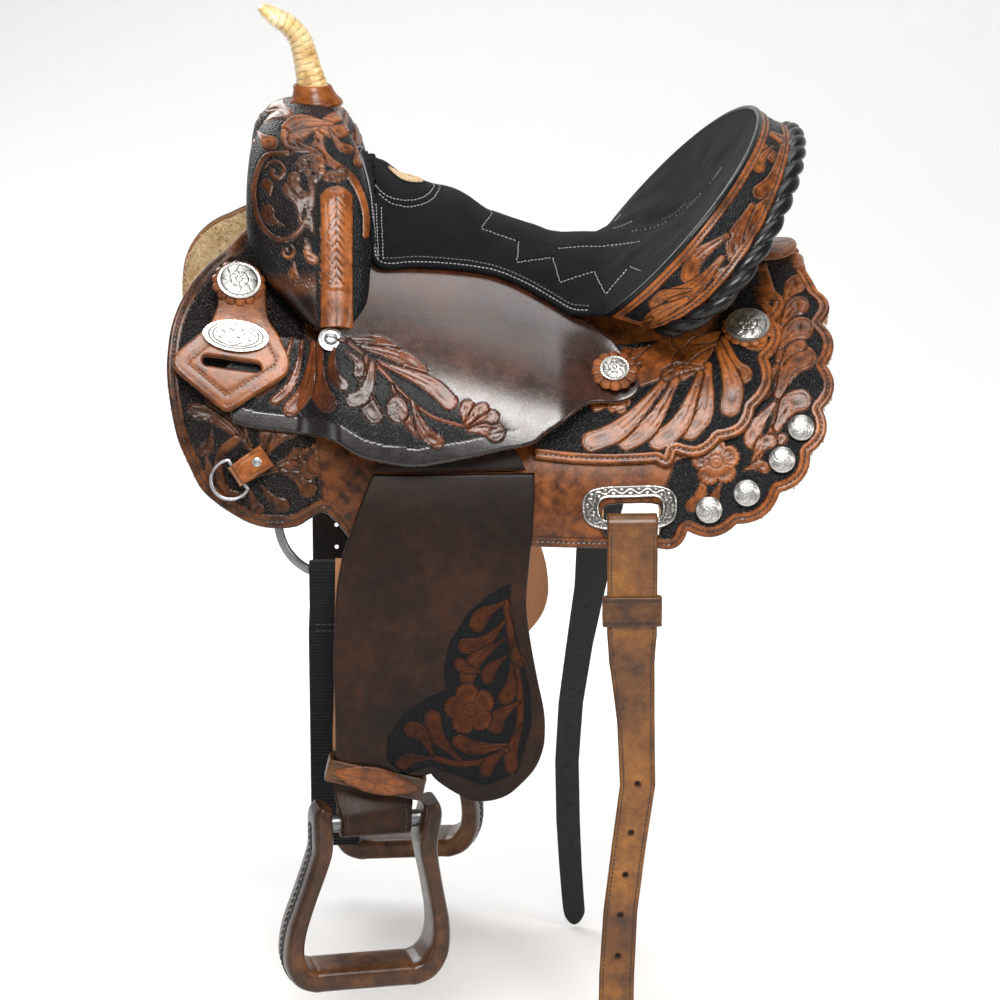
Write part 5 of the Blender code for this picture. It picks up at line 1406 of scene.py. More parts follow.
SWING = np.array([-0.051249, 0.0, 0.635299])


def off_swing(W):
    """The off fender hangs five degrees to the rear."""
    a = radians(-5.0)
    d = W - SWING
    return np.stack([cos(a) * d[:, 0] + sin(a) * d[:, 2], d[:, 1], -sin(a) * d[:, 0] + cos(a) * d[:, 2]], -1) + SWING


def belt(path, across, wide, T, shift=None, holes=(), tip=None, relief=None, coarse=3.2, edge=1.6, r=None, out=None, n=5, round_=0.0):
    """A strap along a path: V, F, attributes and the place function (mm across, mm along, mm up)."""
    P = np.asarray([tuple(p) for p in path], float)
    m = len(P)
    S = smooth_line(P, n)
    key = np.linspace(0, 1, m)
    fine = np.linspace(0, 1, len(S))
    L = np.concatenate([[0], np.cumsum(np.linalg.norm(np.diff(S, axis=0), axis=1))]) * 1000
    A = np.array([tuple(across(i)) for i in range(m)]) if callable(across) else np.broadcast_to(np.asarray(tuple(across), float), (m, 3))
    A = np.stack([np.interp(fine, key, A[:, k]) for k in range(3)], -1)
    t = np.gradient(S, axis=0)
    t /= np.linalg.norm(t, axis=1)[:, None]
    A = A - t * (A * t).sum(1)[:, None]
    A /= np.linalg.norm(A, axis=1)[:, None]
    N = np.cross(A, t)
    if N[-4] @ np.asarray(out) < 0:
        N = -N
    W = np.interp(fine, key, np.broadcast_to(np.asarray(wide, float), (m,))) * 1000
    sh = np.interp(fine, key, np.asarray(shift, float) if shift is not None else np.zeros(m)) * 1000

    def place(u, v, h):
        u, v, h = np.broadcast_arrays(np.asarray(u, float), np.asarray(v, float), np.asarray(h, float))
        g = lambda X: np.stack([np.interp(v, L, X[:, k]) for k in range(3)], -1)
        a, nn = g(A), g(N)
        return g(S) + a * ((u + np.interp(v, L, sh)) / 1000)[..., None] + nn * ((h - T * 500) / 1000)[..., None]
    vs = np.arange(0, L[-1] - 1.0, 4.0)
    if round_:
        vs = np.concatenate([vs[vs < L[-1] - round_], L[-1] - round_ * (1 - np.sin(np.linspace(0, pi / 2 * 0.93, 9)))])
    half = np.interp(vs, L, W) / 2
    if round_:
        q = np.clip((vs - (L[-1] - round_)) / round_, 0, 1)
        half = half * np.sqrt(1 - q * q)
        tip = [(0.0, L[-1])]
    end = tip or [(-W[-1] / 2, L[-1]), (W[-1] / 2, L[-1])]
    outl = [(-h, v) for v, h in zip(vs, half)] + end + [(h, v) for v, h in zip(vs[::-1], half[::-1])]
    outl = np.array(outl)
    r = r or min(1.3, T * 450)
    hl = [[(x + rr * cos(a), y + rr * sin(a)) for a in np.arange(14) * 2 * pi / 14] for x, y, rr in holes]

    def rel(uv, pts, d):
        e, _ = line_dist(uv, outl)
        base = {"h": np.zeros(len(uv)), "ink": np.zeros(len(uv)), "leaf": np.ones(len(uv)), "cut": np.zeros(len(uv)),
                "dent": np.zeros(len(uv)), "shade": np.zeros(len(uv))}
        line = np.exp(-((e - 3.4) / 0.42) ** 2)
        base["h"] -= 0.35 * line
        base["cut"] = 0.75 * line
        for x, y, rr in holes:
            q = np.hypot(uv[:, 0] - x, uv[:, 1] - y)
            base["cut"] = np.maximum(base["cut"], 0.8 * (1 - smoothstep(rr, rr + 1.0, q)))
            base["h"] -= 0.3 * (1 - smoothstep(rr + 0.5, rr + 3.0, q))
        if relief:
            relief(uv, pts, e, base)
        return base
    V, F, at = solid_sheet(outl, place, T * 1000, rel, hl, coarse=coarse, edge=edge, r=r)
    return V, F, at, place, L[-1], outl


# ------------------------------------------------------------------ swell
ARCH = np.array([(0.000, 0.818, -0.207, -0.146, 0.068), (0.032, 0.816, -0.222, -0.141, 0.070), (0.062, 0.807, -0.230, -0.134, 0.072),
                 (0.093, 0.787, -0.233, -0.127, 0.070), (0.122, 0.757, -0.234, -0.122, 0.062), (0.143, 0.722, -0.232, -0.121, 0.054),
                 (0.157, 0.691, -0.219, -0.122, 0.044), (0.169, 0.666, -0.199, -0.125, 0.034), (0.176, 0.650, -0.184, -0.132, 0.026),
                 (0.181, 0.640, -0.172, -0.140, 0.018)])

SWELL_MARKS = [
    stem([(345, 114), (326, 122), (319, 140), (326, 158), (352, 178), (365, 208), (366, 236)], 12, 7),
    leaf(262, 123, 292, 115, 9, -3), leaf(257, 131, 277, 142, 11, 2), leaf(252, 126, 251, 143, 7, 0),
    leaf(306, 119, 346, 130, 10, 3), leaf(332, 124, 284, 134, 13, 5), leaf(318, 128, 290, 152, 12, 4),
    stem([(284, 132), (286, 146), (304, 150), (316, 142)], 7, 5),
    leaf(297, 142, 318, 172, 11, -4), leaf(318, 152, 300, 172, 8, 3), leaf(352, 132, 357, 166, 9, -3), leaf(330, 130, 352, 150, 7, 3),
    stem([(322, 172), (312, 186), (309, 210), (312, 232)], 8, 4),
    leaf(318, 176, 345, 170, 9, 3), leaf(347, 176, 325, 180, 7, 2),
    # the round emblem: a ring with a spray and scrolls in it
    stem([(287, 153), (266, 156), (256, 176), (254, 200), (262, 226), (280, 240), (298, 232), (310, 210), (312, 184), (304, 164)], 6, 6),
    curl(276, 172, 12, 200, 560, 6), leaf(300, 222, 286, 186, 13, 4), leaf(284, 226, 268, 206, 10, -4), leaf(300, 196, 296, 174, 9, -2),
    leaf(270, 196, 262, 182, 8, 2), curl(287, 252, 8, -60, 260, 5), leaf(294, 262, 296, 280, 8, 0), leaf(306, 238, 317, 262, 8, 3),
]


def undrape(P):
    """Pattern distance and stand-off of points near the horse's back."""
    Q = P - SHIFT
    w, h = width(Q[:, 0]), height(Q[:, 0])
    y, z = np.abs(Q[:, 1]), Q[:, 2] - BACK_Z
    off = np.zeros(len(P))
    for _ in range(12):
        f = np.sqrt((y / (w + off)) ** 2 + (z / (h + off)) ** 2)
        off += (f - 1) * np.minimum(w + off, h + off)
        off = np.maximum(off, -0.15)
    return PATTERN_R * np.arctan2(y / (w + off), z / (h + off)), off


def swell():
    m, n = 190, 300
    key = np.arange(len(ARCH))
    full = np.concatenate([ARCH[:0:-1] * [-1, 1, 1, 1, 1], ARCH])
    S = smooth_line(full, 24)
    d = np.concatenate([[0], np.cumsum(np.linalg.norm(np.diff(S[:, :2], axis=0), axis=1))])
    t = np.linspace(0, d[-1], 2 * m)
    S = np.stack([np.interp(t, d, S[:, k]) for k in range(5)], -1)
    T = np.gradient(S[:, :2], axis=0)
    T /= np.linalg.norm(T, axis=1)[:, None]
    N = np.stack([-T[:, 1], T[:, 0]], -1)
    N[N[:, 1] < -0.9] *= 1
    sgn = np.sign((N * np.stack([S[:, 0], np.full(len(S), 0.2)], -1)).sum(1))
    N *= np.where(sgn == 0, 1, sgn)[:, None]
    a = np.arange(n) * 2 * pi / n
    # even spacing round the rounded oblong
    c, s = np.cos(a), np.sin(a)
    U = np.abs(c) ** 0.75 * np.sign(c)
    W = np.abs(s) ** 0.8 * np.sign(s)
    half = (S[:, 3] - S[:, 2]) / 2
    hd = S[:, 4] / 2

    def ring(grow):
        u = (half[:, None] + grow) * U
        w = (hd[:, None] + grow) * W - hd[:, None]
        X = (S[:, 2:3] + S[:, 3:4]) / 2 + u
        Y = S[:, 0:1] + N[:, 0:1] * w
        Z = S[:, 1:2] + N[:, 1:2] * w
        return np.stack([X, Y, Z], -1) + SHIFT
    base = ring(0.0)
    flat = base.reshape(-1, 3)
    P = flat.copy()
    P[:, 1] = -np.abs(P[:, 1])
    XY = sheet_xy(P)
    h, lf, cut, dent = carve(XY, SWELL_MARKS, high=1.0)
    X, Y = XY[:, 0], XY[:, 1]
    # which way the surface looks: carving only on what faces outward
    nrm = np.cross(np.roll(base, -1, 1) - np.roll(base, 1, 1), np.gradient(base, axis=0)).reshape(-1, 3)
    nrm /= np.maximum(np.linalg.norm(nrm, axis=1), 1e-12)[:, None]
    o = (nrm * (flat - np.array([flat[:, 0].mean(), 0, flat[:, 2].mean() - 0.05]))).sum()
    if o < 0:
        nrm = -nrm
    inner = np.broadcast_to((W < -0.1)[None, :], base.shape[:2]).reshape(-1)
    side = 1 - smoothstep(0.0, 0.35, -np.broadcast_to(W[None, :], base.shape[:2]).reshape(-1))
    low = smoothstep(268, 300, Y) * (X < 316)
    carved = side * (1 - low)
    # the welt down the side, and black leather in front of it and behind it
    wx = (X - 336.5) / 16.0
    welt = (np.abs(wx) < 1) & (Y > 186 + 9 * wx * wx) & (Y < 330)
    roll = np.sqrt(np.clip(1 - wx * wx, 0, 1)) * smoothstep(184, 200, Y - 9 * wx * wx)
    mid = np.abs(X - 336.5)
    herr = (np.abs((((Y - mid * 1.2) / 8.5) % 1) - 0.5) < 0.10) & (mid < 7.5) & (Y < 285) & (Y > 196)
    cline = np.exp(-(mid / 0.6) ** 2) * (Y > 195)
    wh = 1.0 + 2.4 * roll - 0.5 * herr * (mid < 7.5) - 0.35 * cline + 0.4 * (mid < 8) * (Y < 290) * (Y > 192)
    h = h * carved
    h = np.where(welt & (side > 0.5), wh, h)
    wedge = np.exp(-((np.abs(X - 336.5) - 16.3) / 0.8) ** 2) * (Y > 190) * (side > 0.5)
    black = 1 - np.clip(lf * carved, 0, 1)
    lf2 = np.where(welt, 1.0, lf * carved)
    ink = np.where(welt, 0, black) * (1 - low)
    emblem = (1 - smoothstep(1.12, 1.35, np.hypot((X - 284) / 33, (Y - 197) / 46))) * carved * (~welt)
    cutv = np.maximum(np.where(welt, 0.9 * herr + 0.8 * cline, cut * carved), wedge)
    attrs = dict(ink=ink * (1 - 0.1 * low), leaf=lf2, cut=np.clip(cutv, 0, 1), dent=dent * carved,
                 edge=np.zeros(len(h)), shade=np.clip(0.70 * emblem + 0.98 * low * (1 - welt), 0, 1), flesh=np.zeros(len(h)))
    V = flat + nrm * (h * 0.001)[:, None]
    # it stands on the bars and the skirts
    s_, off = undrape(V)
    lim = np.where(s_ < 0.110, 0.0328, 0.0238)
    push = off < lim
    w_, h_ = width(V[:, 0] - SHIFT[0]) + lim, height(V[:, 0] - SHIFT[0]) + lim
    ang = s_ / PATTERN_R
    Y2 = np.sign(V[:, 1]) * w_ * np.sin(ang)
    Z2 = BACK_Z + h_ * np.cos(ang) + SHIFT[2]
    V[:, 1] = np.where(push, Y2, V[:, 1])
    V[:, 2] = np.where(push, Z2, V[:, 2])
    Vn, F = loft_np(V.reshape(base.shape))
    for k in attrs:
        attrs[k] = np.concatenate([attrs[k], [0, 0]])
    ob = make("swell_cover", Vn, F, attrs, TOOLED, "saddle", 60)
    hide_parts("swell_cover")


def screws():
    o = float(jockey_off(-0.158, 0.2060)) + 0.004 + 0.0016
    swap(medal("swell_screw", -0.158, 0.2060, o, 0.0092, 0.004, STEEL, style="screw", rings=24, segs=64, base=0.0006), "swell_screw")
    medal("swell_washer", -0.158, 0.2060, o - 0.0014, 0.0112, 0.0022, STEEL, style="plain", rings=10, segs=48, base=0.0012)


def horn():
    H = np.array([(-0.170, 0.7960, 0.0150, 0.0150), (-0.171, 0.8180, 0.0150, 0.0150), (-0.174, 0.831, 0.0135, 0.0135), (-0.177, 0.844, 0.0118, 0.0120),
                  (-0.181, 0.862, 0.0105, 0.0125), (-0.186, 0.876, 0.0098, 0.0150), (-0.195, 0.887, 0.0088, 0.0200),
                  (-0.206, 0.894, 0.0080, 0.0230), (-0.215, 0.900, 0.0065, 0.0200), (-0.2205, 0.9035, 0.0035, 0.0120)])
    S = smooth_line(H[1:], 14)
    n = 72
    T = np.gradient(S[:, :2], axis=0)
    T /= np.linalg.norm(T, axis=1)[:, None]
    q = np.stack([T[:, 1], np.zeros(len(T)), -T[:, 0]], -1)      # across the neck, in the x-z plane
    a = np.arange(n) * 2 * pi / n
    L = np.concatenate([[0], np.cumsum(np.linalg.norm(np.diff(S[:, :2], axis=0), axis=1))])
    body = smoothstep(0.008, 0.016, L) * (1 - smoothstep(L[-1] - 0.02, L[-1] - 0.006, L))
    # strips of rawhide wound round the neck, each lapping the last
    ph = (L[:, None] / 0.0062 - a[None, :] / (2 * pi)) % 1.0
    wrap = (0.0007 * np.sqrt(np.clip(1 - (2 * ph - 1) ** 2, 0, 1)) + 0.0005 * ph - 0.0003) * body[:, None]
    g = wrap + 0.0002
    C = np.stack([S[:, 0], np.zeros(len(S)), S[:, 1]], -1) + SHIFT
    R = C[:, None] + q[:, None] * ((S[:, 2:3] + g) * np.cos(a))[..., None] + np.array([0, 1, 0]) * ((S[:, 3:4] + g) * np.sin(a))[..., None]
    # close the horn's lip
    tip = np.array([-0.2240, 0, 0.9050]) + SHIFT
    end = [tip + (R[-1] - tip) * k for k in (0.8, 0.5, 0.2)]
    R = np.concatenate([R, end])
    V, F = loft_np(R)
    gap = np.exp(-(np.minimum(ph, 1 - ph) / 0.09) ** 2) * body[:, None]
    cut = np.concatenate([gap.ravel(), np.zeros(3 * n + 2)])
    ob = make("horn_wrap", V, F, zeros(V, cut=cut * 0.75), RAWHIDE, "saddle", 60)
    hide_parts("horn_wrap")
    # leather collar at the horn's foot; its front lacing is not drawn
    rows = []
    for z, rr in ((0.8135, 0.0245), (0.8160, 0.0252), (0.8185, 0.0236), (0.8225, 0.0205), (0.8270, 0.0186), (0.8310, 0.0178), (0.8322, 0.0166), (0.8318, 0.0152), (0.8180, 0.0152)):
        x = -0.1705 - 0.26 * max(0, z - 0.818)
        rows.append(np.array([[x, 0, z]]) + SHIFT + np.stack([rr * np.cos(a), rr * np.sin(a) * 1.02, np.zeros(n)], -1))
    V, F = loft_np(rows, caps=False, closed=True)
    make("horn_collar", V, F, zeros(V, leaf=1, shade=0.15), TOOLED, "saddle", 50)


# ------------------------------------------------------------------ cantle
RIM_TOP, RIM_A, RIM_SLOPE, RIM_B = (0.2385, 0.8055), 0.1370, radians(47.7), 0.188
BACK_TOP, BACK_A, BACK_SLOPE, BACK_B = (0.2680, 0.7880), 0.1200, radians(44.0), 0.2030
RIM_END = radians(127)


def rim(th, grow=0.0):
    th = np.asarray(th, float)
    c = 1 - np.cos(th)
    return np.stack([RIM_TOP[0] - RIM_A * c * cos(RIM_SLOPE), (RIM_B + grow) * np.sin(th), RIM_TOP[1] - RIM_A * c * sin(RIM_SLOPE)], -1) + SHIFT


def back_rim(th):
    th = np.asarray(th, float)
    c = 1 - np.cos(th)
    return np.stack([BACK_TOP[0] - BACK_A * c * cos(BACK_SLOPE), BACK_B * np.sin(th), BACK_TOP[1] - BACK_A * c * sin(BACK_SLOPE) - 0.034 * np.sin(th) ** 2], -1) + SHIFT


def rim_frame(th):
    p, q = rim(th), back_rim(th)
    al = rim(th + 0.01) - rim(th - 0.01)
    al /= np.linalg.norm(al, axis=-1)[:, None]
    out = q - p
    wid = np.linalg.norm(out, axis=-1)
    out = out / wid[:, None]
    nr = np.cross(out, al)
    nr /= np.linalg.norm(nr, axis=-1)[:, None]
    ref = np.stack([np.full(len(th), 0.6), np.sin(th), np.full(len(th), 0.5)], -1)
    nr *= np.sign((nr * ref).sum(1))[:, None]
    return p, q, out, nr, wid


CANTLE_MARKS = [
    stem([(800, 176), (786, 196), (772, 214), (762, 240), (742, 262), (716, 284), (688, 304), (660, 322)], 5, 4),
    leaf(772, 134, 797, 163, 13, -4, root=0.4), leaf(760, 138, 784, 160, 9, 3), leaf(790, 152, 806, 184, 9, -3),
    leaf(783, 146, 757, 194, 12, -5, root=0.4), leaf(773, 146, 760, 172, 9, 3),
    leaf(779, 192, 750, 238, 12, 5, root=0.4), leaf(792, 186, 776, 226, 10, -3),
    leaf(752, 206, 736, 260, 13, 4, root=0.4), leaf(764, 218, 750, 252, 9, -3),
    leaf(727, 236, 688, 280, 13, 5, root=0.4), leaf(741, 250, 716, 276, 9, -3),
    leaf(722, 258, 670, 297, 13, -4, root=0.4), leaf(690, 290, 652, 306, 9, 3),
    leaf(686, 300, 646, 335, 13, 4, root=0.4), leaf(704, 286, 676, 318, 9, -3), leaf(652, 318, 628, 342, 10, 2),
]


def cantle():
    m, n = 560, 46
    th = np.linspace(-RIM_END, RIM_END, m)
    p, q, out, nr, wid = rim_frame(th)
    f = np.linspace(0, 1, n)
    base = p[:, None] + out[:, None] * (0.0042 + f[None, :, None] * (wid - 0.0042)[:, None, None])
    flat = base.reshape(-1, 3)
    P = flat.copy()
    P[:, 1] = -np.abs(P[:, 1])
    XY = sheet_xy(P)
    h, lf, cut, dent = carve(XY, CANTLE_MARKS, high=0.95)
    e = (np.minimum(f, 1 - f)[None, :] * (wid - 0.0042)[:, None] * 1000).reshape(-1)
    ends = np.repeat((RIM_END - np.abs(th)) * 150, n)
    e = np.minimum(e, ends)
    band = 1 - smoothstep(7.6, 8.2, e)
    line = np.exp(-((e - 8.0) / 0.5) ** 2)
    seam = np.exp(-((e - 4.6) / 0.9) ** 2)
    lf = np.maximum(lf, band)
    h = np.where(band > 0.5, 1.0, h) - 0.35 * line - 0.7 * seam
    fall = np.clip(1 - e / 1.0, 0, 1)
    h -= 0.9 * (1 - np.sqrt(np.clip(1 - fall * fall, 0, 1)))
    nn = np.repeat(nr, n, 0)
    top = (flat + nn * (h * 0.001)[:, None]).reshape(m, n, 3)
    low = base - nr[:, None] * 0.0032
    R = np.concatenate([top, low[:, ::-1]], 1)
    V, F = loft_np(R)
    at = zeros(V)
    for k, v in (("ink", (1 - lf) * (1 - band)), ("leaf", lf), ("cut", np.maximum(np.maximum(cut * (1 - band), line * 0.9), seam * 0.5)),
                 ("dent", dent * (1 - band)), ("edge", np.clip(1 - e / 2.0, 0, 1))):
        full = np.zeros((m, 2 * n))
        full[:, :n] = np.asarray(v).reshape(m, n)
        at[k] = np.concatenate([full.ravel(), [0, 0]])
    ob = make("cantle_back", V, F, at, TOOLED, "saddle", 50)
    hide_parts("cantle_back")
    for d in (4.6,):
        A = p + out * (0.0042 + d / 1000) + nr * 0.0004
        B = q - out * (d / 1000) + nr * 0.0004
        k = slice(6, -6)
        sew(A[k], nr[k], BROWN_THREAD, pitch=0.0042, length=0.0038, wide=0.0015, high=0.0009, slant=0.4, both=False)
        sew(B[k], nr[k], BROWN_THREAD, pitch=0.0042, length=0.0038, wide=0.0015, high=0.0009, slant=-0.4, both=False)
    # black binding where the suede meets the band
    V, F = tube(p + out * 0.0022 - nr * 0.0006, 0.0027, 12)
    make("cantle_binding", V, F, zeros(V), BLACKL, "saddle", 60)
    # the roll: two strands of black leather laid as a rope
    th = np.linspace(-RIM_END, RIM_END, 900)
    p, q, out, nr, wid = rim_frame(th)
    C = q + out * 0.0078 - nr * 0.0018
    taper = np.minimum(1, 0.55 + 0.45 * np.sin(np.clip((RIM_END - np.abs(th)) / 0.25, 0, 1) * pi / 2))
    V, F = tube(C, 0.0096 * taper, 48, shape=lambda a, L: 0.58 + 0.42 * np.abs(np.cos(a - 2 * pi * L / 0.060)) ** 0.62)
    ob = make("cantle_rope", V, F, zeros(V), BLACKL, "saddle", 70)
    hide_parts("cantle_rope")


def rear_bridge():
    place = lambda u, v, h: drape(u / 1000, v / 1000, 0.0234 + h / 1000)
    a = np.linspace(0, 2 * pi, 60, endpoint=False)
    out = np.stack([248 + 30 * np.abs(np.cos(a)) ** 0.8 * np.sign(np.cos(a)), 46 * np.sin(a)], -1)

    def relief(uv, pts, d):
        e, _ = line_dist(uv, out)
        line = np.exp(-((e - 6) / 0.5) ** 2)
        ray = np.abs(np.sin(np.arctan2(uv[:, 1] / 1.6, uv[:, 0] - 222) * 7))
        cut = np.exp(-(ray / 0.13) ** 2) * (e > 8)
        return {"h": 0.9 - 0.4 * line - 0.35 * cut, "ink": 0.8 * cut, "leaf": 1 - cut, "cut": np.maximum(line, 0.6 * cut), "dent": 0 * e, "shade": 0 * e}
    V, F, at = solid_sheet(out, place, 3.0, relief, coarse=1.8, edge=1.4, r=1.2)
    make("rear_bridge", V, F, at, TOOLED, "saddle", 42)


# ------------------------------------------------------------------ seat
SPINE = np.array([(-0.140, 0.775), (-0.110, 0.758), (-0.089, 0.744), (-0.044, 0.732), (-0.007, 0.710), (0.047, 0.691), (0.092, 0.688),
                  (0.125, 0.693), (0.150, 0.702)])
EDGE = [(-115, 127), (-80, 120), (-41, 113), (-10, 109), (16, 114), (41, 126), (60, 138)]


def seat():
    # the border of the near half, from the swell's middle to the cantle's top
    pts = [np.array([-0.1395, 0, 0.7745]) + SHIFT, np.array([-0.1310, -0.040, 0.768]) + SHIFT, np.array([-0.124, -0.078, 0.748]) + SHIFT,
           np.array([-0.1185, -0.110, 0.716]) + SHIFT]
    pts += [drape(x / 1000, s / 1000, 0.0440) for x, s in EDGE]
    front = smooth_line(pts, 8)
    rear = np.array([rim(-RIM_END * (1 - t)) for t in np.linspace(0, 1, 60)])
    B = even(np.concatenate([front, rear]), 0.0030)
    sp = smooth_line(SPINE, 10)
    x = np.clip(B[:, 0] - SHIFT[0], -0.118, 0.128)
    H = np.stack([x, 0 * x, np.interp(x, sp[:, 0], sp[:, 1])], -1) + SHIFT
    H[:, 1] = 0
    m = len(B)
    w = np.linspace(0, 1, 58)
    rise = np.where((H[:, 2] > B[:, 2])[:, None], 1 - (1 - w) ** 2.0, 1 - (1 - w) ** 1.9)
    G = B[:, None, :] + (H - B)[:, None, :] * w[None, :, None]
    G[:, :, 2] = B[:, None, 2] + (H - B)[:, None, 2] * rise
    n = len(w)
    idx = np.arange(m * n).reshape(m, n)
    quads = np.stack([idx[:-1, :-1], idx[1:, :-1], idx[1:, 1:], idx[:-1, 1:]], -1).reshape(-1, 4)
    V1 = G.reshape(-1, 3)
    V = np.concatenate([V1, mirrored(V1)])
    Q = np.concatenate([quads, quads[:, ::-1] + len(V1)])
    # weld the halves and the places where the rings run together
    me = bpy.data.meshes.new("seat_raw")
    me.from_pydata(V.tolist(), [], Q.tolist())
    import bmesh
    bm = bmesh.new()
    bm.from_mesh(me)
    bmesh.ops.remove_doubles(bm, verts=bm.verts[:], dist=0.0009)
    bmesh.ops.dissolve_degenerate(bm, edges=bm.edges[:], dist=0.0002)
    bmesh.ops.recalc_face_normals(bm, faces=bm.faces[:])
    bm.normal_update()
    if sum(f.normal.z * f.calc_area() for f in bm.faces) < 0:
        bmesh.ops.reverse_faces(bm, faces=bm.faces[:])
    # ease the fold of the rings where they turn
    for _ in range(6):
        bmesh.ops.smooth_vert(bm, verts=[v for v in bm.verts if not v.is_boundary], factor=0.5, use_axis_x=True, use_axis_y=True, use_axis_z=True)
    bm.to_mesh(me)
    bm.free()
    base = np.array([v.co for v in me.vertices])
    nrm = np.array([v.normal for v in me.vertices])
    bd, _ = line_dist3(base, np.concatenate([B, mirrored(B)[::-1]]))

    # stitch lines, drawn on the elevation and found on the near side of the seat
    view = _eye - base
    view /= np.linalg.norm(view, axis=1)[:, None]
    faces = np.where((base[:, 1] < 0.004) & ((nrm * view).sum(1) > 0.02))[0]
    FS = sheet_xy(base[faces])

    def find(line, step=1.5):
        Lp = even(np.array(line, float), step)
        out = []
        for p in Lp:
            d = np.hypot(FS[:, 0] - p[0], FS[:, 1] - p[1])
            k = np.argsort(d)[:4]
            wt = 1 / (d[k] + 0.4) ** 2
            out.append((faces[k], wt / wt.sum()))
        return out

    def pts_of(found, V_, off=0.0, N_=None):
        P = np.array([(V_[k] * wt[:, None]).sum(0) for k, wt in found])
        for _ in range(2):
            if len(P) > 4:
                P[1:-1] = (P[:-2] + 2 * P[1:-1] + P[2:]) / 4
        return P
    zig = [(493, 212), (481, 228), (519, 241), (517, 262), (553, 257), (560, 282), (594, 271), (605, 294), (629, 266), (641, 271)]
    lines = [find(zig[i:i + 2]) for i in range(len(zig) - 1)]
    row2 = [find([(558, 248), (580, 246), (600, 246), (640, 241)])]
    arcs = [find(smooth_line([(375, 184), (388, 196), (410, 200), (428, 194), (436, 182)], 6)),
            find(smooth_line([(379, 193), (392, 203), (412, 206), (432, 199), (441, 185)], 6))]
    fr = [find([(372 + k, 200 + k * 0.7), (374 + k, 262)]) for k in (0, 4.5, 9.5)]
    puck = []
    for a, b in (((674, 150), (686, 160)), ((690, 142), (684, 158)), ((655, 172), (672, 178)), ((652, 184), (668, 176)), ((640, 205), (662, 208)),
                 ((628, 222), (650, 224)), ((664, 226), (690, 208)), ((700, 176), (716, 160)), ((610, 246), (640, 241)), ((700, 190), (690, 206))):
        puck.append(find([a, b], 1.5))
    sets = lines + row2 + puck
    border_pts = [base[np.argsort(np.abs(bd - 0.0055))[:0]]]
    pinline = np.concatenate([pts_of(s, base) for s in lines + row2 + arcs + fr + puck])
    both = np.concatenate([pinline, mirrored(pinline)])
    from mathutils.kdtree import KDTree
    kd = KDTree(len(both))
    for i, p in enumerate(both):
        kd.insert(p, i)
    kd.balance()
    dl = np.array([kd.find(p)[2] for p in base])
    edge_pin = bd < 0.0165
    new = puff(me, base, nrm, (dl < 0.0024) | edge_pin)
    if new is None:
        lift = 0.0036 * smoothstep(0.001, 0.020, dl) * smoothstep(0.014, 0.034, bd)
        new = base + nrm * lift[:, None]
    dist = np.clip(((new - base) * nrm).sum(1), -0.0010, 0.0052)
    # the padding irons out the finest ripples, but not the seams
    ed = np.array([e.vertices for e in me.edges])
    cnt = np.bincount(ed.ravel(), minlength=len(base)).astype(float)
    for _ in range(10):
        sm = np.zeros(len(base))
        np.add.at(sm, ed[:, 0], dist[ed[:, 1]])
        np.add.at(sm, ed[:, 1], dist[ed[:, 0]])
        keep = np.exp(-(dl / 0.003) ** 2)
        dist = dist * (0.5 + 0.5 * keep) + sm / np.maximum(cnt, 1) * 0.5 * (1 - keep)
    new = base + nrm * dist[:, None]
    # subdivide for the nap and the seams
    for i, v in enumerate(me.vertices):
        v.co = new[i]
    at = me.attributes.new("pinned", "FLOAT", "POINT")
    at.data.foreach_set("value", dl.astype(np.float32))
    at = me.attributes.new("rimd", "FLOAT", "POINT")
    at.data.foreach_set("value", bd.astype(np.float32))
    ob = bpy.data.objects.new("seat_tmp", me)
    bpy.context.scene.collection.objects.link(ob)
    md = ob.modifiers.new("fine", "SUBSURF")
    md.levels = md.render_levels = 1
    md.boundary_smooth = "PRESERVE_CORNERS"
    dg = bpy.context.evaluated_depsgraph_get()
    fine = bpy.data.meshes.new_from_object(ob.evaluated_get(dg), depsgraph=dg)
    bpy.data.objects.remove(ob)
    nv = len(fine.vertices)
    FV = np.zeros(nv * 3, np.float32)
    fine.vertices.foreach_get("co", FV)
    FV = FV.reshape(-1, 3).astype(float)
    FN = np.array([v.normal for v in fine.vertices])
    dlf = np.array([kd.find(p)[2] for p in FV])
    bdf, _ = line_dist3(FV, np.concatenate([B, mirrored(B)[::-1]]))
    seam = np.exp(-(dlf / 0.0016) ** 2)
    dd = bdf
    hem = (np.exp(-((dd - 0.0048) / 0.0011) ** 2) + np.exp(-((dd - 0.0105) / 0.0011) ** 2)) * (FV[:, 0] < 0.085)
    rise_ = 0.0008 * (1 - smoothstep(0.0125, 0.0135, dd)) * (FV[:, 0] < 0.09)
    drop = 0.0011 * seam + 0.0007 * hem - rise_
    # the hand-hole in the front, over the ridge
    hc = np.array([-0.0875, 0.0])
    hr = np.hypot((FV[:, 0] - hc[0]) / 0.0185, FV[:, 1] / 0.0160)
    drop += 0.0016 * (1 - smoothstep(0.75, 1.0, hr)) - 0.0012 * np.exp(-((hr - 1.12) / 0.10) ** 2)
    wob = (np.sin(FV[:, 0] * 410 + 3 * np.sin(FV[:, 1] * 190)) * np.sin(FV[:, 1] * 370 + 2 * np.sin(FV[:, 0] * 230))) * 0.00010
    top = FV - FN * drop[:, None] + FN * wob[:, None]
    tris = []
    fine.calc_loop_triangles()
    T = np.zeros(len(fine.loop_triangles) * 3, np.int32)
    fine.loop_triangles.foreach_get("vertices", T)
    T = T.reshape(-1, 3)
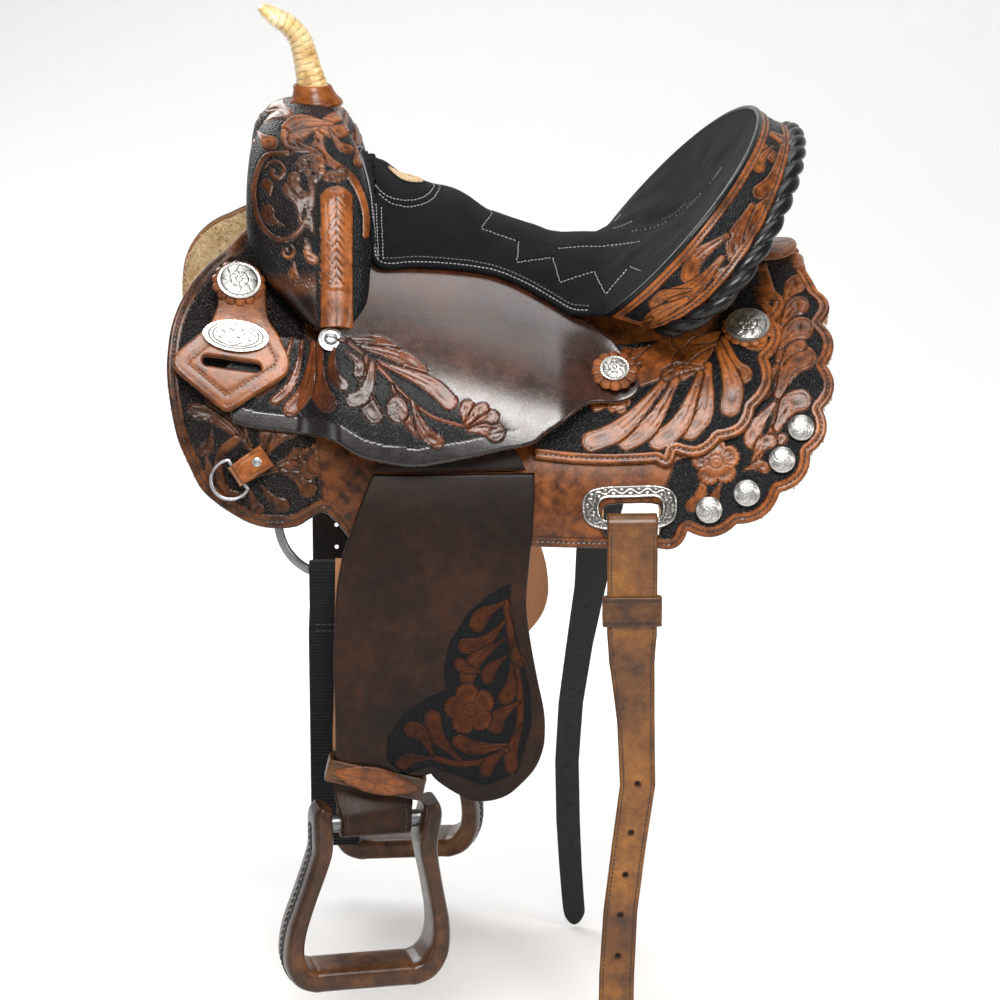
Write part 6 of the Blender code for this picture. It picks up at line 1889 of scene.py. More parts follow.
    # close it underneath
    e = np.concatenate([T[:, [0, 1]], T[:, [1, 2]], T[:, [2, 0]]]).astype(np.int64)
    keys = e[:, 0] * nv + e[:, 1]
    rev = e[:, 1] * nv + e[:, 0]
    open_ = e[~np.isin(keys, rev)]
    low = FV - FN * 0.0024 - FN * np.clip((top - FV) @ np.zeros(3), 0, 0)[:, None]
    W = np.concatenate([top, low])
    walls = np.concatenate([np.stack([open_[:, 1], open_[:, 0], open_[:, 0] + nv], -1), np.stack([open_[:, 1], open_[:, 0] + nv, open_[:, 1] + nv], -1)])
    F = np.concatenate([T, T[:, ::-1] + nv, walls])
    # painted shade: darker in the stitched seams, along the hem rows and inside the hand-hole
    shade = np.clip(0.55 * seam + 0.35 * hem + 1.0 * (1 - smoothstep(0.9, 1.02, hr)), 0, 1)
    ob = make("seat_cover", W, F, dict(shade=np.concatenate([shade, shade * 0])), SUEDE, "saddle", 0)
    ob.data.shade_smooth()
    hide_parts("seat_cover")
    kd2 = KDTree(nv)
    for i, p in enumerate(top):
        kd2.insert(p, i)
    kd2.balance()

    def settle(P):
        out, N = [], []
        for p in P:
            hits = kd2.find_n(p, 4)
            wt = np.array([1 / (h[2] + 0.0003) for h in hits])
            wt /= wt.sum()
            k = [h[1] for h in hits]
            out.append((top[k] * wt[:, None]).sum(0))
            nn = (FN[k] * wt[:, None]).sum(0)
            N.append(nn / np.linalg.norm(nn))
        return np.array(out), np.array(N)
    for s in lines + row2:
        P, N = settle(pts_of(s, new))
        sew(P + N * 0.0002, N, GREY_THREAD, pitch=0.0040, length=0.0031, wide=0.0010, high=0.0007)
    for s in arcs + fr[1:]:
        P, N = settle(pts_of(s, new))
        sew(P + N * 0.0002, N, GREY_THREAD, pitch=0.0038, length=0.0029, wide=0.0010, high=0.0007)
    for s in puck:
        P, N = settle(pts_of(s, new))
        if len(P) > 3:
            sew(P + N * 0.0001, N, DARK_GREY_THREAD, pitch=0.0040, length=0.0030, wide=0.0010, high=0.0006)
    # two rows along the hem
    for d in (0.0048, 0.0105):
        G2 = []
        for i in range(2, m - 2):
            if B[i, 0] > 0.082 or i < 3:
                continue
            dirn = H[i] - B[i]
            Lh = np.linalg.norm(dirn)
            G2.append(B[i] + dirn / Lh * d * 1.02)
        P, N = settle(np.array(G2))
        for _ in range(2):
            P[1:-1] = (P[:-2] + 2 * P[1:-1] + P[2:]) / 4
        sew(P + N * 0.0002, N, GREY_THREAD if d < 0.006 else DARK_GREY_THREAD, pitch=0.0038, length=0.0030, wide=0.0011, high=0.0008)
    # fleece that shows in the hand-hole
    hz = top[np.argmin(np.hypot(top[:, 0] - hc[0], top[:, 1]))][2]
    k = 1400
    aa, rr = RNG.uniform(0, 2 * pi, k), np.sqrt(RNG.uniform(0, 1, k)) * 0.98
    C = np.stack([hc[0] + 0.0180 * rr * np.cos(aa), 0.0155 * rr * np.sin(aa), np.zeros(k)], -1)
    C, N = settle(C + [0, 0, hz])
    curls("hand_hole_fleece", C, N, 0.0030, 0.0008)


def curls(name, C, N, size, thick, pairs=False):
    """Small locks of wool standing on points C."""
    n = len(C)
    side = np.cross(N, RNG.normal(0, 1, (n, 3)))
    side /= np.linalg.norm(side, axis=1)[:, None]
    third = np.cross(N, side)
    rows, k = 6, 5
    sz = RNG.uniform(0.6, 1.2, n) * size
    V = []
    for r in range(rows):
        t = r / (rows - 1)
        a = 3.8 * t
        rad = thick * (1 - 0.7 * t)
        cen = C + N * (sz * np.sin(a) * 0.50 + 0.0003)[:, None] + side * (sz * 0.5 * (1 - np.cos(a)))[:, None]
        for i in range(k):
            V.append(cen + third * (rad * cos(2 * pi * i / k)) + N * (rad * sin(2 * pi * i / k)))
    V = np.stack(V, 1).reshape(-1, 3)
    F = []
    for r in range(rows - 1):
        for i in range(k):
            a, b = r * k + i, r * k + (i + 1) % k
            F += [(a, b, b + k), (a, b + k, a + k)]
    for i in range(1, k - 1):
        F += [(0, i + 1, i), ((rows - 1) * k, (rows - 1) * k + i, (rows - 1) * k + i + 1)]
    F = (np.array(F)[None] + (np.arange(n) * rows * k)[:, None, None]).reshape(-1, 3)
    return make(name, V, F, {}, WOOL, "saddle", 0)


def line_dist3(P, line):
    from mathutils.kdtree import KDTree
    L = even(line, 0.0008)
    kd = KDTree(len(L))
    for i, p in enumerate(L):
        kd.insert(p, i)
    kd.balance()
    r = [kd.find(p) for p in P]
    return np.array([a[2] for a in r]), np.array([a[1] for a in r])


def puff(me, base, nrm, pinned):
    """Cloth pressed up by the padding and held down along its seams."""
    try:
        tmp = me.copy()
        ob = bpy.data.objects.new("seat_cloth", tmp)
        bpy.context.scene.collection.objects.link(ob)
        ob.scale = (1, 1, 1)
        vg = ob.vertex_groups.new(name="pin")
        vg.add([int(i) for i in np.where(pinned)[0]], 1.0, "REPLACE")
        md = ob.modifiers.new("cloth", "CLOTH")
        cs = md.settings
        cs.quality = 7
        cs.mass = 0.35
        cs.air_damping = 6.0
        cs.tension_stiffness = 30
        cs.compression_stiffness = 30
        cs.shear_stiffness = 12
        cs.bending_stiffness = 0.12
        cs.tension_damping = 20
        cs.shrink_min = -0.010
        cs.use_pressure = True
        cs.uniform_pressure_force = 2.2
        cs.vertex_group_mass = "pin"
        cs.effector_weights.gravity = 0.0
        md.collision_settings.use_collision = False
        md.collision_settings.use_self_collision = False
        sc = bpy.context.scene
        md.point_cache.frame_start = 1
        md.point_cache.frame_end = 24
        for f in range(1, 23):
            sc.frame_set(f)
        dg = bpy.context.evaluated_depsgraph_get()
        ev = ob.evaluated_get(dg)
        out = np.zeros(len(base) * 3, np.float32)
        ev.data.vertices.foreach_get("co", out)
        out = out.reshape(-1, 3).astype(float)
        sc.frame_set(1)
        bpy.data.objects.remove(ob)
        if not np.isfinite(out).all() or np.abs(out - base).max() > 0.03:
            d = np.linalg.norm(out - base, axis=1)
            out = base + (out - base) * np.minimum(1, 0.02 / np.maximum(d, 1e-9))[:, None]
            out[~np.isfinite(out)] = base[~np.isfinite(out)]
        return out
    except RuntimeError as e:
        print("cloth:", e)
        return None


# ------------------------------------------------------------------ rigging
def P3(x, y, z, side=-1):
    return np.array([x, side * y, z]) + SHIFT


def d1(x, s, off, side):
    return drape(x, s, off, side)


def unit(v):
    v = np.asarray(v, float)
    return v / np.linalg.norm(v)


def rigging():
    for side in (-1, 1):
        tag = "near" if side < 0 else "off"
        # breast collar dee on its tab
        c = d1(-0.2415, 0.3150, 0.0245, side)
        chord = unit(d1(-0.233, 0.325, 0.0245, side) - d1(-0.250, 0.305, 0.0245, side))
        out = d1(-0.2415, 0.315, 0.0345, side) - c
        out = unit(out - chord * (out @ chord))
        down = np.cross(chord, out)
        if down[2] > 0:
            down = -down
        mid, dr = c + down * 0.0080, 0.0175
        ring = [mid + chord * (dr * cos(a)) + down * (dr * sin(a)) for a in np.radians(np.linspace(-27, 207, 40))]
        ring += [c - chord * (0.0155 - 0.031 * t) for t in (0.12, 0.3, 0.5, 0.7, 0.88)]
        V, F = tube(ring, 0.0017, 14, closed=True)
        ob = make(f"collar_dee_{tag}", V, F, zeros(V), STEEL, f"{tag}_collar_dee", 60)
        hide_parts(f"collar_dee_{tag}")
        up = -down
        path = [c + up * 0.029 - out * 0.0035, c + up * 0.018 - out * 0.0035, c + up * 0.009 - out * 0.0030] + \
               [c + up * (0.0040 * cos(a)) + out * (0.0040 * sin(a)) for a in (-0.9, -0.3, 0.3, 0.9, 1.5, 2.1, 2.7, 3.3, 3.7)]
        V, F, at, *_ = belt(path, lambda i: chord, [0.0225] * 3 + [0.0200] * 9, 0.0020, out=out, coarse=1.4, edge=1.0)
        ob = make(f"dee_tab_{tag}", V, F, at, TOOLED, "saddle", 50)
        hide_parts(f"dee_tab_{tag}")
        # the tongue of the tab lies on the skirt, riveted
        tongue = [c + up * 0.031 + out * 0.0002, c + up * 0.020 + out * 0.0006, c + up * 0.011 + out * 0.0022, c + up * 0.0052 + out * 0.0040, c + up * 0.0020 + out * 0.0054, c - up * 0.0015 + out * 0.0058]
        V, F, at, *_ = belt(tongue, lambda i: chord, [0.0225, 0.0225, 0.0220, 0.0215, 0.0205, 0.0200], 0.0024, out=out, coarse=1.2, edge=1.0)
        make(f"dee_tongue_{tag}", V, F, at, TOOLED, "saddle", 50)
        n = unit(out)
        V, F, at = medal(None, 0, 0, 0, 0.0042, 0.0022, STEEL, style="plain", rings=10, segs=28, at=(c + up * 0.020 + out * 0.0016, chord, up, n))
        make(f"tab_rivet_{tag}", V, F, at, STEEL, "saddle", 50)

        # rigging dee in the skirt's front
        def dee_point(a):
            z = 0.470 + 0.050 * sin(a)
            x = -0.1565 + 0.050 * cos(a)
            z = max(min(z, 0.493), 0.4240)
            k = max((z - BACK_Z) / (height(x) + 0.0062), 0)
            return P3(x, (width(-0.1565) + 0.0062) * sqrt(1 - k * k), z, side)
        pts = np.array([dee_point(radians(152 + 236 * k / 60)) for k in range(61)])
        pts = np.concatenate([pts, np.linspace(pts[-1], pts[0], 12)[1:-1]])
        for _ in range(3):
            pts = (np.roll(pts, 1, 0) + 2 * pts + np.roll(pts, -1, 0)) / 4
        V, F = tube(pts, 0.0041, 18, closed=True)
        ob = make(f"rigging_dee_{tag}", V, F, zeros(V), DARK_STEEL, "saddle", 60)
        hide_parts(f"rigging_dee_{tag}")

        # latigo (near) and girth billet (off)
        low = dee_point(radians(270))
        tilt = radians(14)
        dn = np.array([0, -side * sin(tilt), -cos(tilt)])
        of = np.array([0, side * cos(tilt), -sin(tilt)])
        length = 0.290 if side < 0 else 0.340
        rr = 0.0090
        path = [low - of * 0.0040 + dn * 0.046, low - of * 0.0066 + dn * 0.026, low - of * rr + dn * 0.008] + \
               [low + of * (rr * sin(a)) - dn * (rr * cos(a)) for a in (-1.2, -0.8, -0.4, 0.0, 0.4, 0.8, 1.2)] + \
               [low + of * rr + dn * 0.008, low + of * 0.0052 + dn * 0.034, low + of * 0.0022 + dn * 0.062]
        k0 = len(path)
        path += [low + dn * d + of * 0.002 for d in np.linspace(0.10, length, 7)]
        W = [0.0456] * (k0 - 1) + [0.048] + ([0.048] * 6 + [0.0384] if side < 0 else [0.048, 0.047, 0.044, 0.040, 0.034, 0.029, 0.024])
        T = 0.0030 if side < 0 else 0.0036
        name, body = ("latigo_near", "near_latigo") if side < 0 else ("off_billet", "off_girth_billet")
        holes = [] if side < 0 else [(0, 120 + 22 * i, 2.0) for i in range(9)]

        def rel(uv, pts_, e, b, side=side):
            if side < 0:
                b["cut"] *= 0
                b["h"] = 0.25 * (np.abs((uv[:, 1] / 2.4) % 1 - 0.5) < 0.3) * (e > 1.5)
        V, F, at, place, L, outl = belt(path, lambda i: np.array([1.0, 0, 0]), W, T, out=of, holes=holes, relief=rel, coarse=2.6 if side > 0 else 1.6)
        at["flesh"] = at["flesh"] * 0
        ob = make(name, V, F, at, NYLON if side < 0 else BLACKL, body, 50)
        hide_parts(name)
        # lacing that holds the loop shut
        v0 = float(np.interp(0.5, [0, 1], [L - length * 1000 + 52, L - length * 1000 + 52]))
        for dv in (0, 7):
            line = np.stack([np.linspace(-18, 18, 20), np.full(20, v0 + dv)], -1)
            A, N = on_sheet(place, line, T * 1000 + 0.2)
            sew(A, N, LACE if side < 0 else GREY_THREAD, body="saddle", pitch=0.0052, length=0.0046, wide=0.0018, high=0.0010, both=False)
            SEWN.setdefault((("black_lace" if side < 0 else "grey_thread"), body), []).append(SEWN[(("black_lace" if side < 0 else "grey_thread"), "saddle")].pop())


def spread(pts, n):
    """The path as it is, unchanged."""
    return pts


def billets():
    for side in (-1, 1):
        tag = "near" if side < 0 else "off"
        bar = d1(0.110, 0.3405, 0.0189, side)
        rr = 0.0088
        dn = unit([0, side * (0.020 if side < 0 else -0.120), -1])
        of = np.array([0, side, 0.0])
        of = unit(of - dn * (of @ dn))
        T = 0.0038
        path = [bar - of * rr + dn * 0.0016, bar - of * rr + dn * 0.0004] + \
               [bar + of * (rr * sin(a)) - dn * (rr * cos(a)) for a in (-1.25, -0.75, -0.25, 0.25, 0.75, 1.25)] + \
               [bar + of * rr + dn * 0.003] + [bar + of * (rr + 0.0003) + dn * d for d in (0.029, 0.055, 0.077, 0.098)]
        n0 = len(path)
        bow = ([(0.125, 0.000), (0.18, 0.004), (0.24, 0.006), (0.30, -0.002), (0.36, -0.009), (0.42, -0.012), (0.470, -0.0126), (0.515, -0.013), (0.529, -0.013)]
               if side < 0 else
               [(0.125, -0.004), (0.18, -0.011), (0.24, -0.022), (0.30, -0.031), (0.36, -0.035), (0.42, -0.034), (0.470, -0.0315), (0.515, -0.028), (0.529, -0.028)])
        path += [bar + of * (rr + 0.0003) + dn * b[0] for b in bow]
        shifts = [0.0] * n0 + [b[1] for b in bow]
        wides = [0.045] * n0 + ([0.041, 0.034, 0.032, 0.031, 0.031, 0.032, 0.032, 0.030, 0.024] if side < 0 else
                                [0.040, 0.032, 0.027, 0.025, 0.024, 0.024, 0.023, 0.022, 0.018])
        across = lambda i: np.array([1.0, 0, 0])
        # where the holes fall: found from their heights on the elevation
        plain = belt(path, across, wides, T, shift=shifts, out=of, coarse=20, edge=8)
        place, L = plain[3], plain[4]
        vv = np.linspace(60, L - 8, 900)
        yy = sheet_xy(place(np.zeros(900), vv, np.full(900, T * 1000)))[:, 1]
        want = (784, 833, 875, 915, 956) if side < 0 else (606, 647, 688, 725, 765, 805, 845)
        holes = [(0.0, float(np.interp(y, yy, vv)), 2.1) for y in want]
        Wend = wides[-1] * 500
        V, F, at, place, L, outl = belt(path, across, wides, T, shift=shifts, out=of, holes=holes, coarse=2.4, edge=1.5, round_=16.0 if side > 0 else 9.0)
        # dark plugs set in the punched holes: painted shadow where the holes would show through
        shadow_plugs = []
        for x, y, rr_ in holes:
            a = np.arange(14) * 2 * pi / 14
            cen = place(np.array([x]), np.array([y]), np.array([0.9]))
            ring = [place(x + (rr_ + 0.25) * np.cos(a), y + (rr_ + 0.25) * np.sin(a), np.full(14, h)) for h in (0.5, 1.1)]
            shadow_plugs.append(loft_np(ring))
        Vp, Fp = join(shadow_plugs)
        make(f"billet_holes_{tag}", Vp, Fp, zeros(Vp), HOLE_SHADOW, f"{tag}_flank_billet", 30)
        if side > 0:
            at["flesh"] = at["flesh"] * 0
        ob = make(f"flank_billet_{tag}", V, F, at, BILLET_L if side < 0 else BLACKL, f"{tag}_flank_billet", 50)
        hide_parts(f"flank_billet_{tag}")
        thread_ = BROWN_THREAD if side < 0 else DARK_GREY_THREAD
        lines = []
        for u in (-15.0, 15.0):
            v = np.linspace(42, L - 18, 500)
            hw = np.interp(v, outl[: len(outl) // 2 - 1, 1], -outl[: len(outl) // 2 - 1, 0]) if False else None
            lines.append(v)
        # two seams near the fold, where the strap is doubled
        k_ = len(outl) // 2
        for sg, part in ((1, outl[:k_ - 1]), (-1, outl[k_ + 1:][::-1])):
            part = part[(part[:, 1] > 32) & (part[:, 1] < L - 14)]
            part = np.stack([part[:, 0] + sg * 3.4, part[:, 1]], -1)
            A, N = on_sheet(place, even(part, 3.0), T * 1000 - 0.1)
            sew(A, N, thread_, body="saddle", pitch=0.0042, length=0.0036, wide=0.0012, high=0.0008, both=False)
            SEWN.setdefault((thread_.name, f"{tag}_flank_billet"), []).append(SEWN[(thread_.name, "saddle")].pop())
        # keeper: a closed loop of leather with a tooled face
        kc = bar + of * (rr + 0.0003) + dn * 0.077
        hx, hy, t = 0.045 / 2 + 0.0014 + 0.0014, T / 2 + 0.0012 + 0.0014, 0.0028
        cx = np.array([1.0, 0, 0])
        seg = []
        r = 0.0012
        for (sx_, sy_), a0 in (((-1, -1), 180), ((1, -1), 270), ((1, 1), 0), ((-1, 1), 90)):
            for a in np.radians(np.linspace(a0, a0 + 90, 4)):
                seg.append(kc + cx * (sx_ * (hx - r) + r * cos(a)) + of * (sy_ * (hy - r) + r * sin(a)))
        front = seg[8:12]
        loop = [kc - of * hy + cx * 0.001] + seg[4:8] + seg[8:12] + seg[12:16] + seg[0:4] + [kc - of * hy - cx * 0.001]
        loop = np.array(loop)
        fine = [loop[0]]
        for p, q in zip(loop, loop[1:]):
            k = max(1, int(np.linalg.norm(q - p) / 0.003))
            fine += [p + (q - p) * j / k for j in range(1, k + 1)]

        def rel(uv, pts_, e, b):
            lace = np.abs(((uv[:, 0] + uv[:, 1] * 0.6) / 5.0) % 1 - 0.5) < 0.07
            b["cut"] = np.maximum(b["cut"], 0.0 * lace)
        V, F, at = band_mesh(np.array(fine), dn, 0.027, t, kc)
        ob = make(f"billet_keeper_{tag}", V, F, at, STIRRUP_L if side < 0 else BLACKL, f"{tag}_billet_keeper", 50)
        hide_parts(f"billet_keeper_{tag}")


def band_mesh(path, axis, wide, t, centre, n=22):
    """A closed band: a rounded oblong section swept round a loop of points."""
    P = np.asarray(path, float)[:-1]
    m = len(P)
    T = np.roll(P, -1, 0) - np.roll(P, 1, 0)
    T /= np.linalg.norm(T, axis=1)[:, None]
    A = np.broadcast_to(unit(axis), P.shape)
    N = np.cross(A, T)
    N /= np.linalg.norm(N, axis=1)[:, None]
    if (N * (P - centre)).sum() < 0:
        N = -N
    hw, ht, r = wide / 2, t / 2, t * 0.42
    sec, ed, cut, face = [], [], [], []
    k = 12
    for i in range(k + 1):
        u = -hw + r + (2 * hw - 2 * r) * i / k
        e = hw - abs(u)
        groove = exp(-((e - 0.0032) / 0.0004) ** 2)
        sec.append((u, ht - 0.0003 * groove))
        cut.append(0.8 * groove)
        face.append(0)
    for a in (60, 30, 0, -30, -60):
        sec.append((hw - r + r * cos(radians(a)), (ht - r) * (1 if a >= 0 else -1) * 1.0 + r * sin(radians(a))))
        cut.append(0.1)
        face.append(0)
    sec.append((hw - r, -ht)); cut.append(0); face.append(1)
    sec.append((-hw + r, -ht)); cut.append(0); face.append(1)
    for a in (-120, -150, 180, 150, 120):
        sec.append((-hw + r + r * cos(radians(a)), (ht - r) * (1 if a > 0 else -1) + r * sin(radians(a))))
        cut.append(0.1)
        face.append(0)
    S = np.array(sec)
    R = P[:, None] + A[:, None] * S[None, :, 0:1] + N[:, None] * S[None, :, 1:2]
    V, F = loft_np(R, closed=True)
    return V, F, zeros(V, cut=np.tile(cut, m), flesh=np.tile(face, m).astype(float), leaf=1.0)


# ------------------------------------------------------------------ fender, leather, stirrup
FENDER_MARKS = [
    stem([(506, 603), (514, 654), (520, 698), (517, 734), (495, 757), (460, 764), (433, 757)], 8, 6),
    leaf(503, 603, 476, 630, 12, 3), leaf(504, 622, 462, 646, 12, -5), leaf(504, 640, 466, 680, 12, 4), leaf(506, 656, 487, 682, 10, 2),
    leaf(512, 664, 502, 702, 11, -2), leaf(519, 702, 494, 732, 12, 3), leaf(512, 744, 456, 740, 11, -4), leaf(522, 724, 512, 770, 10, 2),
    leaf(508, 750, 485, 776, 10, 3), leaf(460, 760, 432, 714, 12, -4), leaf(432, 755, 406, 728, 12, 4), leaf(430, 758, 399, 767, 10, 2),
    leaf(514, 640, 524, 664, 9, 2), leaf(480, 672, 458, 660, 9, -2), flower(470, 709, 26, 5, 0.5),
]
FENDER_BLACK = np.array([(511, 583), (509, 609), (530, 690), (531, 725), (517, 772), (484, 786), (450, 773), (429, 766), (404, 776), (386, 760),
                         (388, 737), (405, 712), (425, 699), (446, 690), (444, 668), (450, 642), (468, 613), (490, 594)], float)


def fender_profile():
    sx, sz = -0.055, 0.575
    FLARE_Z = 0.516
    IN = 0.0235
    a0 = acos((sz - BACK_Z) / (height(sx) + IN))
    s0 = a0 * PATTERN_R
    a1 = acos((FLARE_Z + 0.0008 - BACK_Z) / (height(sx) + IN))
    s1 = a1 * PATTERN_R
    return sx, s0, s1, FLARE_Z, IN


def fender():
    sx, s0, s1, zt, IN = fender_profile()
    half = 0.036
    head = [(sx + half * cos(a), s0 - half * 0.93 * sin(a)) for a in np.linspace(0, pi, 24)]
    outline = [(x * 1000, s * 1000) for x, s in head] + [((sx - 0.052) * 1000, (s0 + 0.022) * 1000), ((sx - 0.064) * 1000, s1 * 1000),
                                                          ((sx + 0.070) * 1000, s1 * 1000), ((sx + 0.050) * 1000, (s0 + 0.022) * 1000)]

    def hang(u, v, h):
        p = drape(sx, v / 1000, IN + h / 1000)
        q = np.array(p)
        q[..., 0] = np.asarray(u) / 1000 + SHIFT[0]
        return q
    V, F, at = solid_sheet(outline, hang, 6.0, lambda uv, p, d: {"h": 0 * d, "ink": 0 * d, "leaf": 0 * d + 1, "cut": 0 * d, "dent": 0 * d, "shade": 0 * d + 0.4},
                           coarse=4, edge=2.0, r=1.5)
    swap(pair("fender_strap", V, F, at, FENDER_L, "fender_strap", move=off_swing), "fender_strap")

    # the fender
    y_top = abs((drape(sx, s1, IN) - SHIFT)[1]) + 0.0022

    def fy(z):
        t = np.clip((zt - z) / 0.085, 0, 1)
        return y_top + (0.245 - y_top) * (t * (2 - t))

    def place(u, v, h):
        u, v, h = np.broadcast_arrays(np.asarray(u, float), np.asarray(v, float), np.asarray(h, float))
        z = v / 1000
        return np.stack([u / 1000, -(fy(z) + h / 1000), z], -1) + SHIFT
    left = smooth_line([(-122, 515.6), (-133, 490), (-144, 460), (-150, 441), (-155, 410), (-157, 375), (-158, 338), (-157, 290), (-157, 254)], 6)
    right = smooth_line([(23, 515.6), (21, 470), (17, 430), (15, 400), (18, 370), (25, 330), (31, 300), (32, 278), (30, 262), (23, 245), (10, 230),
                         (-2, 220), (-17, 215), (-34, 215), (-46, 221), (-57, 228), (-66, 235), (-71, 241)], 6)
    outline = np.concatenate([left, [(-155, 246), (-83, 238)], right[::-1]])
    box_ = (-125, 205, 50, 430)

    def dense(Q):
        return (Q[:, 0] > -122) & (Q[:, 1] < 432)

    def relief(uv, pts, d):
        XY = sheet_xy(pts)
        h, lf, cut, dent = carve(XY, FENDER_MARKS, high=1.0)
        reg = inside(XY, FENDER_BLACK).astype(float)
        bd, _ = line_dist(XY, FENDER_BLACK)
        sd = np.where(reg > 0, bd, -bd)
        soft = smoothstep(-0.4, 0.4, sd)
        lf = np.maximum(lf, 0)
        ink = soft * (1 - lf)
        rimc = np.exp(-(sd / 0.8) ** 2)
        e, _ = line_dist(uv, outline)
        line = np.exp(-((e - 5.0) / 0.5) ** 2)
        h = np.where(soft * (1 - lf) > 0.5, -0.1, np.where(lf > 0.4, h, 0.95))
        h -= 0.35 * rimc + 0.3 * line
        cutv = np.maximum(np.maximum(cut * np.maximum(soft, lf), rimc), line * 0.7)
        u, v = uv[:, 0], uv[:, 1]
        # the panel is creased by its riders: soft broad folds in the leather
        fold = 0.7 * np.sin((v + 0.25 * u) / 17.0 + 1.2 * np.sin(u / 60)) * np.exp(-((v - 455) / 30) ** 2)
        paint = np.clip(lf * 1.0, 0, 1)
        # the plain leather darkens toward the fender's top, where it hangs under the skirt: painted shadow
        return {"h": h + fold, "ink": ink, "leaf": lf, "cut": cutv, "dent": dent * lf, "shade": 0.35 * (1 - paint) * (1 - soft) * smoothstep(400, 500, v) + 0 * d,
                "gold": paint}
    V, F, at = solid_sheet(outline, place, 3.0, relief, coarse=4.0, fine=1.25, dense=dense, edge=1.8, r=1.3)
    swap(pair("fender", V, F, at, FENDER_L, "fender", move=off_swing), "fender")
    L = inset(resample(outline, 2.0), 5.0)
    dd, _ = line_dist(L, outline)
    L = L[(dd > 4.6) & (L[:, 1] < 508)]


def hardware(side):
    """Leather, hobble strap and stirrup of one side; the off ones are let out one hole and hung five degrees back."""
    tag = "near" if side < 0 else "off"
    bz = 0.1950 if side < 0 else 0.1590

    def fix(V):
        return V if side < 0 else off_swing(mirrored(V))

    def out_(name, V, F, at, mat, body, node=None, sharp=50):
        G = F if side < 0 else F[:, ::-1]
        ob = make(f"{name}_{tag}", fix(V), G, at, mat, f"{tag}_{body}", sharp)
        if node:
            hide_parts(f"{node}_{tag}")
        return ob

    def stitch(place, line, h, mat, body, **kw):
        A, N = on_sheet(place, line, h)
        sew(A, N, mat, body="saddle", both=False, **kw)
        V, F = SEWN[(mat.name, "saddle")].pop()
        SEWN.setdefault((mat.name, f"{tag}_{body}"), []).append((fix(V), F if side < 0 else F[:, ::-1]))
    FY, ST, FT = 0.245, 0.0040, 0.0038
    yaw = radians(11)
    bx, by = -0.1225, FY - 0.0045
    bolt = P3(bx, by, bz)
    axis = np.array([cos(yaw), sin(yaw), 0])
    nrm = np.array([-sin(yaw), cos(yaw), 0])
    if nrm[1] > 0:
        nrm = -nrm
    rr = 0.008 + 0.0012 + ST / 2
    up = np.array([0, 0, 1.0])
    inner, outer = FY - 0.0084, FY - 0.0034
    path = [P3(bx + 0.004, inner, 0.440), P3(bx + 0.003, inner, 0.390), P3(bx + 0.002, inner, 0.340), P3(bx + 0.001, inner, 0.300), P3(bx, inner, 0.270), P3(bx, inner, 0.226)]
    turns = [0.0, 0.0, 0.0, 0.0, 0.0, 0.12]
    path.append(bolt - nrm * (rr - 0.0004) + up * 0.010)
    turns.append(0.95)
    for k in range(9):
        a = pi * k / 8
        path.append(bolt - nrm * (rr * cos(a)) - up * (rr * sin(a)))
        turns.append(1.0)
    path.append(bolt + nrm * (rr - 0.0004) + up * 0.010)
    turns.append(0.95)
    path += [P3(bx, outer, 0.226), P3(bx, outer, 0.262)]
    turns += [0.12, 0.0]
    W = [0.074 - 0.010 * t for t in turns]
    V, F, at, place, L, outl = belt(path, lambda i: np.array([cos(yaw * turns[i]), sin(yaw * turns[i]), 0]), W, ST, out=nrm, coarse=2.6, edge=1.6,
                                    relief=lambda uv, p, e, b: b.update(shade=0.35 + 0 * e))
    out_("stirrup_leather", V, F, at, LEATHER_D, "fender", "stirrup_leather")
    for u in (-27, 27):
        stitch(place, np.stack([np.full(30, u), np.linspace(L - 78, L - 34, 30)], -1), ST * 1000, BROWN_THREAD, "fender",
               pitch=0.0042, length=0.0034, wide=0.0012, high=0.0008)
    # hobble strap, with a badge on its outside
    sl = radians(13)
    slant, rise = np.array([cos(sl), 0, -sin(sl)]), np.array([sin(sl), 0, cos(sl)])
    hc = P3(-0.1211, (FY - 0.0165 + FY + FT + 0.0012) / 2, 0.2370)
    hw, hy, t = 0.0425 + 0.0013, (FT + 0.0012 + 0.0165) / 2 + 0.0013, 0.0026
    ob_, r = np.array([0, -1.0, 0]), 0.0030
    seg = []
    for (sx_, sy_), a0 in (((1, -1), 270), ((1, 1), 0), ((-1, 1), 90), ((-1, -1), 180)):
        for a in np.radians(np.linspace(a0, a0 + 90, 5)):
            seg.append(hc + slant * (sx_ * (hw - r) + r * cos(a)) + ob_ * (sy_ * (hy - r) + r * sin(a)))
    seg = seg + [seg[0]]
    fine = [seg[0]]
    for p, q in zip(seg, seg[1:]):
        k = max(1, int(np.linalg.norm(q - p) / 0.003))
        fine += [p + (q - p) * j / k for j in range(1, k + 1)]
    V, F, at = band_mesh(np.array(fine), rise, 0.0210, t, hc)
    out_("hobble_strap", V, F, at, STIRRUP_L, "fender", "hobble_strap")
    face = hc + ob_ * (hy + t / 2)

    def hob(u, v, h):
        u, v, h = np.broadcast_arrays(np.asarray(u, float), np.asarray(v, float), np.asarray(h, float))
        return face + slant * (u / 1000)[..., None] + rise * (v / 1000)[..., None] + ob_ * (h / 1000)[..., None]
    for v in (-7.6, 7.6):
        stitch(hob, np.stack([np.linspace(-40, 40, 60), np.full(60, v)], -1), 0.1, BROWN_THREAD, "fender", pitch=0.0042, length=0.0036, wide=0.0013, high=0.0008)
    a = np.linspace(0, 2 * pi, 64, endpoint=False)
    eye = np.stack([39 * np.cos(a), 12.4 * np.sin(a) * (1 - 0.42 * np.cos(a) ** 2) ** 1.0], -1)

